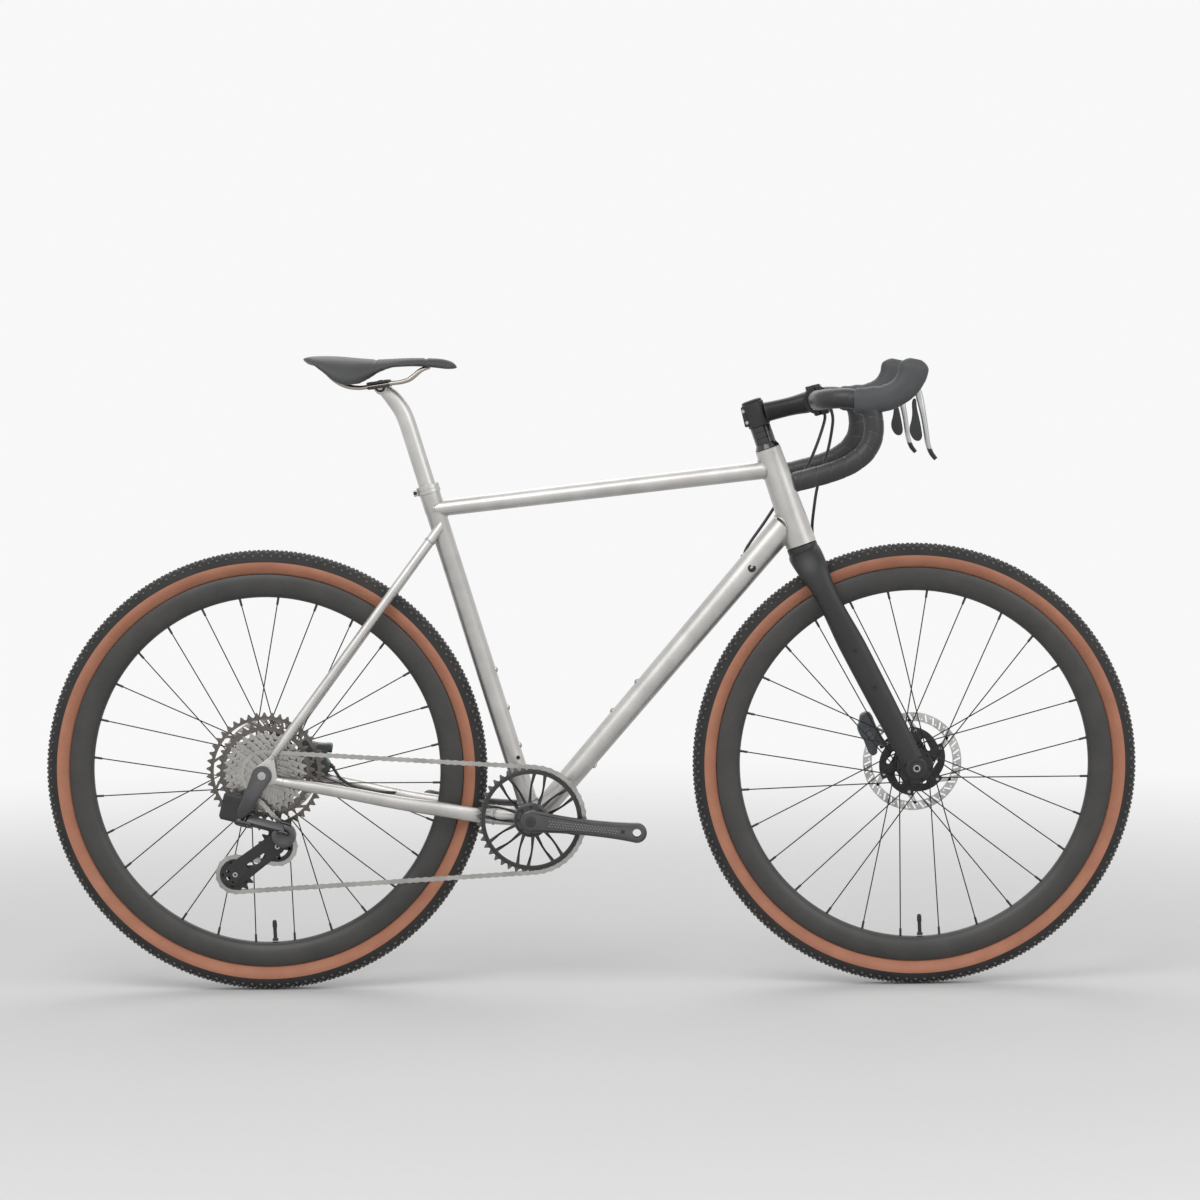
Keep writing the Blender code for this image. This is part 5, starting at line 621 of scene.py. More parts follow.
port, way = vec(*hoses["port"]), unit(hoses["portWay"])
rearFrontLine = hoseLine(list(hoses["rearFront"]) + [port + way * 0.008, port - way * 0.001])
stay, stayWay = vec(*hoses["stayPort"]), unit(hoses["stayPortWay"])
rearLine = hoseLine([stay, stay - stayWay * 0.008] + list(hoses["rear"]))
hoseLengths = (hoseCurve("hoseFront", hoseLine(hoses["front"]), "front_hose", "steering"),
    hoseCurve("hoseRear", rearLine, "rear_hose", "frame"),
    hoseTube("hoseToFrame", rearFrontLine, "rear_hose_front"))
print("hose lengths", *(round(length, 4) for length in hoseLengths))


# Wheels. Radii and places repeat the CAD's; the rest is detail that only shows here.
wheels = dict(rearAxle=(-0.427, 0.0, 0.079), frontAxle=(0.615, 0.0, 0.079), turn=math.radians(1.7),
    tyreR=0.356, tyreHalf=0.0225, rimEdge=0.3172, rimBed=0.3095, rimInner=0.2794, rimHalf=0.0145,
    hook=0.003, noseHalf=0.0055, spokes=28, spokeR=0.00095, nippleR=0.0019, flangeR=0.029,
    lead=math.radians(72.0), spokeOut=0.0024, knobRows=mm(3, 0, 5.2, 4.4, 6.8, 4, 3.4, 12.8, 4, 3.4,
    18, 3.6, 3), knobHeight=0.0017, knobsAround=150, tyreSteps=240, tanTo=0.337, clothR=0.3275)


# Tyre section: half an oval from bead to crown, y = half width times cos, r = bulge plus height
# times sin.
def tyreSection(w):
    half, crown = w["tyreHalf"] - 0.0006, w["tyreR"] - w["knobHeight"]
    bulge, bead = w["rimEdge"] + 0.0173, w["rimHalf"] - w["hook"] - gap
    a = np.linspace(0, math.pi / 2, 40)
    top = np.stack([half * np.cos(a) ** 0.92, bulge + (crown - bulge) * np.sin(a)], 1)
    b = np.linspace(0, 1, 14)[:-1]
    low = np.stack([bead + (half - bead) * np.sin(b * math.pi / 2) ** 1.1,
        w["rimEdge"] + 0.0006 + (bulge - w["rimEdge"] - 0.0006) * b ** 1.15], 1)
    outer = np.vstack([[(bead, w["rimBed"] + 0.0012)], low, top])
    return np.vstack([outer, (outer * vec(-1, 1))[-2::-1]])


# Sidewall cloth: the relief is the higher of two waves that cross at right angles, read along the
# wall.
def addCloth(finish):
    tree = finish.node_tree
    cloth = addNode(tree, "UVMap", {}, uv_map="cloth").outputs["UV"]
    threads = []
    for angle in (0.785, -0.785):
        turnedCloth = addNode(tree, "Mapping", {"Vector": cloth,
            "Rotation": (0, 0, angle)}).outputs["Vector"]
        wave = addNode(tree, "TexWave", {"Vector": turnedCloth, "Scale": 340, "Distortion": 0.4})
        threads.append(wave.outputs["Fac"])
    crossed = addNode(tree, "Math", dict(enumerate(threads)), operation="MAXIMUM").outputs[0]
    relief = addNode(tree, "Bump", {"Height": crossed, "Strength": 0.5, "Distance": 0.00008})
    feed(tree, tree.nodes["Principled BSDF"], {"Normal": relief.outputs["Normal"]})


# Tyre: its section carried once round the wheel; tan where the radius lies between two limits.
def makeTyre(word, centre, body, w):
    section = tyreSection(w)
    steps = w["tyreSteps"]
    radial = atLevel(ringPoints(steps), 0)
    points = vec(*centre) + radial[:, None] * section[None, :, 1:2] + leftWay * section[None, :, :1]
    # the section's ends join under the tyre, so the casing is closed
    verts, faces, _ = surface(points, closeAlong=True)
    columns = len(section)
    radius = section[:, 1]
    across = np.arange(len(faces)) % columns
    mid = (radius + np.roll(radius, -1)) / 2
    tint = ((mid < w["tanTo"]) & (mid > w["rimEdge"] + 0.0002)).astype(int)[across]
    carcass = [(verts, faces[tint == k], k) for k in (0, 1)]
    piece = makePiece(word + "Tyre", mergePatches(carcass), ["tread", "tanSidewall"], body,
        [word + "_tyre"], sharp=60)
    uv = piece.data.uv_layers.new(name="cloth")
    index = np.zeros(len(piece.data.loops), np.int32)
    piece.data.loops.foreach_get("vertex_index", index)
    ring, column = (index % len(verts)) // columns, (index % len(verts)) % columns
    lengthAcross = np.concatenate([[0], np.cumsum(np.linalg.norm(np.diff(section, axis=0),
        axis=1))])
    coordinates = np.stack([ring * (w["clothR"] * tau / steps), lengthAcross[column]], 1)
    uv.data.foreach_set("uv", coordinates.astype(np.float32).ravel())
    makeKnobs(word, centre, body, w)


# One patch of several: faces are shifted by the points that come before.
def mergePatches(patches):
    # patches that share one set of points: keep a single copy of the points
    shared = len(patches[0][0])
    return patches[:1] + [(np.zeros((0, 3)), faces - shared, tint) for _, faces,
        tint in patches[1:]]


# Knob: a low block whose foot is wider than its top; rows stand at their own angle across the
# crown.
def makeKnobs(word, centre, body, w):
    section = tyreSection(w)
    outer = section[14:54]
    patches = []
    for row, (out, halfLong, halfWide) in enumerate(w["knobRows"]):
        k = int(np.argmin(np.abs(outer[:, 0] - out)))
        y, r = outer[k]
        slope = outer[min(k + 1, len(outer) - 1)] - outer[max(k - 1, 0)]
        normal = unit(vec(slope[1], -slope[0])) if out else vec(0, 1)
        if normal[1] < 0:
            normal = -normal
        corners = np.array([(-1, -1), (1, -1), (1, 1), (-1, 1)], float)
        corners[:, 0] *= np.where(row % 2, 1.0, 0.82)
        levels = np.array([(-0.0008, 1.0), (w["knobHeight"] * 0.72, 0.93), (w["knobHeight"], 0.84)])
        lift = levels[:, 0][:, None]
        long = corners[None, :, 0] * halfLong * 0.5 * levels[:, 1][:, None]
        wide = corners[None, :, 1] * halfWide * 0.5 * levels[:, 1][:, None]
        lean = 0.25 * wide * (1 if row % 2 else -1)
        tangent = vec(-normal[1], normal[0])
        for side in ((1,) if out == 0 else (1, -1)):
            yAll = side * (y + normal[0] * lift + tangent[0] * wide)
            rAll = r + normal[1] * lift + tangent[1] * wide
            points = np.stack([rAll, yAll, long + lean], 2)
            patch = surface(points, True, True)
            shift = (0.5 if row % 2 else 0.0) / w["knobsAround"] * tau
            radial = turnedPoints(angles(w["knobsAround"]) + shift)
            beside = radial[:, ::-1] * vec(-1, 1, 1)
            pose = poseStack(radial, leftWay, beside, np.broadcast_to(centre, radial.shape))
            patches.append(repeated(patch, pose))
    makePiece(word + "TyreKnobs", patches, ["knob"], body, [], sharp=30)


# Even steps round the hub for the spoke holes.
def spokeAngles(w):
    return math.radians(90.0) + w["turn"] + tau * (np.arange(w["spokes"]) + 0.5) / w["spokes"]


# Rim section: rounded nose, bowed flanks to the hooks, and a dropped bed between them.
def makeRim(word, centre, body, w):
    flank = w["rimEdge"] - 0.014
    a = np.linspace(0, 1, 9)
    nose = np.stack([w["noseHalf"] * np.sin(a[1:] * math.pi / 2),
        w["rimInner"] + 0.0022 * (1 - np.cos(a[1:] * math.pi / 2)) * 0.9 + 0.0002], 1)
    side = np.stack([w["noseHalf"] + (w["rimHalf"] - w["noseHalf"])
        * np.sin(a[1:] * math.pi / 2) ** 0.9, nose[-1, 1] + (flank - nose[-1, 1]) * a[1:] ** 1.25],
        1)
    hooks = [(w["rimHalf"], w["rimEdge"] - 0.0006), (w["rimHalf"] - 0.0006, w["rimEdge"]),
        (w["rimHalf"] - w["hook"] + 0.0005, w["rimEdge"]),
        (w["rimHalf"] - w["hook"], w["rimEdge"] - 0.0006), (w["rimHalf"] - w["hook"], w["rimBed"]),
        (0.006, w["rimBed"] - 0.0004), (0.0045, w["rimBed"] - 0.0028)]
    half = np.vstack([nose, side, hooks])
    full = np.vstack([[(0.0, w["rimInner"])], half, (half * vec(-1, 1))[::-1]])
    patches = [turned(full[::-1], centre, steps=192)]
    # a small raised ring stands at each spoke hole
    eye = turned(mm(2, -1.6, 2.4, 0.4, 2.2, 0.6, 1.8, -1.6, 1.8), (0, 0, 0), (0, 0, 1), 12)
    patches.append(repeated(eye, radialPoses(spokeAngles(w), centre, w["rimInner"])))
    makePiece(word + "Rim", patches, ["rimCarbon"], body, [word + "_rim"], sharp=50)


# Poses that put +Z of a small part along the inward radius at each angle.
def radialPoses(turns, centre, radius):
    radial = turnedPoints(turns)
    beside = radial[:, ::-1] * vec(-1, 1, 1)
    return poseStack(beside, np.cross(-radial, beside), -radial, vec(*centre) + radius * radial)


# Directions from the axle at each angle.
def turnedPoints(turns):
    return np.stack([np.cos(turns), np.zeros_like(turns), np.sin(turns)], 1)


# Spokes run from flange to rim as thin round bars: points = start + (end - start) * t plus a
# circle.
def makeSpokes(word, centre, body, w, flanges):
    index = np.arange(w["spokes"])
    rimAngle = spokeAngles(w)
    flange = np.where(index % 2, flanges[0], flanges[1])
    lead = np.where((index // 2) % 2, 1.0, -1.0)
    hubAngle = rimAngle + lead * w["lead"]
    start = vec(*centre) + (w["flangeR"] - 0.003) * turnedPoints(hubAngle)
    start[:, 1] = flange + w["spokeOut"] * lead * 0.8
    end = vec(*centre) + (w["rimInner"] + 0.0005) * turnedPoints(rimAngle)
    end[:, 1] = np.sign(flange) * 0.0014
    way = unit(end - start)
    first = unit(np.cross(way, leftWay))
    second = np.cross(way, first)

    def bars(begin, finish, radius, sides, tint):
        c, s = ringPoints(sides).T[:, None, :, None]
        ring = (first[:, None] * c + second[:, None] * s) * radius
        points = np.stack([begin, finish], 1)[:, :, None] + ring[:, None]
        return [surface(p, True, True, tint=tint) for p in points]
    patches = bars(start, end, w["spokeR"], 10, 0)
    patches += bars(end - way * 0.012, end, w["nippleR"], 8, 1)
    heads = np.outer(lead, leftWay)
    patches += [bar(s - h * 0.0008, s + h * 0.0014, 0.0019, sides=10) for s, h in zip(start, heads)]
    makePiece(word + "Spokes", patches, ["spokeBlack", "anodised"], body, [word + "_hub"],
        sharp=60)


# Hub shell: one turned form with two flanges.
def makeHub(word, centre, body, w, halfWidth, flanges, carrier, freehub):
    right, left = flanges
    shellR, endR, half, waist, bore = 0.015, 0.0105, 0.0016, 0.0118, 0.0067
    profile = [(-halfWidth + gap, bore), (-halfWidth + gap, endR - 0.0006),
        (-halfWidth + gap + 0.0006, endR)]
    if freehub:
        profile += [(-freehub, endR), (-freehub + 0.0004, 0.013), (right - half - 0.004, 0.013)]
    else:
        profile += [(right - half - 0.008, endR + 0.001)]
    def lip(y):
        return [(y - half, w["flangeR"] - 0.0008), (y - half + 0.0008, w["flangeR"]),
            (y + half - 0.0008, w["flangeR"]), (y + half, w["flangeR"] - 0.0008)]
    profile += [(right - half - 0.0006, shellR + 0.001), (right - half, shellR + 0.003),
        *lip(right), (right + half, shellR + 0.004), (right + half + 0.003, shellR)]
    t = np.linspace(0, 1, 9)
    middle = mix(right + half + 0.006, left - half - 0.006, t)
    profile += [*zip(middle, waist + (shellR - waist) * (2 * t - 1) ** 2)]
    profile += [(left - half - 0.003, shellR), (left - half, shellR + 0.004), *lip(left),
        (left + half, shellR + 0.003), (left + half + 0.001, shellR + 0.002),
        (carrier - 0.0012, shellR + 0.002), (carrier - 0.0012, endR + 0.0008),
        (halfWidth - gap - 0.0006, endR), (halfWidth - gap, endR - 0.0006), (halfWidth - gap, bore)]
    makePiece(word + "HubShell", [turned(profile, centre, steps=64)], ["satinBlack"], body, [],
        sharp=30)


addCloth(finishes["tanSidewall"])
for word, flanges, halfWidth, carrier, freehub in (("front", (-0.033, 0.022), 0.05, 0.0345, 0.0),
        ("rear", (-0.017, 0.033), 0.071, 0.0555, 0.0672)):
    centre, body = wheels[word + "Axle"], word + "_wheel"
    makeTyre(word, centre, body, wheels)
    makeRim(word, centre, body, wheels)
    makeSpokes(word, centre, body, wheels, flanges)
    makeHub(word, centre, body, wheels, halfWidth, flanges, carrier, freehub)
print("wheels made")


drive = dict(pitch=0.0127, line=0.0475, spacing=0.0036, chainCog=5,
    teeth=(10, 11, 12, 13, 15, 17, 19, 21, 24, 28, 32, 38, 46), ringTeeth=42, pulleyTeeth=14,
    rise=0.0028, drop=0.0042, toothHalf=0.0009, upper=(-0.40732, -0.038729),
    lower=(-0.475817, -0.083238), links=124, halvings=46)


# Half the pitch over the sine of half a tooth's step.
def pitchRadius(teeth):
    return drive["pitch"] / (2.0 * math.sin(math.pi / teeth))


# Sprocket edge: radius rises from root to tip and back once per tooth; shares of a tooth's step
# give the places.
def toothOutline(teeth, phase, centre):
    radius = pitchRadius(teeth)
    share = np.array([-0.5, -0.4, -0.3, -0.2, -0.11, -0.05, 0.05, 0.11, 0.2, 0.3, 0.4])
    height = np.array([0.0, 0.04, 0.2, 0.56, 0.88, 1.0, 1.0, 0.88, 0.56, 0.2, 0.04])
    root, tip = radius - drive["drop"], radius + drive["rise"]
    step = tau / teeth
    angle = (phase + step * (np.arange(teeth)[:, None] + 0.5 + share[None])).ravel()
    r = np.tile(root + (tip - root) * height, teeth)
    return vec(*centre) + np.stack([r * np.cos(angle), r * np.sin(angle)], 1)


# Toothed ring: its face runs from an inner circle to the teeth, which thin towards their tips.
def toothedRing(teeth, phase, centre, y, inner, half, tint=0):
    outline = toothOutline(teeth, phase, centre)[::-1]
    away = outline - vec(*centre)
    r = np.linalg.norm(away, axis=1, keepdims=True)
    root = pitchRadius(teeth) - drive["drop"] - 0.0006
    bore, foot = (vec(*centre) + away / r * radius for radius in (inner, root))
    thin = np.where(r > root + 0.0016, half * 0.45, half)[:, 0]
    rows = [(bore, -half), (foot, -half), (outline, -thin), (outline, thin), (foot, half),
        (bore, half)]
    return surface(np.stack([atLevel(flat, y + side) for flat, side in rows]), closeAlong=True,
        tint=tint)


# Chain path, as (length, data) pieces, an arc and a straight run by turns. The heading of a run is
# the direction between two centres plus the arc sine of the difference of the signed radii over the
# distance.
def chainTrack(d):
    small, axle = pitchRadius(d["pulleyTeeth"]), wheels["rearAxle"]
    stops = [(0.0, 0.0, pitchRadius(d["ringTeeth"]), 1), (*d["lower"], small, 1),
        (*d["upper"], small, -1), (axle[0], axle[2], pitchRadius(d["teeth"][d["chainCog"]]), 1)]
    runs = []
    for (x, z, r, way), (nextX, nextZ, nextR, nextWay) in zip(stops, stops[1:] + stops[:1]):
        dx, dz = nextX - x, nextZ - z
        heading = math.atan2(dz, dx) + math.asin((nextWay * nextR - way * r) / math.hypot(dx, dz))
        right = vec(math.sin(heading), -math.cos(heading))
        runs.append((vec(x, z) - way * r * right, vec(nextX, nextZ) - nextWay * nextR * right))
    track = []
    for k, (x, z, r, way) in enumerate(stops):
        start, end = (math.atan2(p[1] - z, p[0] - x) for p in (runs[k - 1][1], runs[k][0]))
        track += [(way * (start - end) % tau * r, (x, z, r, start, -way)),
            (math.dist(*runs[k]), runs[k])]
    return track


# Point (x, z) at a distance along the path, and the index of the piece it lies on.
def trackPoint(track, distance):
    distance %= sum(length for length, _ in track)
    for index, (length, data) in enumerate(track):
        if distance <= length:
            break
        distance -= length
    if index % 2:
        return mix(*data, distance / length), index
    x, z, r, start, way = data
    angle = start + way * distance / r
    return vec(x + r * math.cos(angle), z + r * math.sin(angle)), index


# Pins: each is the next point of the path one straight pitch away, found by halving the span it
# lies in.
def walkPins(d, track):
    distance = track[0][0] + track[1][0] / 2
    pins = []
    for _ in range(d["links"]):
        here, index = trackPoint(track, distance)
        pins.append((*here, index))
        near, far = distance + d["pitch"] * 0.98, distance + d["pitch"] * 1.12
        for _ in range(d["halvings"]):
            distance = (near + far) / 2
            if math.dist(here, trackPoint(track, distance)[0]) < d["pitch"]:
                near = distance
            else:
                far = distance
    return np.array(pins)


# Angle of the middle one of the pins that rest on a sprocket's arc.
def phaseOn(pins, arc, x, z):
    resting = pins[pins[:, 2] == arc]
    pinX, pinZ, _ = resting[len(resting) // 2]
    return math.atan2(pinZ - z, pinX - x)


# Chain: each link is two waisted plates, with rollers and rivets at the pins.
def makeChain(d):
    pins, line = d["pins"], d["line"]
    way = unit(np.roll(pins, -1, 0) - pins)
    a = np.linspace(-math.pi * 0.62, math.pi * 0.62, 9)
    r = 0.004
    right = np.stack([d["pitch"] + r * np.cos(a), r * np.sin(a)], 1)
    left = np.stack([-r * np.cos(a), -r * np.sin(a)], 1)
    waist = np.array([(d["pitch"] / 2, 0.0029)])
    outline = np.vstack([right, waist, left, waist * vec(1, -1)])
    outer = [plate(outline, low, low + 0.0007, 0.0002) for low in (-0.0025, 0.0018)]
    inner = [plate(outline * vec(1, 0.98), low, low + 0.0007, 0.0002) for low in (-0.0017, 0.001)]
    roller = bar((0, -0.0011, 0), (0, 0.0011, 0), 0.0037, sides=14, chamfer=0.0003)
    rivet = bar((0, -0.0027, 0), (0, 0.0027, 0), 0.0017, sides=10, chamfer=0.0003)
    pose = poseStack(atLevel(way, 0), leftWay, atLevel(way[:, ::-1] * vec(-1, 1), 0),
        atLevel(pins, -line))
    patches = [repeated(p, pose[0::2]) for p in outer] + [repeated(p, pose[1::2]) for p in inner]
    patches += [repeated(roller, pose), repeated(rivet, pose)]
    makePiece("chainLinks", patches, ["chainSteel"], "frame", ["chain"], sharp=35)


# Cassette: toothed rings side by side; the large ones stand on leaning arms, the small ones on the
# core.
def makeCassette(d, centre):
    patches = []
    x, z = centre[0], centre[2]
    core, armLean, firstLarge, firstDark = 0.0138, 0.3, 9, 11
    for index, teeth in enumerate(d["teeth"]):
        y = -(d["line"] + (d["chainCog"] - index) * d["spacing"])
        large = index >= firstLarge
        root = pitchRadius(teeth) - d["drop"]
        inner = root - 0.005 if large else core
        tint = 1 if index >= firstDark else 0
        patches.append(toothedRing(teeth, d["cassettePhase"], (x, z), y, inner, d["toothHalf"],
            tint))
        if large:
            low = pitchRadius(d["teeth"][index - 1]) - d["drop"] - 0.0055
            low = max(low, 0.015)
            arms = 9 if index < 12 else 12
            corners = np.array([(low, -0.0032), (inner + 0.0014, -0.0032), (inner + 0.0014, 0.0032),
                (low, 0.0032)])
            lean = armLean * (corners[:, 0] - low) / max(inner - low, 1e-6)
            turn = np.arctan2(corners[:, 1], corners[:, 0]) + lean
            reach = np.hypot(corners[:, 0], corners[:, 1])
            arm = plate(np.stack([reach * np.cos(turn), reach * np.sin(turn)], 1), -0.0008, 0.0008,
                0.0002, tint=tint)
            pose = spin(-angles(arms))
            pose[:, :3, 3] = (x, y, z)
            patches.append(repeated(arm, pose))
        if index:
            base = low if large else core
            side, rim = y - d["spacing"] / 2 - 0.0009, y + 0.0006
            patches.append(turned([(side, base - 0.0016), (side, base + 0.0022),
                (rim, base + 0.0022), (rim, base - 0.0016)], (x, 0, z), tint=tint if large else 2))
    # lockring on the outside, with a notched bore
    face = -(d["line"] + d["chainCog"] * d["spacing"])
    patches.append(turned([(face - 0.002, 0.0118), (face - 0.002, 0.015), (face - 0.0014, 0.0156),
        (face + 0.0006, 0.0156), (face + 0.0006, 0.0118)], (x, 0, z), tint=2))
    makePiece("cassetteCogs", patches, ["cogSteel", "cogDark", "satinBlack"], "cog_set",
        ["cassette"], sharp=32)


# Chainring: toothed rim, leaning spokes in pairs and a hub ring, all turned about the bottom
# bracket.
def makeRing(d):
    y, half = -d["line"], 0.0014
    rim = toothedRing(d["ringTeeth"], d["ringPhase"], (0.0, 0.0), y, 0.0742, 0.0011)
    land = turned([(y - half - 0.0004, 0.0738), (y - half - 0.0004, 0.0785), (y - 0.0009, 0.0795),
        (y + 0.0009, 0.0795), (y + half, 0.0785), (y + half, 0.0738)], (0, 0, 0), steps=168, tint=1)
    hub = turned([(y - 0.003, 0.0153), (y - 0.003, 0.0236), (y - 0.0024, 0.0245),
        (y - 0.0012, 0.028), (y + 0.0012, 0.028), (y + 0.0024, 0.0245), (y + 0.003, 0.0236),
        (y + 0.003, 0.0153)], (0, 0, 0), steps=96)
    patches = [rim, land, hub]
    step = tau / 16
    for parity in (0, 1):
        lean = 0.165 * (1 if parity else -1)
        t = np.linspace(0, 1, 7)
        radius = 0.0262 + (0.0752 - 0.0262) * t
        wide = 0.0017 + 0.0016 * np.abs(2 * t - 1) ** 3
        angle = lean * (t - 0.5)
        middle = np.stack([radius * np.cos(angle), radius * np.sin(angle)], 1)
        across = np.stack([-np.sin(angle), np.cos(angle)], 1)
        outline = np.vstack([middle + across * wide[:, None],
            (middle - across * wide[:, None])[::-1]])
        arm = roundedPlate(outline, y - half, y + half, 0.0006, steps=3)
        patches.append(repeated(arm, spin(-(np.arange(8) * 2 + parity) * step)))
    bolts = bar((0.0212, y - 0.0036, 0), (0.0212, y - 0.0026, 0), 0.0026, sides=14, chamfer=0.0003,
        tint=1)
    patches.append(repeated(bolts, spin(angles(8))))
    makePiece("chainringWheel", patches, ["ringBlack", "satinBlack"], "crankset", ["chainring"],
        sharp=32)


crank = dict(length=0.17, angle=math.radians(-6.8), inner=0.059, thickness=0.0145, bossR=0.0185,
    endR=0.016, waist=0.0122, hole=0.0071, spindle=0.0145)


# Arm outline: half height as a smooth sum of two round ends and a slimmer middle along its length.
def armOutline(c):
    a = np.linspace(math.pi / 2, 3 * math.pi / 2, 25)
    back = np.stack([c["bossR"] * np.cos(a), c["bossR"] * np.sin(a)], 1)
    front = np.stack([c["length"] - c["endR"] * np.cos(a), -c["endR"] * np.sin(a)], 1)
    t = np.linspace(0, 1, 26)[1:-1]
    x = c["length"] * t
    high = c["waist"] + (c["bossR"] - c["waist"]) * (1 - t) ** 4 + (c["endR"] - c["waist"]) * t ** 5
    under = np.stack([x, -high], 1)
    over = np.stack([x, high], 1)[::-1]
    return np.vstack([back, under, front, over])


# Crank arms: a rounded plate each, turned to the crank's angle, half a turn apart.
def makeCrank(c):
    for side, word in ((-1, "right"), (1, "left")):
        turn = c["angle"] if side < 0 else c["angle"] + math.pi
        low, high = sorted((side * c["inner"], side * (c["inner"] + c["thickness"])))
        arm = roundedPlate(armOutline(c), low, high, 0.0042, (c["length"], 0.0, c["hole"]), steps=5)
        far = side * (c["inner"] + c["thickness"])
        ledge = far - side * 0.0002
        patches = [arm]
        # threaded insert: a fine ring with small ridges round the pedal hole
        ridges = [(far - side * 0.0148 + side * 0.0005 * k,
            c["hole"] + (0.0002 if k % 2 else -0.0003)) for k in range(29)]
        profile = [(far - side * 0.0146, c["hole"] + 0.0014)] + ridges + [(far - side * 0.0004,
            c["hole"] + 0.0014)]
        thread = turned(profile, (c["length"], 0, 0), steps=40, tint=1)
        patches.append(thread)
        if side < 0:
            near = -(0.0475 + 0.003 + gap)
            patches.append(turned([(near, 0.014), (near, 0.0177), (-(c["inner"] + 0.002), 0.0177),
                (-(c["inner"] + 0.002), 0.014)][::-1], (0, 0, 0)))
            patches.append(turned([(-(c["inner"] + 0.004), 0.012),
                (-(c["inner"] + 0.004), c["spindle"]), (0.0735, c["spindle"]), (0.0735, 0.012)],
                (0, 0, 0), tint=1))
            patches.append(turned([(ledge - 0.0003, 0.0), (ledge - 0.0003, 0.0085),
                (ledge - 0.0001, 0.0092), (ledge + 0.0012, 0.0092), (ledge + 0.0012, 0.0)],
                (0, 0, 0), tint=1))
        else:
            near = 0.037 + 2 * gap + 0.005
            patches.append(turned([(near, 0.0147), (near, 0.0177), (c["inner"] + 0.002, 0.0177),
                (c["inner"] + 0.002, 0.0147)], (0, 0, 0)))
            patches.append(turned([(ledge - 0.001, 0.0), (ledge - 0.001, 0.011), (ledge, 0.011),
                (ledge + 0.0002, 0.01), (ledge + 0.0002, 0.0)], (0, 0, 0), tint=1))
        # rows of small light dots run along the arm, and a small black square sits near its end
        dot = bar((0, ledge, 0), (0, ledge + side * 0.0003, 0), 0.00072, sides=8, chamfer=0.0001,
            tint=2)
        along = np.arange(0.03, 0.14, 0.0046)
        spots = [(x + (0.0023 if k % 2 else 0.0), 0, z) for k,
            z in enumerate((-0.004, 0.0, 0.004)) for x in along]
        patches.append(repeated(dot, poseStack(*np.eye(3), spots)))
        patches.append(block((0.1475, ledge + side * 0.0001, 0), (1, 0, 0), leftWay,
            (0.003, 0.0003, 0.003), 0.0001, tint=1))
        swing = spin([-turn])[0]
        patches = [placed(p, swing) for p in patches]
        makePiece("crankArm" + word.capitalize(), patches, ["crankGrey", "satinBlack", "dotLight"],
            "crankset", ["crank_arm_" + word], sharp=34)


pins = walkPins(drive, chainTrack(drive))
drive.update(pins=pins[:, :2], ringPhase=phaseOn(pins, 0, 0.0, 0.0),
    lowerPhase=phaseOn(pins, 2, *drive["lower"]), upperPhase=phaseOn(pins, 4, *drive["upper"]),
    cassettePhase=phaseOn(pins, 6, *wheels["rearAxle"][::2]))
makeChain(drive)
makeCassette(drive, wheels["rearAxle"])
makeRing(drive)
makeCrank(crank)
print("drivetrain made")


# Frame tubes. Ends and half sizes repeat the CAD's.
frameSizes = dict(headFoot=(0.4373, 0.0, 0.4336), steer=(-0.321439, 0.0, 0.94693),
    headLength=0.1636, headFootR=0.025, headTopR=0.0205, seatWay=(-0.289032, 0.0, 0.957319),
    seatLength=0.56, seatR=0.0159, innerR=0.0148, topSeat=0.52, topHead=0.1294,
    topHigh=(0.0134, 0.0146), topWide=0.017, downFoot=(0.0045, 0.0, -0.004), downHead=0.047,
    downHigh=(0.0172, 0.0214), downWide=(0.019, 0.0205), shellR=0.0255, shellHalf=0.037,
    cupR=0.0262, cupWide=0.005, stayFoot=(-0.413, 0.0745, 0.1045), stayTop=0.4895, stayR=0.0076,
    chainstay=mm(5, -408, 74.5, 70, 6.2, 3.4, -392, 74, 66.8, 7, 6, -360, 69.5, 60.8, 8.6, 7.5,
    -300, 61.5, 48.7, 9.8, 8.2, -200, 47.5, 27.2, 11, 8.5, -140, 39.5, 16.6, 11.8, 7.8, -105, 34.5,
    9.8, 11.6, 6, -75, 31.2, 4.5, 11.6, 4.7, -40, 29.5, 1.2, 11.8, 5, -5, 29, 0, 12, 5.5),
    stayY=((0.0, 0.0745), (0.04, 0.0745), (0.09, 0.0715), (0.25, 0.063), (0.45, 0.052),
    (0.65, 0.039), (0.76, 0.0325), (0.88, 0.0225), (1.0, 0.0125)), dropIn=0.071, dropThick=0.007,
    dropR=0.0165)


# Titanium piece of the frame with its bead finish.
def framePiece(name, patches, nodes, sharp):
    makePiece(name, patches, ["titanium", "titaniumBead", "anodised"], "frame", nodes,
        sharp)


# Ring of points on an oval that stands across a direction, with the outward direction at each.
def ovalRing(centre, side, up, halfWide, halfHigh, count):
    c, s = ringPoints(count).T[:, :, None]
    out = unit(side * c / halfWide + up * s / halfHigh)
    return vec(*centre) + side * halfWide * c + up * halfHigh * s, out


# Weld bead along a ring: a small oval carried round, whose thickness swells once per weld pool.
def beadRound(spots, out, axis, thick, pools, outward, along):
    radius = thick * (1.0 + 0.3 * np.abs(np.sin(angles(len(spots)) * pools / 2)))
    c, s = ringPoints(8).T[:, None, :, None]
    points = spots[:, None] + (out[:, None] * c * outward + axis * s
        * along) * radius[:, None, None]
    return surface(points[:, ::-1], closeAlong=True, tint=1)


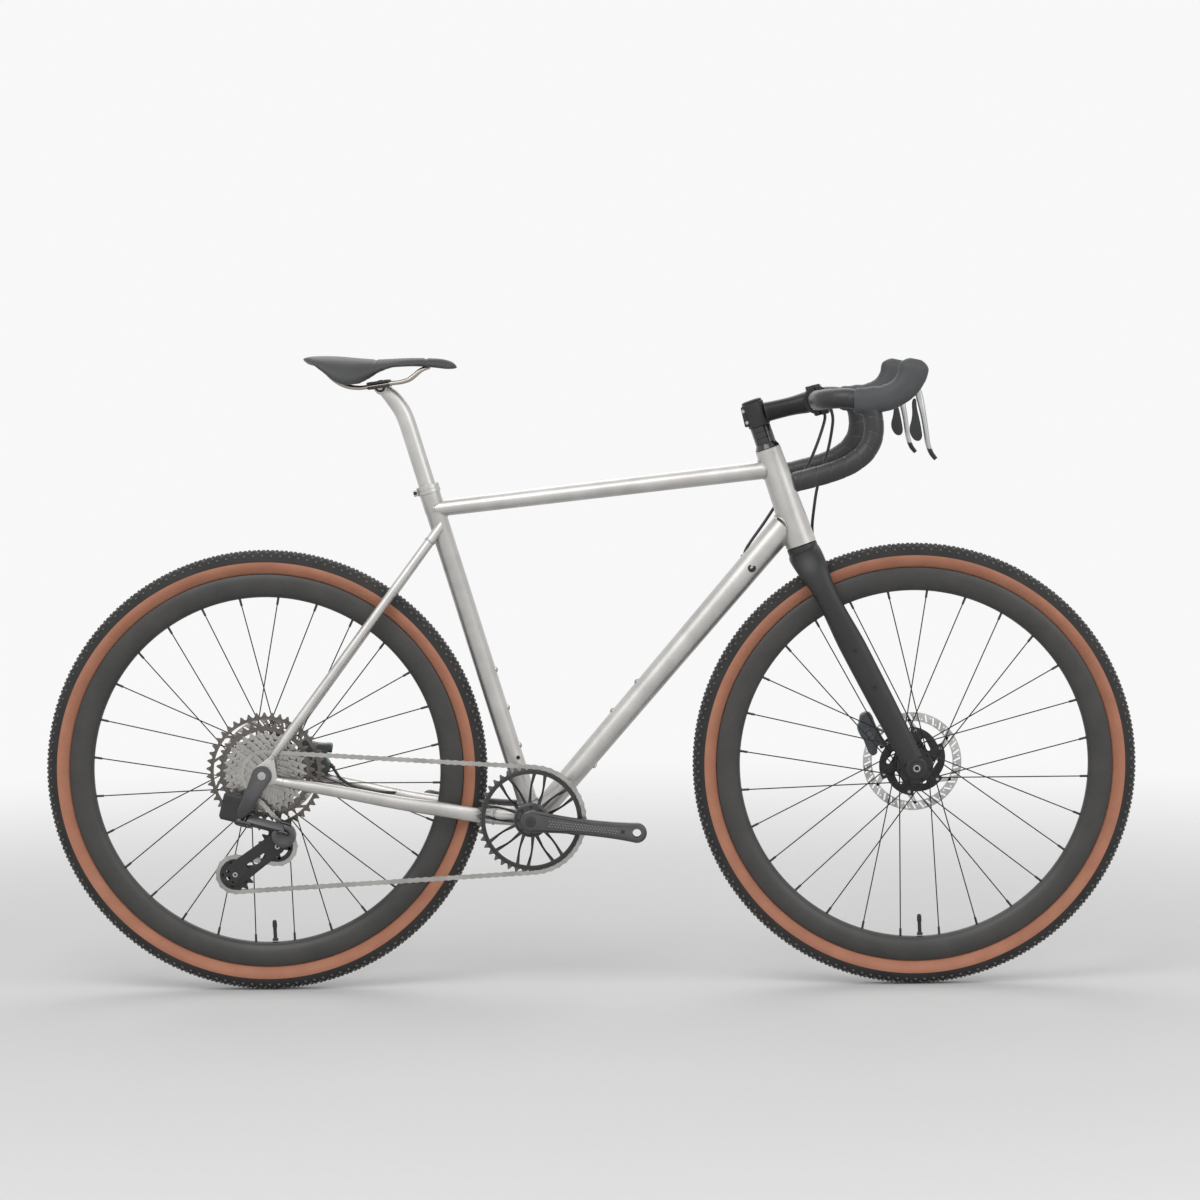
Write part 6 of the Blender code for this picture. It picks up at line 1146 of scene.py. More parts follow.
# Bead where one tube meets another, in the plane across the first.
def weldBead(centre, axis, halfWide, halfHigh, thick, pools, reference=leftWay):
    axis = unit(vec(*axis))
    side = unit(np.cross(vec(*reference), axis))
    ring = ovalRing(centre, side, np.cross(axis, side), halfWide, halfHigh, pools * 6)
    return beadRound(*ring, axis, thick, pools, 0.8, 1.5)


# Slides points along a direction to a round tube's surface: the first root of a quadratic for each
# point.
def meetTube(spots, way, foot, throughWay, r):
    toFoot = spots - foot
    flatWay = way - throughWay * (way @ throughWay)
    flat = toFoot - np.outer(toFoot @ throughWay, throughWay)
    qa, qb, qc = flatWay @ flatWay, 2 * flat @ flatWay, np.sum(flat * flat, 1) - r**2
    root = np.sqrt(np.maximum(qb**2 - 4 * qa * qc, 0))
    return spots + way * ((-qb - root) / (2 * qa))[:, None]


# Tube whose first end is cut to the round tube it stands on; its cap follows that tube's surface.
def copedTube(rows, way, foot, throughWay, r):
    centre = rows[0].mean(0)
    ends = np.stack([centre + (rows[0] - centre) * share for share in (0.05, 0.35, 0.7, 0.9, 1.0)])
    met = meetTube(ends.reshape(-1, 3), way, foot, throughWay, r).reshape(ends.shape)
    return surface(np.concatenate([met, rows[1:]]), True, True)


# Bead where a tube's end meets a round tube standing across it: each point slides along to that
# surface.
def saddleBead(end, way, halfWide, halfHigh, foot, throughWay, r, thick, pools=28):
    way, side = unit(vec(*way)), leftWay
    spots, out = ovalRing(end, side, np.cross(way, side), halfWide, halfHigh, pools * 6)
    spots = meetTube(spots, way, vec(*foot), unit(vec(*throughWay)), r)
    return beadRound(spots, out, -way, thick, pools, 1.0, 1.3)


# Bar across the bicycle, half its length to each side.
def crossBar(middle, half, r, tint):
    return bar(middle - vec(0, half, 0), middle + vec(0, half, 0), r, tint=tint)


# Boss: a short turned collar with a dark screw head in it.
def boss(spot, way, r=0.0046, high=0.0016):
    spot, way = vec(*spot), unit(vec(*way))
    return [turned([(-0.003, 0.0024), (-0.003, r), (high - 0.0004, r), (high, r - 0.0004),
        (high, 0.0024)], spot, way, 24), turned([(-0.002, 0.0), (-0.002, 0.003),
        (high + 0.0002, 0.003), (high + 0.0008, 0.0024), (high + 0.0008, 0.0013),
        (high - 0.0004, 0.0012), (high - 0.0004, 0.0)], spot, way, 20, tint=2)]


# Head tube, seat tube and shell are turned forms; the top and down tubes are ovals whose halves
# change evenly.
def makeFrame(f):
    foot, steer, seatWay = f["headFoot"], unit(f["steer"]), unit(f["seatWay"])
    length = f["headLength"]
    # head tube: waisted turned form with thicker rings at both ends
    t = np.linspace(0, 1, 24)
    inner, outer = 0.018, f["headFootR"] + (f["headTopR"] - f["headFootR"]) * t ** 0.8
    profile = [(0.0, inner + 0.003), (0.0, f["headFootR"] - 0.0008), (0.0008, f["headFootR"])]
    profile += [(0.0012 + (length - 0.0024) * k, r) for k, r in zip(t, outer)]
    profile += [(length - 0.0008, f["headTopR"]), (length, f["headTopR"] - 0.0008),
        (length, 0.0185)]
    framePiece("headTube", [turned(profile, foot, steer, 72)], ["head_tube"], 30)
    # seat tube with its sleeve at the top
    top, r = f["seatLength"], f["seatR"]
    profile = [(0.02, r - 0.002), (0.02, r), (top - 0.045, r), (top - 0.0435, r + 0.0007),
        (top - 0.0006, r + 0.0007), (top, r), (top, r - 0.002)]
    patches = [turned(profile, (0, 0, 0), seatWay, 64)]
    forward = unit(vec(seatWay[2], 0, -seatWay[0]))
    for t in (0.244, 0.18, 0.116):
        patches += boss(seatWay * t + forward * r, forward)
    patches.append(weldBead(seatWay * 0.0262, seatWay, r + 0.0004, r + 0.0004, 0.0012, 30,
        reference=(1, 0, 0)))
    patches += boss(vec(-0.021, -0.0148, 0.097), (0.0, -1.0, 0.0), 0.004, 0.0008)
    framePiece("seatTube", patches, ["seat_tube"], 30)
    # bottom bracket shell
    s, h = f["shellR"], f["shellHalf"]
    profile = [(-h, 0.0238), (-h, s - 0.0006), (-h + 0.0006, s), (h - 0.0006, s), (h, s - 0.0006),
        (h, 0.0238)]
    framePiece("bottomBracketShell", [turned(profile, (0, 0, 0), steps=72)], ["bb_shell"], 30)
    for side, word in ((-1, "right"), (1, "left")):
        low, high = sorted((side * (h + gap), side * (h + gap + f["cupWide"])))
        notch = angles(96)
        r = f["cupR"] - 0.0012 * (np.cos(notch * 16) > 0.2)
        rows = np.stack([np.full(96, 0.015), r - 0.0005, r, r, r - 0.0005, np.full(96, 0.015)])
        level = np.array([low, low, low + 0.0005, high - 0.0005, high, high])
        points = np.stack([rows * np.cos(notch), np.broadcast_to(level[:, None], rows.shape),
            rows * np.sin(notch)], 2)
        makePiece("bracketCup" + word.capitalize(), [surface(points[:, ::-1], closeAlong=True)],
            ["anodised"], "frame", ["bb_cup_" + word], sharp=30)
    # top tube and down tube
    a, b = seatWay * f["topSeat"], vec(*foot) + steer * f["topHead"]
    way = unit(b - a)
    path = a + np.outer(np.linspace(0.01, np.linalg.norm(b - a) - 0.015, 30), way)
    rows = tube(path, f["topWide"], np.linspace(*f["topHigh"], 30), 48)[0][:-2].reshape(30, 48, 3)
    patches = [copedTube(rows, -way, vec(0, 0, 0), seatWay, f["innerR"])]
    patches.append(saddleBead(a + way * 0.06, -way, f["topWide"], f["topHigh"][0], (0, 0, 0),
        seatWay, f["seatR"], 0.0011))
    patches.append(saddleBead(b - way * 0.06, way, f["topWide"], f["topHigh"][1], foot, steer,
        0.0212, 0.0012))
    framePiece("topTube", patches, ["top_tube"], 40)
    a, b = vec(*f["downFoot"]), vec(*foot) + steer * f["downHead"]
    way = unit(b - a)
    span = np.linalg.norm(b - a)
    path = a + np.outer(np.linspace(0.019, span - 0.018, 40), way)
    share = np.linspace(0, 1, 40)
    patches = [tube(path, mix(*f["downWide"], share), mix(*f["downHigh"], share), 56)]
    patches.append(saddleBead(a + way * 0.09, -way, f["downWide"][0], f["downHigh"][0], (0, 0, 0),
        leftWay, f["shellR"], 0.0013))
    patches.append(saddleBead(b - way * 0.08, way, f["downWide"][1], f["downHigh"][1], foot, steer,
        0.024, 0.0013, 34))
    above = np.cross(way, leftWay)
    above = above if above[2] > 0 else -above
    for x, face in ((0.185, 1), (0.145, 1), (0.088, -1)):
        t = (x - a[0]) / way[0]
        rise = mix(*f["downHigh"], t / span)
        patches += boss(a + way * t + above * rise * face, above * face)
    # oval hose port with its black plug on the near side, and the guide where the rear hose goes in
    for spot, normal in ((vec(0.357, -0.019, 0.398), vec(0.05, -1, 0.05)),
            (vec(0.347, 0.015, 0.415), vec(0.1, 0.42, 0.9))):
        patches.append(turned(mm(2, -2, 0, -2, 6.8, 0.6, 6.8, 1.4, 5.8, 1.4, 3, 1, 2.6, 1, 0), spot,
            normal, 32, tint=2))
    framePiece("downTube", patches, ["down_tube"], 40)


# Stays: ovals carried along smooth lines, mirrored for the left, with dropouts and beads at their
# ends.
def makeStays(f):
    seatWay = unit(f["seatWay"])
    stops = np.array(f["chainstay"])
    dense = smoothPath(stops, 60)
    for side, word in ((-1, "right"), (1, "left")):
        flip = vec(1, side, 1)
        path = dense[:, :3] * flip
        patches = [tube(path, dense[:, 4], dense[:, 3], 32)]
        # dropout: a rounded plate from the chainstay's tip up to the seatstay's foot, round the
        # axle
        low, high = sorted((side * f["dropIn"], side * (f["dropIn"] + f["dropThick"])))
        ax, _, az = wheels["rearAxle"]
        outline = hullOutline([(ax, az, f["dropR"]), (-0.408, 0.07, 0.0055),
            (-0.413, 0.102, 0.0062)], 40)
        patches.append(roundedPlate(outline, low, high, 0.0012, (ax, az, 0.0064), steps=3))
        patches.append(weldBead(path[2], path[3] - path[1], 0.005, 0.0068, 0.0008, 18,
            reference=(0, 0, 1)))
        patches.append(weldBead(path[-9], path[-8] - path[-10], 0.0055, 0.0121, 0.001, 20,
            reference=(0, 0, 1)))
        if side > 0:
            port, way = vec(*hoses["stayPort"]), -unit(hoses["stayPortWay"])
            patches.append(turned(mm(2, -6, 2.7, -6, 4.4, 1, 4.4, 2.2, 3.6, 2.2, 2.7),
                port + vec(0, 0.0005, 0), way, 28, tint=2))
        framePiece("chainstay" + word.capitalize(), patches, ["chainstay_" + word], 40)
        foot = vec(*f["stayFoot"]) * flip
        top = seatWay * f["stayTop"]
        lift = foot * vec(1, 0, 1)
        rise = top * vec(1, 0, 1) - lift
        path = smoothPath([lift + rise * share + vec(0, y * side, 0) for share, y in f["stayY"]],
            50)
        r = np.full(50, f["stayR"])
        r[:6] = np.linspace(0.0048, f["stayR"], 6)
        rows = tube(path, r, r, 28, reference=(0.3, 0, 1))[0][:-2].reshape(50, 28, 3)[::-1]
        patches = [copedTube(rows[2:], unit(path[-1] - path[-4]), vec(0, 0, 0), seatWay,
            f["innerR"])]
        patches.append(weldBead(path[1], path[2] - path[0], 0.0056, 0.0056, 0.0008, 16,
            reference=leftWay))
        patches.append(weldBead(path[-4], path[-3] - path[-5], 0.008, 0.008, 0.0009, 20,
            reference=leftWay))
        framePiece("seatstay" + word.capitalize(), patches, ["seatstay_" + word], 40)


# Seat collar: a turned ring with two fine grooves, its bolt ear behind it and the bolt across.
def makeSeatCollar(f):
    seatWay, r = unit(f["seatWay"]), f["seatR"]
    profile = [(0.0, r + 0.0004), (0.0, 0.0179), (0.0008, 0.0185), (0.0062, 0.0185),
        (0.0066, 0.0181), (0.0074, 0.0181), (0.0078, 0.0185), (0.0132, 0.0185), (0.014, 0.0179),
        (0.014, r + 0.0004)]
    base = seatWay * (f["seatLength"] - 0.014)
    back = vec(-seatWay[2], 0, seatWay[0])
    middle = base + seatWay * 0.007
    patches = [turned(profile, base, seatWay, 72), block(middle + back * 0.0208, back, leftWay,
        (0.0042, 0.0085, 0.0055), 0.0012), crossBar(middle + back * 0.0215, 0.0092, 0.003, 2)]
    framePiece("seatCollar", patches, ["seat_collar"], 30)


makeFrame(frameSizes)
makeStays(frameSizes)
makeSeatCollar(frameSizes)
print("frame made")


# Fork and cockpit. Stops of a leg: share of the length, y, half depth, half width.
fork = dict(crown=(0.442443, 0.0, 0.418449), way=(0.453154, 0.0, -0.891432), length=0.380791,
    stops=((0.0, 0.0, 0.0265, 0.0152), (0.03, 0.0237, 0.026, 0.0147),
    (0.075, 0.037, 0.0239, 0.0121), (0.13, 0.043, 0.02, 0.011), (0.45, 0.0465, 0.0205, 0.01),
    (0.8, 0.0527, 0.0188, 0.0088), (0.965, 0.0578, 0.017, 0.0075)), bosses=(0.489, 0.519, 0.549),
    footY=(0.05, 0.0653))
cockpit = dict(spacerTop=0.201, stemTop=0.241, stemWay=(0.975342, 0.0, 0.220697), clampR=0.0178,
    barClampR=0.0222, barCentre=(0.463796, 0.0, 0.664941), clampHalf=0.0215, barR=0.0119,
    barThick=0.0159, tapeR=0.0157, tapeStart=0.0455, wrapPitch=0.024,
    line=mm(3, 463.796, 0, 664.941, 463.796, -34, 664.941, 463.796, -44, 664.941, 463.796, -150,
    666.441, 469, -183, 668, 486, -202, 669, 508, -210, 668.5, 527, -212.5, 662, 538, -214, 648,
    541.5, -216, 628, 539.5, -218, 607, 529, -220.5, 587, 508, -223.5, 570, 480, -227, 558, 448,
    -229.5, 549, 417, -232, 541.5))
levers = dict(pivot=(0.6035, -0.2135, 0.6975), slotHalf=0.006,
    hood=mm(4, 511.1, 665, 20, 18, 537.5, 665.5, 21.5, 18.8, 563, 670, 20.5, 19, 587, 683, 21.2,
    18.5, 599.5, 700, 22.8, 17, 604.5, 719, 23, 15, 606.5, 728.5, 20, 12),
    lever=mm(4, 603.5, 697.5, 5.2, 5, 608.5, 683, 5.6, 5, 612.5, 669, 5.6, 5, 616, 652, 5, 7.5, 619,
    636, 4.5, 8.5, 622, 615, 4.2, 9, 625, 596, 4, 8.5, 630, 583, 3.8, 7.5, 636.5, 574.5, 3.4, 6),
    paddle=mm(2, 602, 668, 606.4, 668, 607.1, 664, 608, 652, 611, 640, 614, 625, 616.5, 609, 612,
    602, 604, 603, 597.5, 612, 596, 623, 599.5, 634, 601, 646, 600, 660))


# Fork blades: oval sections carried down a smooth line from the crown's middle to each foot.
def makeFork(f):
    crown, way = vec(*f["crown"]), unit(f["way"])
    stops = np.array(f["stops"])
    both = np.vstack([stops[:0:-1] * vec(1, -1, 1, 1), stops])
    line = np.outer(both[:, 0] * f["length"], way) + crown + np.outer(both[:, 1], leftWay)
    dense = smoothPath(np.hstack([line, both[:, 2:]]), 150)
    back = np.cross(way, leftWay)
    path = dense[:, :3]
    first = unit(np.cross(unit(np.gradient(path, axis=0)), back))
    c, s = sectionRing(48, 0.92)
    points = path[:, None] + first[:, None] * (dense[:, 4:5]
        * c)[:, :, None] - back * (dense[:, 3:4] * s)[:, :, None]
    patches = [surface(points, True, True)]
    foot, steer = vec(*frameSizes["headFoot"]), unit(frameSizes["steer"])
    profile = mm(2, -15.5, 19, -13, 24.4, -3, 24.8, -1.2, 24.4, -0.6, 23, -0.6, 10)
    patches.append(turned(profile, foot, steer, 64))
    patches.append(turned(mm(2, -10, 9, -10, 14, 238.5, 14, 238.5, 9), foot, steer, 48))
    axle = vec(*wheels["frontAxle"])
    for side in (-1, 1):
        low, high = sorted((side * f["footY"][0], side * f["footY"][1]))
        patches.append(roundedPlate(circleOutline(axle[0], axle[2], 0.0168, 64), low, high, 0.002,
            (axle[0], axle[2], 0.0066)))
        for x in f["bosses"]:
            share = (x - crown[0]) / (axle[0] - crown[0])
            y, half = (np.interp(share, stops[:, 0], stops[:, k]) for k in (1, 3))
            spot = crown + (axle - crown) * share + vec(0, side * (y + half - 0.0003), 0)
            patches += boss(spot, (0, side, 0), 0.005, 0.0012)
    makePiece("forkBlades", patches, ["carbon", "satinBlack", "anodised"], "steering", ["fork"],
        sharp=38)


# Head of the cockpit: turned spacers, stem and cap on the steerer's line; the stem's arm is a
# squared oval whose halves follow a smooth line, and the bar clamp is two crescents.
def makeCockpit(c):
    foot, steer = vec(*frameSizes["headFoot"]), unit(frameSizes["steer"])
    low = frameSizes["headLength"] + gap
    # spacers: a bevelled bearing cover and three rings with fine joints between them
    profile = [(low, 0.0143), (low, 0.0199), (low + 0.0006, 0.0205), (low + 0.0045, 0.0182),
        (low + 0.0085, 0.0165)]
    for at in (low + 0.009, low + 0.019, low + 0.029):
        top = min(at + 0.0096, c["spacerTop"])
        profile += [(at, 0.0159), (at + 0.0003, 0.0165), (top - 0.0003, 0.0165), (top, 0.0159)]
    profile = [p for p in profile if p[0] <= c["spacerTop"]] + [(c["spacerTop"], 0.0143)]
    makePiece("headsetSpacers", [turned(profile, foot, steer, 72)], ["carbonGloss"], "steering",
        ["headset_spacers"], sharp=30)
    # stem: clamp round the steerer, tapering arm, rear half of the bar clamp, bolts
    way = unit(c["stemWay"])
    start = foot + steer * (c["spacerTop"] + c["stemTop"]) / 2
    r = c["clampR"]
    profile = [(c["spacerTop"] + gap, 0.0143), (c["spacerTop"] + gap, r - 0.0012),
        (c["spacerTop"] + gap + 0.0012, r), (c["stemTop"] - 0.0012, r), (c["stemTop"], r - 0.0012),
        (c["stemTop"], 0.0143)]
    patches = [turned(profile, foot, steer, 72)]
    stops = smoothPath(mm(3, 15, 15.8, 15.5, 35, 15, 15.5, 60, 15, 16.5, 84, 17.2, 20), 24)
    path = start + np.outer(stops[:, 0], way)
    patches.append(tube(path, stops[:, 2], stops[:, 1], 48, square=0.86))
    centre = vec(*c["barCentre"])
    angle = math.atan2(way[2], way[0])
    corners = [(up, y) for up in (-1, 1) for y in (-0.0125, 0.0125)]
    for side in (-1, 1):
        a = np.linspace(-math.pi / 2 + 0.075, math.pi / 2 - 0.075,
            30) + angle + (0 if side > 0 else math.pi)
        arc = np.stack([np.cos(a), np.sin(a)], 1)
        shell = crescent(*(centre[::2] + r * arc for r in (c["barClampR"], 0.0162)), c["clampHalf"],
            0.0012)
        if side < 0:
            patches.append(shell)
            continue
        plates = [shell]
        for up, y in corners:
            spot = centre + steer * up * (c["barClampR"] - 0.0018) + way * 0.0052 + vec(0, y, 0)
            plates.append(block(spot, way, leftWay, (0.0066, 0.005, 0.0044), 0.001))
            plates.append(turned(mm(2, 0, 0, 0, 3.2, 2.4, 3.2, 2.9, 2.7, 2.9, 1.6, 1.2, 1.5, 1.2,
                0), spot + way * 0.006, way, 24, tint=1))
        makePiece("stemFaceplate", plates, ["anodised", "steel"], "steering", ["stem_faceplate"],
            sharp=34)
    for up, y in corners:
        spot = centre + steer * up * (c["barClampR"] - 0.0018) - way * 0.0062 + vec(0, y, 0)
        patches.append(block(spot, way, leftWay, (0.0046, 0.005, 0.0042), 0.001))
    ear = start - way * (r - 0.0008)
    patches.append(block(ear, way, leftWay, (0.0044, 0.008, 0.0165), 0.0014))
    for up in (-0.0095, 0.0095):
        patches.append(crossBar(ear - way * 0.0008 + steer * up, 0.0086, 0.003, 1))
    makePiece("stemBody", patches, ["anodised", "steel"], "steering", ["stem"],
        sharp=34)
    top = c["stemTop"] + gap
    profile = [(top, 0.0), (top, 0.016), (top + 0.0008, 0.0165), (top + 0.002, 0.0165),
        (top + 0.0034, 0.015), (top + 0.0042, 0.012), (top + 0.0042, 0.0052), (top + 0.003, 0.0048),
        (top + 0.003, 0.0)]
    bolt = [(top + 0.0028, 0.0), (top + 0.0028, 0.0038), (top + 0.0041, 0.0036),
        (top + 0.0041, 0.0022), (top + 0.003, 0.002), (top + 0.003, 0.0)]
    makePiece("stemCap", [turned(profile, foot, steer, 56), turned(bolt, foot, steer, 24, tint=1)],
        ["anodised", "steel"], "steering", ["stem_top_cap"], sharp=34)


# Crescent: a shell between an outer and an inner arc, with its ends closed and its long edges drawn
# in.
def crescent(outer, inner, half, edge):
    loop = np.vstack([outer, inner[::-1]])
    small = np.vstack([outer + unit(inner - outer) * edge * 0.8, inner[::-1]])
    rows = np.stack([atLevel(flat, y) for flat, y in ((small, -half), (loop, edge - half),
        (loop, half - edge), (small, half))])
    if turnedArea(loop) > 0:
        rows = rows[:, ::-1]
    verts, faces, tint = surface(rows)
    n, k = len(loop), np.arange(len(outer) - 1)
    strip = np.stack([k, k + 1, n - 2 - k, n - 1 - k], 1)
    return verts, np.vstack([faces, strip[:, ::-1], strip + 3 * n]), tint


# Bar line with a reference direction that turns from up to sideways where the line runs straight
# ahead.
def barFrame(c, count):
    path = smoothPath(c["line"], count)
    t = np.clip((path[:, 0] - 0.49) / 0.026, 0, 1)
    t = np.maximum.accumulate(np.where(path[:, 1] < -0.195, t, 0))[:, None]
    return path, mix(vec(0, 0, 1), vec(0, -1, 0), t * t * (3 - 2 * t))


# Bar: a round tube, thicker in the clamp, where its radius falls with a power of the distance from
# it.
def makeBar(c):
    path, reference = barFrame(c, 220)
    y = -path[:, 1]
    thicker = np.where((path[:, 2] > 0.655) & (y <= 0.05),
        np.clip((0.044 - y) / 0.009, 0, 1) ** 0.7, 0)
    r = mix(c["barR"], c["barThick"], thicker)
    right = tube(path, r, r, 32, reference=reference)
    makePiece("handlebarTube", [right, mirrorPatch(right)], ["carbon"], "steering", ["handlebar"],
        sharp=40)


# Tape: the sleeve's radius steps down by the tape's thickness along one helix, which gives the
# overlapped wraps.
def makeTape(c, side, word):
    path, reference = barFrame(c, 900)
    keep = path[:, 1] < -c["tapeStart"]
    path, reference = path[keep], reference[keep]
    sideWay, up = pathFrames(path, reference)
    along = np.concatenate([[0], np.cumsum(np.linalg.norm(np.diff(path, axis=0), axis=1))])
    a = angles(48)
    turns = along[:, None] / c["wrapPitch"] + a[None] / tau
    share = turns % 1.0
    step = np.clip(share / 0.06, 0, 1)
    r = c["tapeR"] - 0.0011 + 0.0009 * step * (1 - 0.35 * share) + 0.00015 * np.sin(share * math.pi)
    ends = np.clip(np.minimum(along, along[-1] - along) / 0.004, 0, 1)[:, None]
    r = r - 0.0012 * (1 - ends) ** 2
    points = path[:, None] + sideWay[:, None] * (r * np.cos(a))[..., None] + up[:, None] * (r
        * np.sin(a))[..., None]
    patches = [surface(points, True, True)]
    # end plug pressed into the bar, and the finishing band beside the stem
    end, way = path[-1], unit(path[-1] - path[-4])
    patches.append(turned(mm(2, -6, 0, -6, 10.5, -0.4, 10.8, 0, 12.8, 1.2, 11.8, 1.6, 7, 1.6, 0),
        end, way, 40, tint=1))
    patches.append(turned([(0.0, c["barR"]), (0.0, c["tapeR"] - 0.0006),
        (0.014, c["tapeR"] - 0.0006), (0.014, c["barR"])], path[0] + vec(0, 0.0002, 0), (0, -1, 0),
        48, tint=1))
    if side > 0:
        patches = [mirrorPatch(p) for p in patches]
    makePiece("barTape" + word, patches, ["barTapeFinish", "plasticBlack"], "steering",
        ["bar_tape_" + word.lower()], sharp=50)


# Smooth closed outline through corner points by two passes of corner cutting.
def softOutline(corners):
    points = np.asarray(corners, float)
    for _ in range(2):
        ahead = np.roll(points, -1, 0)
        points = np.stack([points * 0.75 + ahead * 0.25, points * 0.25 + ahead * 0.75],
            1).reshape(-1, 2)
    return points


# Hood: a squared oval along a smooth line, with faint ribs by a sine and a rounded nose; the lever
# is a flatter one, and the paddle a plate.
def makeLevers(c, side, word):
    px, py, pz = c["pivot"]
    y = side * -py
    stops = smoothPath([(x, y, z, high, wide) for x, z, high, wide in c["hood"]], 90)
    t = np.linspace(0, 1, 90)
    ribs = 1.0 + 0.02 * np.sin(t * 34) * (t < 0.45) * (t > 0.05)
    nose = np.sqrt(1 - np.clip((t - 0.9) / 0.1, 0, 1) ** 2 * 0.8) * np.clip(0.9 + t * 2.5, 0, 1)
    hood = tube(stops[:, :3], (stops[:, 3] - 0.0004) * nose * ribs, (stops[:, 4] - 0.0004) * nose,
        56, reference=leftWay, square=0.86)
    rubber = makePiece("hood" + word, [hood], ["hoodFinish", "plasticBlack"], None, sharp=45)
    slot = hullOutline([(px, pz, 0.0075), (px + 0.0165, pz - 0.0255, 0.006),
        (px - 0.0125, pz - 0.06, 0.0105), (px + 0.0565, pz - 0.0575, 0.01)], 24)
    cutOut(rubber, [plate(slot, y - c["slotHalf"], y + c["slotHalf"], 0.0002)])
    dress(rubber, "steering", ["hood_" + word.lower()])
    blade = smoothPath([(x, y, z, thick, wide) for x, z, thick, wide in c["lever"]], 90)
    verts, faces, _ = tube(blade[:, :3], blade[:, 3] - 0.0001, blade[:, 4] - 0.0001, 36,
        reference=leftWay, square=0.75)
    low = verts[faces].mean(1)[:, 2] < 0.5905
    patches = mergePatches([(verts, faces[~low], 0), (verts, faces[low], 1)])
    patches.append(roundedPlate(circleOutline(px, pz, 0.0057, 40), y - 0.0047, y + 0.0047, 0.0008,
        (px, pz, 0.002)))
    makePiece("brakeLever" + word, patches, ["leverGrey", "satinBlack"],
        word.lower() + "_brake_lever", ["brake_lever_" + word.lower()], sharp=40)
    makePiece("leverPin" + word, [crossBar(vec(px, y, pz), 0.008, 0.0017, 0)], ["steel"],
        "steering", [], sharp=40)
    outline = softOutline(c["paddle"])
    makePiece("shiftPaddle" + word, [roundedPlate(outline, y - 0.002, y + 0.002, 0.001)],
        ["carbon"], word.lower() + "_shift_paddle", ["shift_paddle_" + word.lower()],
        sharp=40)


makeFork(fork)
makeCockpit(cockpit)
makeBar(cockpit)
for side, word in ((-1, "Right"), (1, "Left")):
    makeTape(cockpit, side, word)
    makeLevers(levers, side, word)
print("fork and cockpit made")


# Brakes, axles and valves
brakes = dict(rotorR=0.0797, trackR=0.0652, half=0.0009, carrierR=0.056, pivotR=0.05,
    slotHalf=0.0018, frontY=0.0345, rearY=0.0555, front=dict(centre=(0.548, 0.039, 0.125),
    along=(0.453154, 0.0, -0.891432), half=(0.035, 0.017, 0.014)),
    rear=dict(centre=(-0.3555, 0.059, 0.0955), along=None, half=(0.029, 0.0265, 0.015)))


# Centre plus radius times (cosine, sine) of the angle.
def polar(centre, r, a):
    return centre[0] + r * math.cos(a), centre[2] + r * math.sin(a)


# Outline that runs from one round end at (r, a) to another at its own r and a.
def slotOutline(centre, first, second, steps):
    return hullOutline([(*polar(centre, r, a), end) for r, a, end in (first, second)], steps)


# Rotor: a drilled steel track on six leaning arms, riveted to a stepped black carrier with six
# windows.
def makeRotor(b, centre, y, word, body):
    low, high = y - b["half"], y + b["half"]
    track = roundedPlate(circleOutline(centre[0], centre[2], b["rotorR"], 180), low, high, 0.0003,
        (centre[0], centre[2], b["trackR"]))
    ring = makePiece("rotorTrack" + word, [track], ["rotorSteel"], None, sharp=40)
    holes = []
    for k in range(36):
        a = k * tau / 36
        single = polar(centre, 0.0725 + 0.0026 * (-1) ** k, a + 0.115)
        for outline in (slotOutline(centre, (0.0682, a, 0.0013), (0.0768, a + 0.06, 0.0013), 12),
                circleOutline(*single, 0.0013, 12)):
            holes.append(plate(outline, low - 0.001, high + 0.001, 0.0001))
    cutOut(ring, holes)
    arms, rivets = [], []
    for k in range(6):
        a = k * tau / 6 + 0.42
        outline = slotOutline(centre, (b["pivotR"] + 0.001, a, 0.0048), (0.0668, a + 0.17, 0.003),
            16)
        arms.append(roundedPlate(outline, low, high, 0.0003))
        x, z = polar(centre, b["pivotR"], a)
        rivets.append(turned(mm(2, -2.1, 0, -2.1, 2.4, -1.6, 2.8, 1.6, 2.8, 2.1, 2.4, 2.1, 0),
            (x, y, z), steps=20))
    a = angles(240)
    saw = ((a - 0.42 - 0.14) / (tau / 6)) % 1.0
    r = b["carrierR"] - 0.0072 * (1 - saw) ** 1.4 * np.clip((1 - saw) * 12, 0, 1)
    outline = vec(*centre)[::2] + ringPoints(240) * r[:, None]
    carrier = makePiece("rotorCarrier" + word, [roundedPlate(outline, y - 0.0016, y + 0.0016,
        0.0005, (centre[0], centre[2], 0.0182), steps=3)], ["anodised"], None, sharp=40)
    windows = []
    for k in range(6):
        a = k * tau / 6 + 0.62
        outline = slotOutline(centre, (0.033, a, 0.0026), (0.0385, a + 0.44, 0.0034), 16)
        windows.append(plate(outline, y - 0.003, y + 0.003, 0.0001))
    cutOut(carrier, windows)
    makePiece("rotorArms" + word, arms + rivets, ["rotorSteel"], body, [], sharp=40)
    dress(ring, body, [word.lower() + "_rotor"])
    dress(carrier, body)


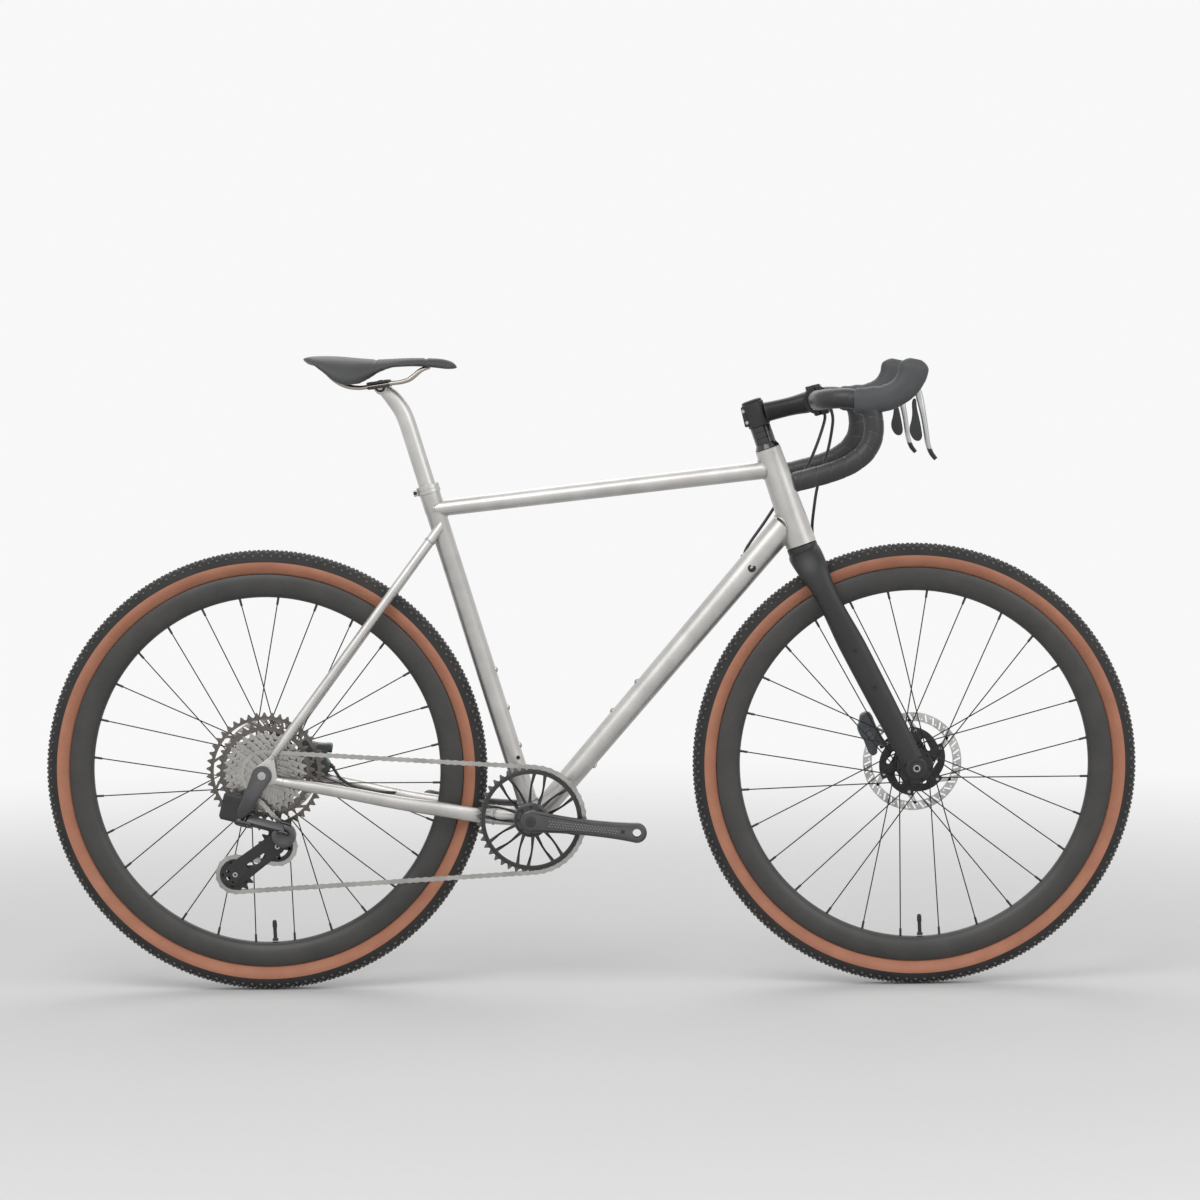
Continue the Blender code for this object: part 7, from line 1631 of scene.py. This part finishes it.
# Caliper: a sculpted body with piston caps, two bolts and a hose fitting, slotted for the rotor.
def makeCaliper(b, which, wheelCentre, y, body, hoseEnd):
    c, word = b[which], which.capitalize()
    centre, along = vec(*c["centre"]), unit(c["along"])
    across = vec(along[2], 0, -along[0])
    length, wide, deep = c["half"]
    corners = ((-0.99, -0.6), (-0.99, 0.1), (-0.72, 0.42), (-0.52, 0.93), (-0.1, 0.98),
        (0.18, 0.86), (0.5, 0.98), (0.96, 0.97), (0.98, 0.3), (0.72, 0.08), (0.62, -0.3),
        (0.9, -0.62), (0.86, -0.96), (0.3, -0.8), (-0.3, -0.8), (-0.8, -0.96))
    flat = softOutline(corners) * vec(length, wide)
    outline = centre[::2] + flat @ np.stack([along, across])[:, ::2]
    form = roundedPlate(outline, centre[1] - deep * 0.9, centre[1] + deep * 0.9, 0.003, steps=5)
    shell = makePiece("caliperBody" + word, [form], ["caliperGrey"], None, sharp=40)
    disc = circleOutline(wheelCentre[0], wheelCentre[2], b["rotorR"] + 0.0018, 120)
    cutOut(shell, [plate(disc, y - b["slotHalf"], y + b["slotHalf"], 0.0001)])
    dress(shell, body, [which + "_caliper"])
    extras = []
    for side in (-1, 1):
        spot = centre + across * wide * 0.1 + vec(0, side * deep * 0.88, 0)
        extras.append(turned(mm(2, 0, 0, 0, 10.5, 0.9, 10, 1.4, 8.5, 0.6, 7, 0.6, 4.5, 1.2, 3.5,
            1.2, 0), spot, (0, side, 0), 40))
    for share in (-0.8, 0.8):
        spot = centre + along * length * share - across * wide * 0.62
        extras.append(bar(spot - across * 0.004, spot + across * 0.0075, 0.0034, sides=24, tint=1))
    fitting = vec(*hoseEnd)
    inward = unit(centre - fitting)
    extras.append(turned(mm(2, -4.5, 0, -4.5, 3, 1, 3.4, 1, 4.4, 8, 4.4, 9, 3.6, 14, 3.6, 14, 0),
        fitting, inward, 6, tint=1))
    makePiece("caliperFittings" + word, extras, ["caliperGrey", "satinBlack"], body, [],
        sharp=30)


# Axles: turned rods along the bicycle's width, with a flanged head and a hollow for the key at one
# end.
def makeAxles():
    for node, centre, low, high, headSide, body in (("front_axle", wheels["frontAxle"], -0.0705,
            0.0653, -1, "steering"), ("rear_axle", wheels["rearAxle"], -0.0845, 0.0833, 1,
            "frame")):
        centre = vec(*centre)
        reach, end = (-low, high) if headSide < 0 else (high, -low)
        profile = [(reach - 0.0044, 0.0055), (reach - 0.0044, 0.0085), (reach - 0.0038, 0.0089),
            (reach - 0.0012, 0.0089), (reach - 0.0002, 0.0078), (reach - 0.0002, 0.0056)]
        ring = [(reach - 0.0008, 0.0057), (reach, 0.0055), (reach, 0.0037), (reach - 0.001, 0.0036)]
        socket = [(reach - 0.001, 0.0036), (reach - 0.0036, 0.0034), (reach - 0.0036, 0.0)]
        rod = [(-end, 0.0), (-end, 0.0034), (-end + 0.0004, 0.0052), (-end + 0.0008, 0.0058),
            (reach - 0.004, 0.0058), (reach - 0.004, 0.0)]
        way = vec(0, headSide, 0)
        makePiece(node.replace("_a", "A"), [turned(profile, centre, way, 48),
            turned(ring, centre, way, 36, closed=False, tint=1),
            turned(socket, centre, way, 36, closed=False), turned(rod, centre, way, 36, tint=1)],
            ["satinBlack", "steel"], body, [node], sharp=32)


# Valves: turned stems on the wheels' inner side, with threads by turns of two radii and a cap.
def makeValves():
    for node, centre, body in (("front_valve", wheels["frontAxle"], "front_wheel"),
            ("rear_valve", wheels["rearAxle"], "rear_wheel")):
        low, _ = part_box(node)
        a = -math.pi / 2 + wheels["turn"]
        way = vec(-math.cos(a), 0, -math.sin(a))
        foot = vec(*centre) - way * (centre[2] - low[2])
        profile = [(0.0, 0.0), (0.0, 0.0046), (0.0008, 0.0048), (0.0032, 0.0048), (0.004, 0.0044),
            (0.004, 0.0031)]
        for k in range(9):
            at = 0.0046 + k * 0.0018
            profile += [(at, 0.0031), (at + 0.0006, 0.0028), (at + 0.0012, 0.0031)]
        profile += [(0.0218, 0.0031), (0.0222, 0.0037), (0.024, 0.0038), (0.03, 0.0036),
            (0.033, 0.0028), (0.0337, 0.002), (0.0337, 0.0)]
        makePiece(node.replace("_v", "V"), [turned(profile, foot, way, 32)], ["satinBlack"], body,
            [node], sharp=32)


stayTip, stayNext = (vec(*frameSizes["chainstay"][k][:3]) for k in (1, 2))
brakes["rear"]["along"] = (stayNext - stayTip) * vec(1, 0, 1)
for which, carrierBody in (("front", "steering"), ("rear", "frame")):
    axle, rotorY = wheels[which + "Axle"], brakes[which + "Y"]
    makeRotor(brakes, axle, rotorY, which.capitalize(), which + "_wheel")
    makeCaliper(brakes, which, axle, rotorY, carrierBody, hoses[which][-1])
makeAxles()
makeValves()
print("brakes, axles and valves made")


# Rear derailleur
shifter = dict(chainLine=drive["line"], clear=0.004, thick=0.0018, upper=drive["upper"],
    lower=drive["lower"], pivot=(-0.395, -0.019), knuckleR=0.019, linkStart=(-0.45, -0.07, 0.006),
    linkEnd=(-0.397, -0.07, -0.008), pivotWay=(0.1986, 0.6285, 0.752), linkR=0.0062, linkHalf=0.007,
    ear=0.0028, plateY=(-0.0852, -0.0784), batteryLow=(-0.497, -0.08, 0.004),
    batteryHigh=(-0.457, -0.056, 0.052))


# Pulley: a toothed rim, a turned hub and five leaning arms whose angles step evenly.
def makePulley(s, word, phase, body):
    y = -s["chainLine"]
    x, z = spot = s[word]
    patches = [toothedRing(drive["pulleyTeeth"], phase, spot, y, 0.0176, 0.0009)]
    patches.append(turned(mm(2, -3.5, 2.4, -3.5, 7.8, -3, 8.3, 3, 8.3, 3.5, 7.8, 3.5, 2.4),
        (x, y, z), steps=40, tint=1))
    for k in range(5):
        a = phase + k * tau / 5
        outline = slotOutline((x, y, z), (0.007, a, 0.0022), (0.019, a + 0.25, 0.003), 14)
        patches.append(roundedPlate(outline, y - 0.0009, y + 0.0009, 0.0003))
    makePiece("pulley" + word.capitalize(), patches, ["plasticBlack", "cogSteel"], body,
        ["pulley_" + word], sharp=34)


# Cage: two plates with windows, the pulley bolts between them and the stub that turns in the
# knuckle.
def makeCage(s):
    outer, inner = -(s["chainLine"] + s["clear"]), -(s["chainLine"] - s["clear"])
    upper, lower, pivot = s["upper"], s["lower"], s["pivot"]
    outline = hullOutline([(*pivot, 0.0129), (*upper, 0.0119), (*lower, 0.0189)], 48)
    plates = [roundedPlate(outline, outer - s["thick"], outer, 0.0006, steps=3)]
    plates.append(roundedPlate(hullOutline([(*upper, 0.0109), (*lower, 0.0149)], 40), inner,
        inner + s["thick"], 0.0006, steps=3))
    piece = makePiece("cagePlates", plates, ["satinBlack"], None, sharp=40)
    between = vec(*lower) - vec(*upper)
    way = unit(between)
    off = vec(-way[1], way[0])
    holes = []
    for share, shift, r in ((0.34, 0.0, 0.0034), (0.5, 0.0012, 0.0046), (0.66, 0.0, 0.0034)):
        spot = vec(*upper) + between * share + off * shift
        outline = hullOutline([(*(spot + way * reach), r) for reach in (-0.0024, 0.0024)], 14)
        holes.append(plate(outline, outer - 0.004, inner + 0.004, 0.0001))
    for turn, far, r in ((2.7, 0.0125, 0.0026), (3.6, 0.0118, 0.0034), (4.4, 0.0125, 0.0018)):
        hole = circleOutline(*polar((lower[0], 0, lower[1]), far, turn), r, 20)
        holes.append(plate(hole, outer - 0.004, outer + 0.001, 0.0001))
    cutOut(piece, holes)
    dress(piece, "chain_cage", ["derailleur_cage"])
    bolts = []
    for x, z in (upper, lower):
        bolts.append(bar((x, outer - s["thick"] * 0.9, z), (x, inner + s["thick"] * 0.9, z),
            0.0022))
        bolts.append(turned(mm(2, 0, 4.2, 0.8, 4, 0.8, 2, -0.4, 1.8, -0.4, 0),
            (x, outer - s["thick"] + 0.0006, z), (0, -1, 0), 28, closed=False))
    bolts.append(bar((pivot[0], outer - s["thick"] * 0.5, pivot[1]),
        (pivot[0], outer - s["thick"] - 0.0098, pivot[1]), 0.0049, sides=28))
    makePiece("cageBolts", bolts, ["steel"], "chain_cage", [], sharp=32)


# Patch of a plate made in local x,z with its thickness along local y, set in the link's own frame.
def linkPatch(s, origin, outline, low, high, edge):
    way, up = unit(vec(*s["linkEnd"]) - vec(*s["linkStart"])), unit(s["pivotWay"])
    return placed(roundedPlate(outline, low, high, edge),
        poseStack(way, up, np.cross(way, up), [origin])[0])


# Clevis: two ears, one on each side of the link, and the pin through them.
def makeClevis(s, centre, back):
    near = s["linkHalf"] + gap
    far = near + s["ear"]
    outline = hullOutline([(0.0, 0.0, s["linkR"] + 0.0009), (back, 0.0, s["linkR"] + 0.0009)], 32)
    pivotWay = unit(s["pivotWay"])
    patches = [linkPatch(s, centre, outline, low, high, 0.0006) for low,
        high in ((-far, -near), (near, far))]
    pin = pivotWay * (far + 0.0001)
    patches.append(bar(centre - pin, centre + pin, 0.0022, tint=1))
    return patches


# Derailleur body: a plate round the axle, an oval arm along a smooth line, the battery's blocks and
# a clevis.
def makeBody(s):
    start, end = vec(*s["linkStart"]), vec(*s["linkEnd"])
    way = unit(end - start)
    low, high = s["plateY"]
    axle = wheels["rearAxle"]
    looks = ["derailleurGrey", "steel", "plasticBlack"]
    patches = [roundedPlate(hullOutline([(axle[0], axle[2], 0.0159), (-0.443, 0.05, 0.0109)], 60),
        low, high, 0.0016, (axle[0], axle[2], 0.0075), steps=5)]
    patches.append(bar((axle[0], low + 0.0008, axle[2]), (axle[0], high, axle[2]), 0.0073, sides=40,
        tint=1))
    line = smoothPath([(-0.439, -0.0818, 0.06, 0.011, 0.0031),
        (-0.449, -0.0808, 0.038, 0.012, 0.0042), (-0.459, -0.0765, 0.021, 0.01, 0.0062),
        (*(start - way * 0.0155), 0.007, 0.0075)], 36)
    patches.append(tube(line[:, :3], line[:, 4], line[:, 3], 36, reference=(1, 0, 0), square=0.8))
    patches += makeClevis(s, start, -0.015)
    patches.append(block(start - way * 0.0155, way, unit(s["pivotWay"]),
        (0.0042, s["linkHalf"] + s["ear"], 0.0068), 0.0015))
    lowCorner, highCorner = vec(*s["batteryLow"]), vec(*s["batteryHigh"])
    middle, half = (lowCorner + highCorner) / 2, (highCorner - lowCorner) / 2
    tilt = math.radians(14)
    along = vec(math.cos(tilt), 0, -math.sin(tilt))
    patches.append(block(middle, along, leftWay, (half[0] * 0.82, half[1], half[2] * 0.92), 0.0036,
        tint=2))
    upWay = vec(math.sin(tilt), 0, math.cos(tilt))
    patches.append(block(middle + upWay * half[2] * 0.3, along, leftWay,
        (half[0] * 0.835, half[1] * 1.012, 0.0007), 0.0003, tint=2))
    makePiece("derailleurBody", patches, looks, "frame", ["derailleur_body"],
        sharp=36)
    length = np.linalg.norm(end - start)
    outline = hullOutline([(0.0, 0.0, s["linkR"] - 0.0001), (length, 0.0, s["linkR"] - 0.0001)], 48)
    link = linkPatch(s, start, outline, -s["linkHalf"] + 0.0001, s["linkHalf"] - 0.0001, 0.0012)
    makePiece("derailleurLink", [link], looks, "link_arm", ["derailleur_link"],
        sharp=36)


# Knuckle: a turned drum with room cut for the link's swing, and a clevis.
def makeKnuckle(s):
    end = vec(*s["linkEnd"])
    x, z = s["pivot"]
    inner = s["chainLine"] + s["clear"] + s["thick"] + gap
    r = s["knuckleR"]
    profile = [(0.0, 0.0056), (0.0, r - 0.001), (0.001, r - 0.0001), (0.019, r - 0.0001),
        (0.0214, r - 0.0012), (0.0226, r - 0.004), (0.0229, r - 0.0075), (0.0223, r - 0.0085),
        (0.0223, 0.0), (0.01, 0.0), (0.01, 0.0052)]
    drum = makePiece("knuckleDrum", [turned(profile, (x, -inner, z), (0, -1, 0), 72)],
        ["derailleurGrey"], None, sharp=34)
    clear = s["linkR"] + 0.0013
    swing = math.radians(44)
    room = hullOutline([(0.0, 0.0, clear)] + [(-0.06 * math.cos(a), -0.06 * math.sin(a), clear)
        for a in (-swing, 0.0, swing)], 40)
    reach = s["linkHalf"] + gap
    cutOut(drum, [linkPatch(s, end, room, -reach, reach, 0.0001)])
    dress(drum, "cage_knuckle", ["derailleur_knuckle"])
    makePiece("knuckleEars", makeClevis(s, end, 0.006), ["derailleurGrey", "steel"], "cage_knuckle",
        [], sharp=34)


makePulley(shifter, "upper", drive["upperPhase"], "guide_pulley")
makePulley(shifter, "lower", drive["lowerPhase"], "tension_pulley")
makeCage(shifter)
makeBody(shifter)
makeKnuckle(shifter)
print("derailleur made")


# Seatpost and saddle. Stations: x, half width, heights of the top, edge and underside. Section:
# share of the half width, then shares of the three heights.
seat = dict(way=frameSizes["seatWay"], top=frameSizes["seatLength"], straight=0.095, postR=0.0136,
    head=(-0.2335, 0.0, 0.694), barrelR=0.011, barrelHalf=0.012, clampX=-0.236, railR=0.0035,
    grooves=(-0.24, -0.16), grooveDepth=0.0018, grooveWide=0.0024,
    bend=mm(3, -200.5, 0, 656, -213, 0, 674, -227, 0, 689),
    rail=mm(3, -322, 31, 724.5, -311, 30, 711, -298, 27.5, 701, -282, 24, 694.5, -267.6, 22.5, 693,
    -250, 22, 694.8, -213.2, 22, 700, -198.7, 21.5, 701.8, -187.8, 20, 705.5, -179, 17.5, 712,
    -169.7, 13.5, 719.5, -162, 9, 723.2, -157.5, 4.5, 724.2),
    stations=mm(5, -358, 20, 742.5, 739.5, 736.8, -352, 40, 744, 737.5, 733.5, -343, 55, 744.8, 735,
    730, -335, 63, 745, 729, 728, -320, 70, 744.7, 717.5, 726.2, -305, 72, 743.8, 705, 725.5, -290,
    71.2, 742.5, 697, 724.8, -275, 66, 741, 697.5, 724, -257.6, 54.5, 739.3, 705, 723.5, -240, 44,
    737.8, 716.5, 723.5, -216.8, 34.5, 738.5, 724.5, 725, -185, 26.2, 740, 727, 726.2, -159, 22.5,
    740.2, 726.5, 725.5, -152, 22, 740, 724.5, 724, -135, 20, 739, 721, 722.5, -119, 16.5, 735, 719,
    721, -110, 9, 728.5, 720, 720.5), section=((0, 0.97, 0.03, 0), (0.16, 1, 0, 0),
    (0.4, 0.97, 0.03, 0), (0.64, 0.88, 0.12, 0), (0.83, 0.69, 0.31, 0), (0.95, 0.42, 0.58, 0),
    (1, 0.14, 0.86, 0), (0.97, 0, 1, 0), (0.84, 0, 0.95, 0.05), (0.62, 0, 0.1, 0.9), (0, 0, 0, 1)))


# Post: a round tube along a smooth line that widens into a barrel, with a bead where they meet.
def makePost(s):
    way, head = vec(*s["way"]), vec(*s["head"])
    bend, post = s["top"] + s["straight"], s["postR"]
    stops = [(*spot, post, post) for spot in (way * (s["top"] - 0.03), way * (bend - 0.012),
        way * bend, s["bend"][0])]
    stops += [(*s["bend"][1], post * 0.96, post * 0.93),
        (*s["bend"][2], post * 0.79, s["barrelHalf"] * 0.95)]
    line = smoothPath(stops, 60)
    patches = [tube(line[:, :3], line[:, 3], line[:, 4], 48, reference=leftWay)]
    half, r = s["barrelHalf"], s["barrelR"]
    patches.append(turned([(-half, 0.0), (-half, r - 0.0006), (-half + 0.0006, r - 0.0001),
        (half - 0.0006, r - 0.0001), (half, r - 0.0006), (half, 0.0)], head, leftWay))
    patches.append(turned([(-0.0015, 0.0)] + [(0.0011 * math.sin(a),
        r + 0.0004 + 0.0006 * math.cos(a)) for a in np.linspace(-1.4, 1.4, 9)] + [(0.0015, 0.0)],
        head - unit(head - vec(*s["bend"][2])) * 0.001, steps=40, tint=1))
    makePiece("seatpostTube", patches, ["titanium", "titaniumBead"], "post", ["seatpost"],
        sharp=36)


# Clamp: rounded blocks above and below each rail on the rails' own slope, cheeks down to the
# barrel, bolts.
def makeClamp(s):
    back, front = vec(*s["rail"][5]), vec(*s["rail"][6])
    along = unit((back - front) * vec(1, 0, 1))
    up = vec(along[2], 0, -along[0])
    if up[2] < 0:
        up = -up
    head = vec(*s["head"])
    railZ = back[2] + (s["clampX"] - back[0]) * along[2] / along[0]
    middle = vec(s["clampX"], 0, railZ) + up * 0.001
    patches = []
    for side in (-1, 1):
        spot = middle + vec(0, side * 0.02, 0)
        for rise, high in ((0.0038, 0.0022), (-0.0036, 0.0024)):
            patches.append(block(spot + up * rise, along, leftWay, (0.0182, 0.0088, high), 0.0016))
        outline = hullOutline([(head[0], head[2], 0.0084), (middle[0] - 0.006, middle[2], 0.0049),
            (middle[0] + 0.006, middle[2], 0.0049)], 30)
        low, high = sorted((side * (s["barrelHalf"] + gap),
            side * (s["barrelHalf"] + gap + 0.0078)))
        patches.append(roundedPlate(outline, low, high, 0.0012))
        patches.append(bar(head + vec(0, side * 0.0195, 0), head + vec(0, side * 0.0228, 0), 0.005,
            sides=32, tint=1))
        for bolt in (spot + along * 0.012, spot - along * 0.012):
            patches.append(bar(bolt - up * 0.0062, bolt + up * 0.0062, 0.0026, tint=1))
    patches.append(block(middle + up * 0.0044, along, leftWay, (0.01, 0.016, 0.0012), 0.0006))
    makePiece("saddleClamp", patches, ["anodised", "steel"], "seat", ["saddle_clamp"],
        sharp=34)


# Rails: one round tube along a smooth line that runs round under the nose.
def makeRails(s):
    left = np.array(s["rail"])
    line = smoothPath(np.vstack([left, left[::-1] * vec(1, -1, 1)]), 220)
    makePiece("saddleRails", [tube(line, s["railR"] - 0.0001, s["railR"] - 0.0001, 20)],
        ["railMetal"], "seat", ["saddle_rails"], sharp=50)


# Saddle: the section's height is a weighted sum of top, edge and underside lines, its width a share
# of the half width.
def saddleRows(s, stops, shrink):
    side = np.array(s["section"])
    ring = smoothPath(np.column_stack([side[:, 0], side[:, 1] + side[:, 2] * 0.4, side[:, 0] * 0,
        side]), 34)[:, 3:]
    x, half, top, edge, under = stops.T
    half, top, edge, under = half - shrink, top - shrink, edge + shrink * 0.5, under + shrink * 0.2
    y = half[:, None] * ring[None, :, 0]
    z = top[:, None] * ring[None, :, 1] + edge[:, None] * ring[None, :, 2] + under[:,
        None] * ring[None, :, 3]
    leftSide = np.stack([np.broadcast_to(x[:, None], y.shape), y, z], 2)
    return np.concatenate([leftSide, leftSide[:, -2:0:-1] * vec(1, -1, 1)], 1)


# Saddle pad: sections at even steps whose sizes are smoothed by a raised cosine, drawn in round
# both ends; each groove lowers the top by a bell curve along the saddle.
def makeSaddle(s):
    stops = np.array(s["stations"])
    x = np.linspace(stops[0, 0], stops[-1, 0], 120)
    kernel = np.hanning(9) / np.hanning(9).sum()
    sizes = [np.pad(np.interp(x, stops[:, 0], column), 4, mode="edge") for column in stops[:, 1:].T]
    smooth = np.stack([x] + [np.convolve(column, kernel, "valid") for column in sizes], 1)
    rows = saddleRows(s, smooth, 0.0009)
    centre = rows.mean(1, keepdims=True)
    ends = np.sqrt(np.clip(1 - np.clip(1 - np.minimum(np.arange(120), np.arange(120)[::-1]) / 5.0,
        0, 1) ** 2, 0.1, 1))[:, None, None]
    pad = makePiece("saddlePad", [surface(centre + (rows - centre) * ends, True, True)],
        ["saddleCover"], None, sharp=180)
    swell(pad)
    verts = readPoints(pad).astype(float)
    level = np.interp(verts[:, 0], smooth[:, 0], smooth[:, 3])
    topSide = np.clip((verts[:, 2] - level) / 0.004, 0, 1)
    for x in s["grooves"]:
        verts[:, 2] -= topSide * s["grooveDepth"] * np.exp(-((verts[:, 0] - x)
            / s["grooveWide"]) ** 2)
    writePoints(pad, verts)
    pad.data.update()
    tree = BVHTree.FromObject(pad, bpy.context.evaluated_depsgraph_get())
    seams = []
    for x in s["grooves"]:
        half = np.interp(x, smooth[:, 0], smooth[:, 1]) * 0.93
        hits = [tree.ray_cast(Vector((x, y, 0.8)), Vector((0, 0, -1)))[0]
            for y in np.linspace(-half, half, 41)]
        seams.append(tube(np.array([tuple(h) for h in hits if h]), 0.0005, 0.0005, 8,
            reference=(1, 0, 0)))
    makePiece("saddleSeams", seams, ["plasticBlack"], "seat", [], sharp=60)
    dress(pad, "seat", ["saddle"])


# Swells the pad with Blender's cloth under inner pressure; each point may move 1.2 mm at most.
def swell(pad):
    remesh = pad.modifiers.new("even", "REMESH")
    remesh.mode = "VOXEL"
    remesh.voxel_size = 0.004
    remesh.use_smooth_shade = True
    bakeModifiers(pad)
    before, mostShift, lastFrame = readPoints(pad), 0.0012, 20
    under = [v.index for v in pad.data.vertices if v.normal.z < -0.2]
    group = pad.vertex_groups.new(name="shell")
    group.add(under, 1.0, "REPLACE")
    cloth = pad.modifiers.new("padding", "CLOTH")
    settings = dict(quality=6, mass=0.25, tension_stiffness=18, compression_stiffness=18,
        shear_stiffness=8, use_pressure=True, uniform_pressure_force=4,
        vertex_group_mass="shell")
    for name, value in settings.items():
        setattr(cloth.settings, name, value)
    cloth.settings.effector_weights.gravity = 0
    cloth.collision_settings.use_collision = False
    cloth.point_cache.frame_start, cloth.point_cache.frame_end = 1, lastFrame
    for moment in range(1, lastFrame + 1):
        bpy.context.scene.frame_set(moment)
    bakeModifiers(pad)
    shift = readPoints(pad) - before
    far = np.linalg.norm(shift, axis=1, keepdims=True)
    writePoints(pad, before + shift * np.minimum(1, mostShift / np.maximum(far, 1e-9)))
    bpy.context.scene.frame_set(1)
    pad.vertex_groups.clear()
    finer = pad.modifiers.new("finer", "SUBSURF")
    finer.levels = finer.render_levels = 1
    bakeModifiers(pad)


# A mesh's points as rows.
def readPoints(piece):
    points = np.empty(len(piece.data.vertices) * 3, np.float32)
    piece.data.vertices.foreach_get("co", points)
    return points.reshape(-1, 3)


# Rows written back as a mesh's points.
def writePoints(piece, points):
    piece.data.vertices.foreach_set("co", points.astype(np.float32).ravel())


makePost(seat)
makeClamp(seat)
makeRails(seat)
makeSaddle(seat)
print("seat made")
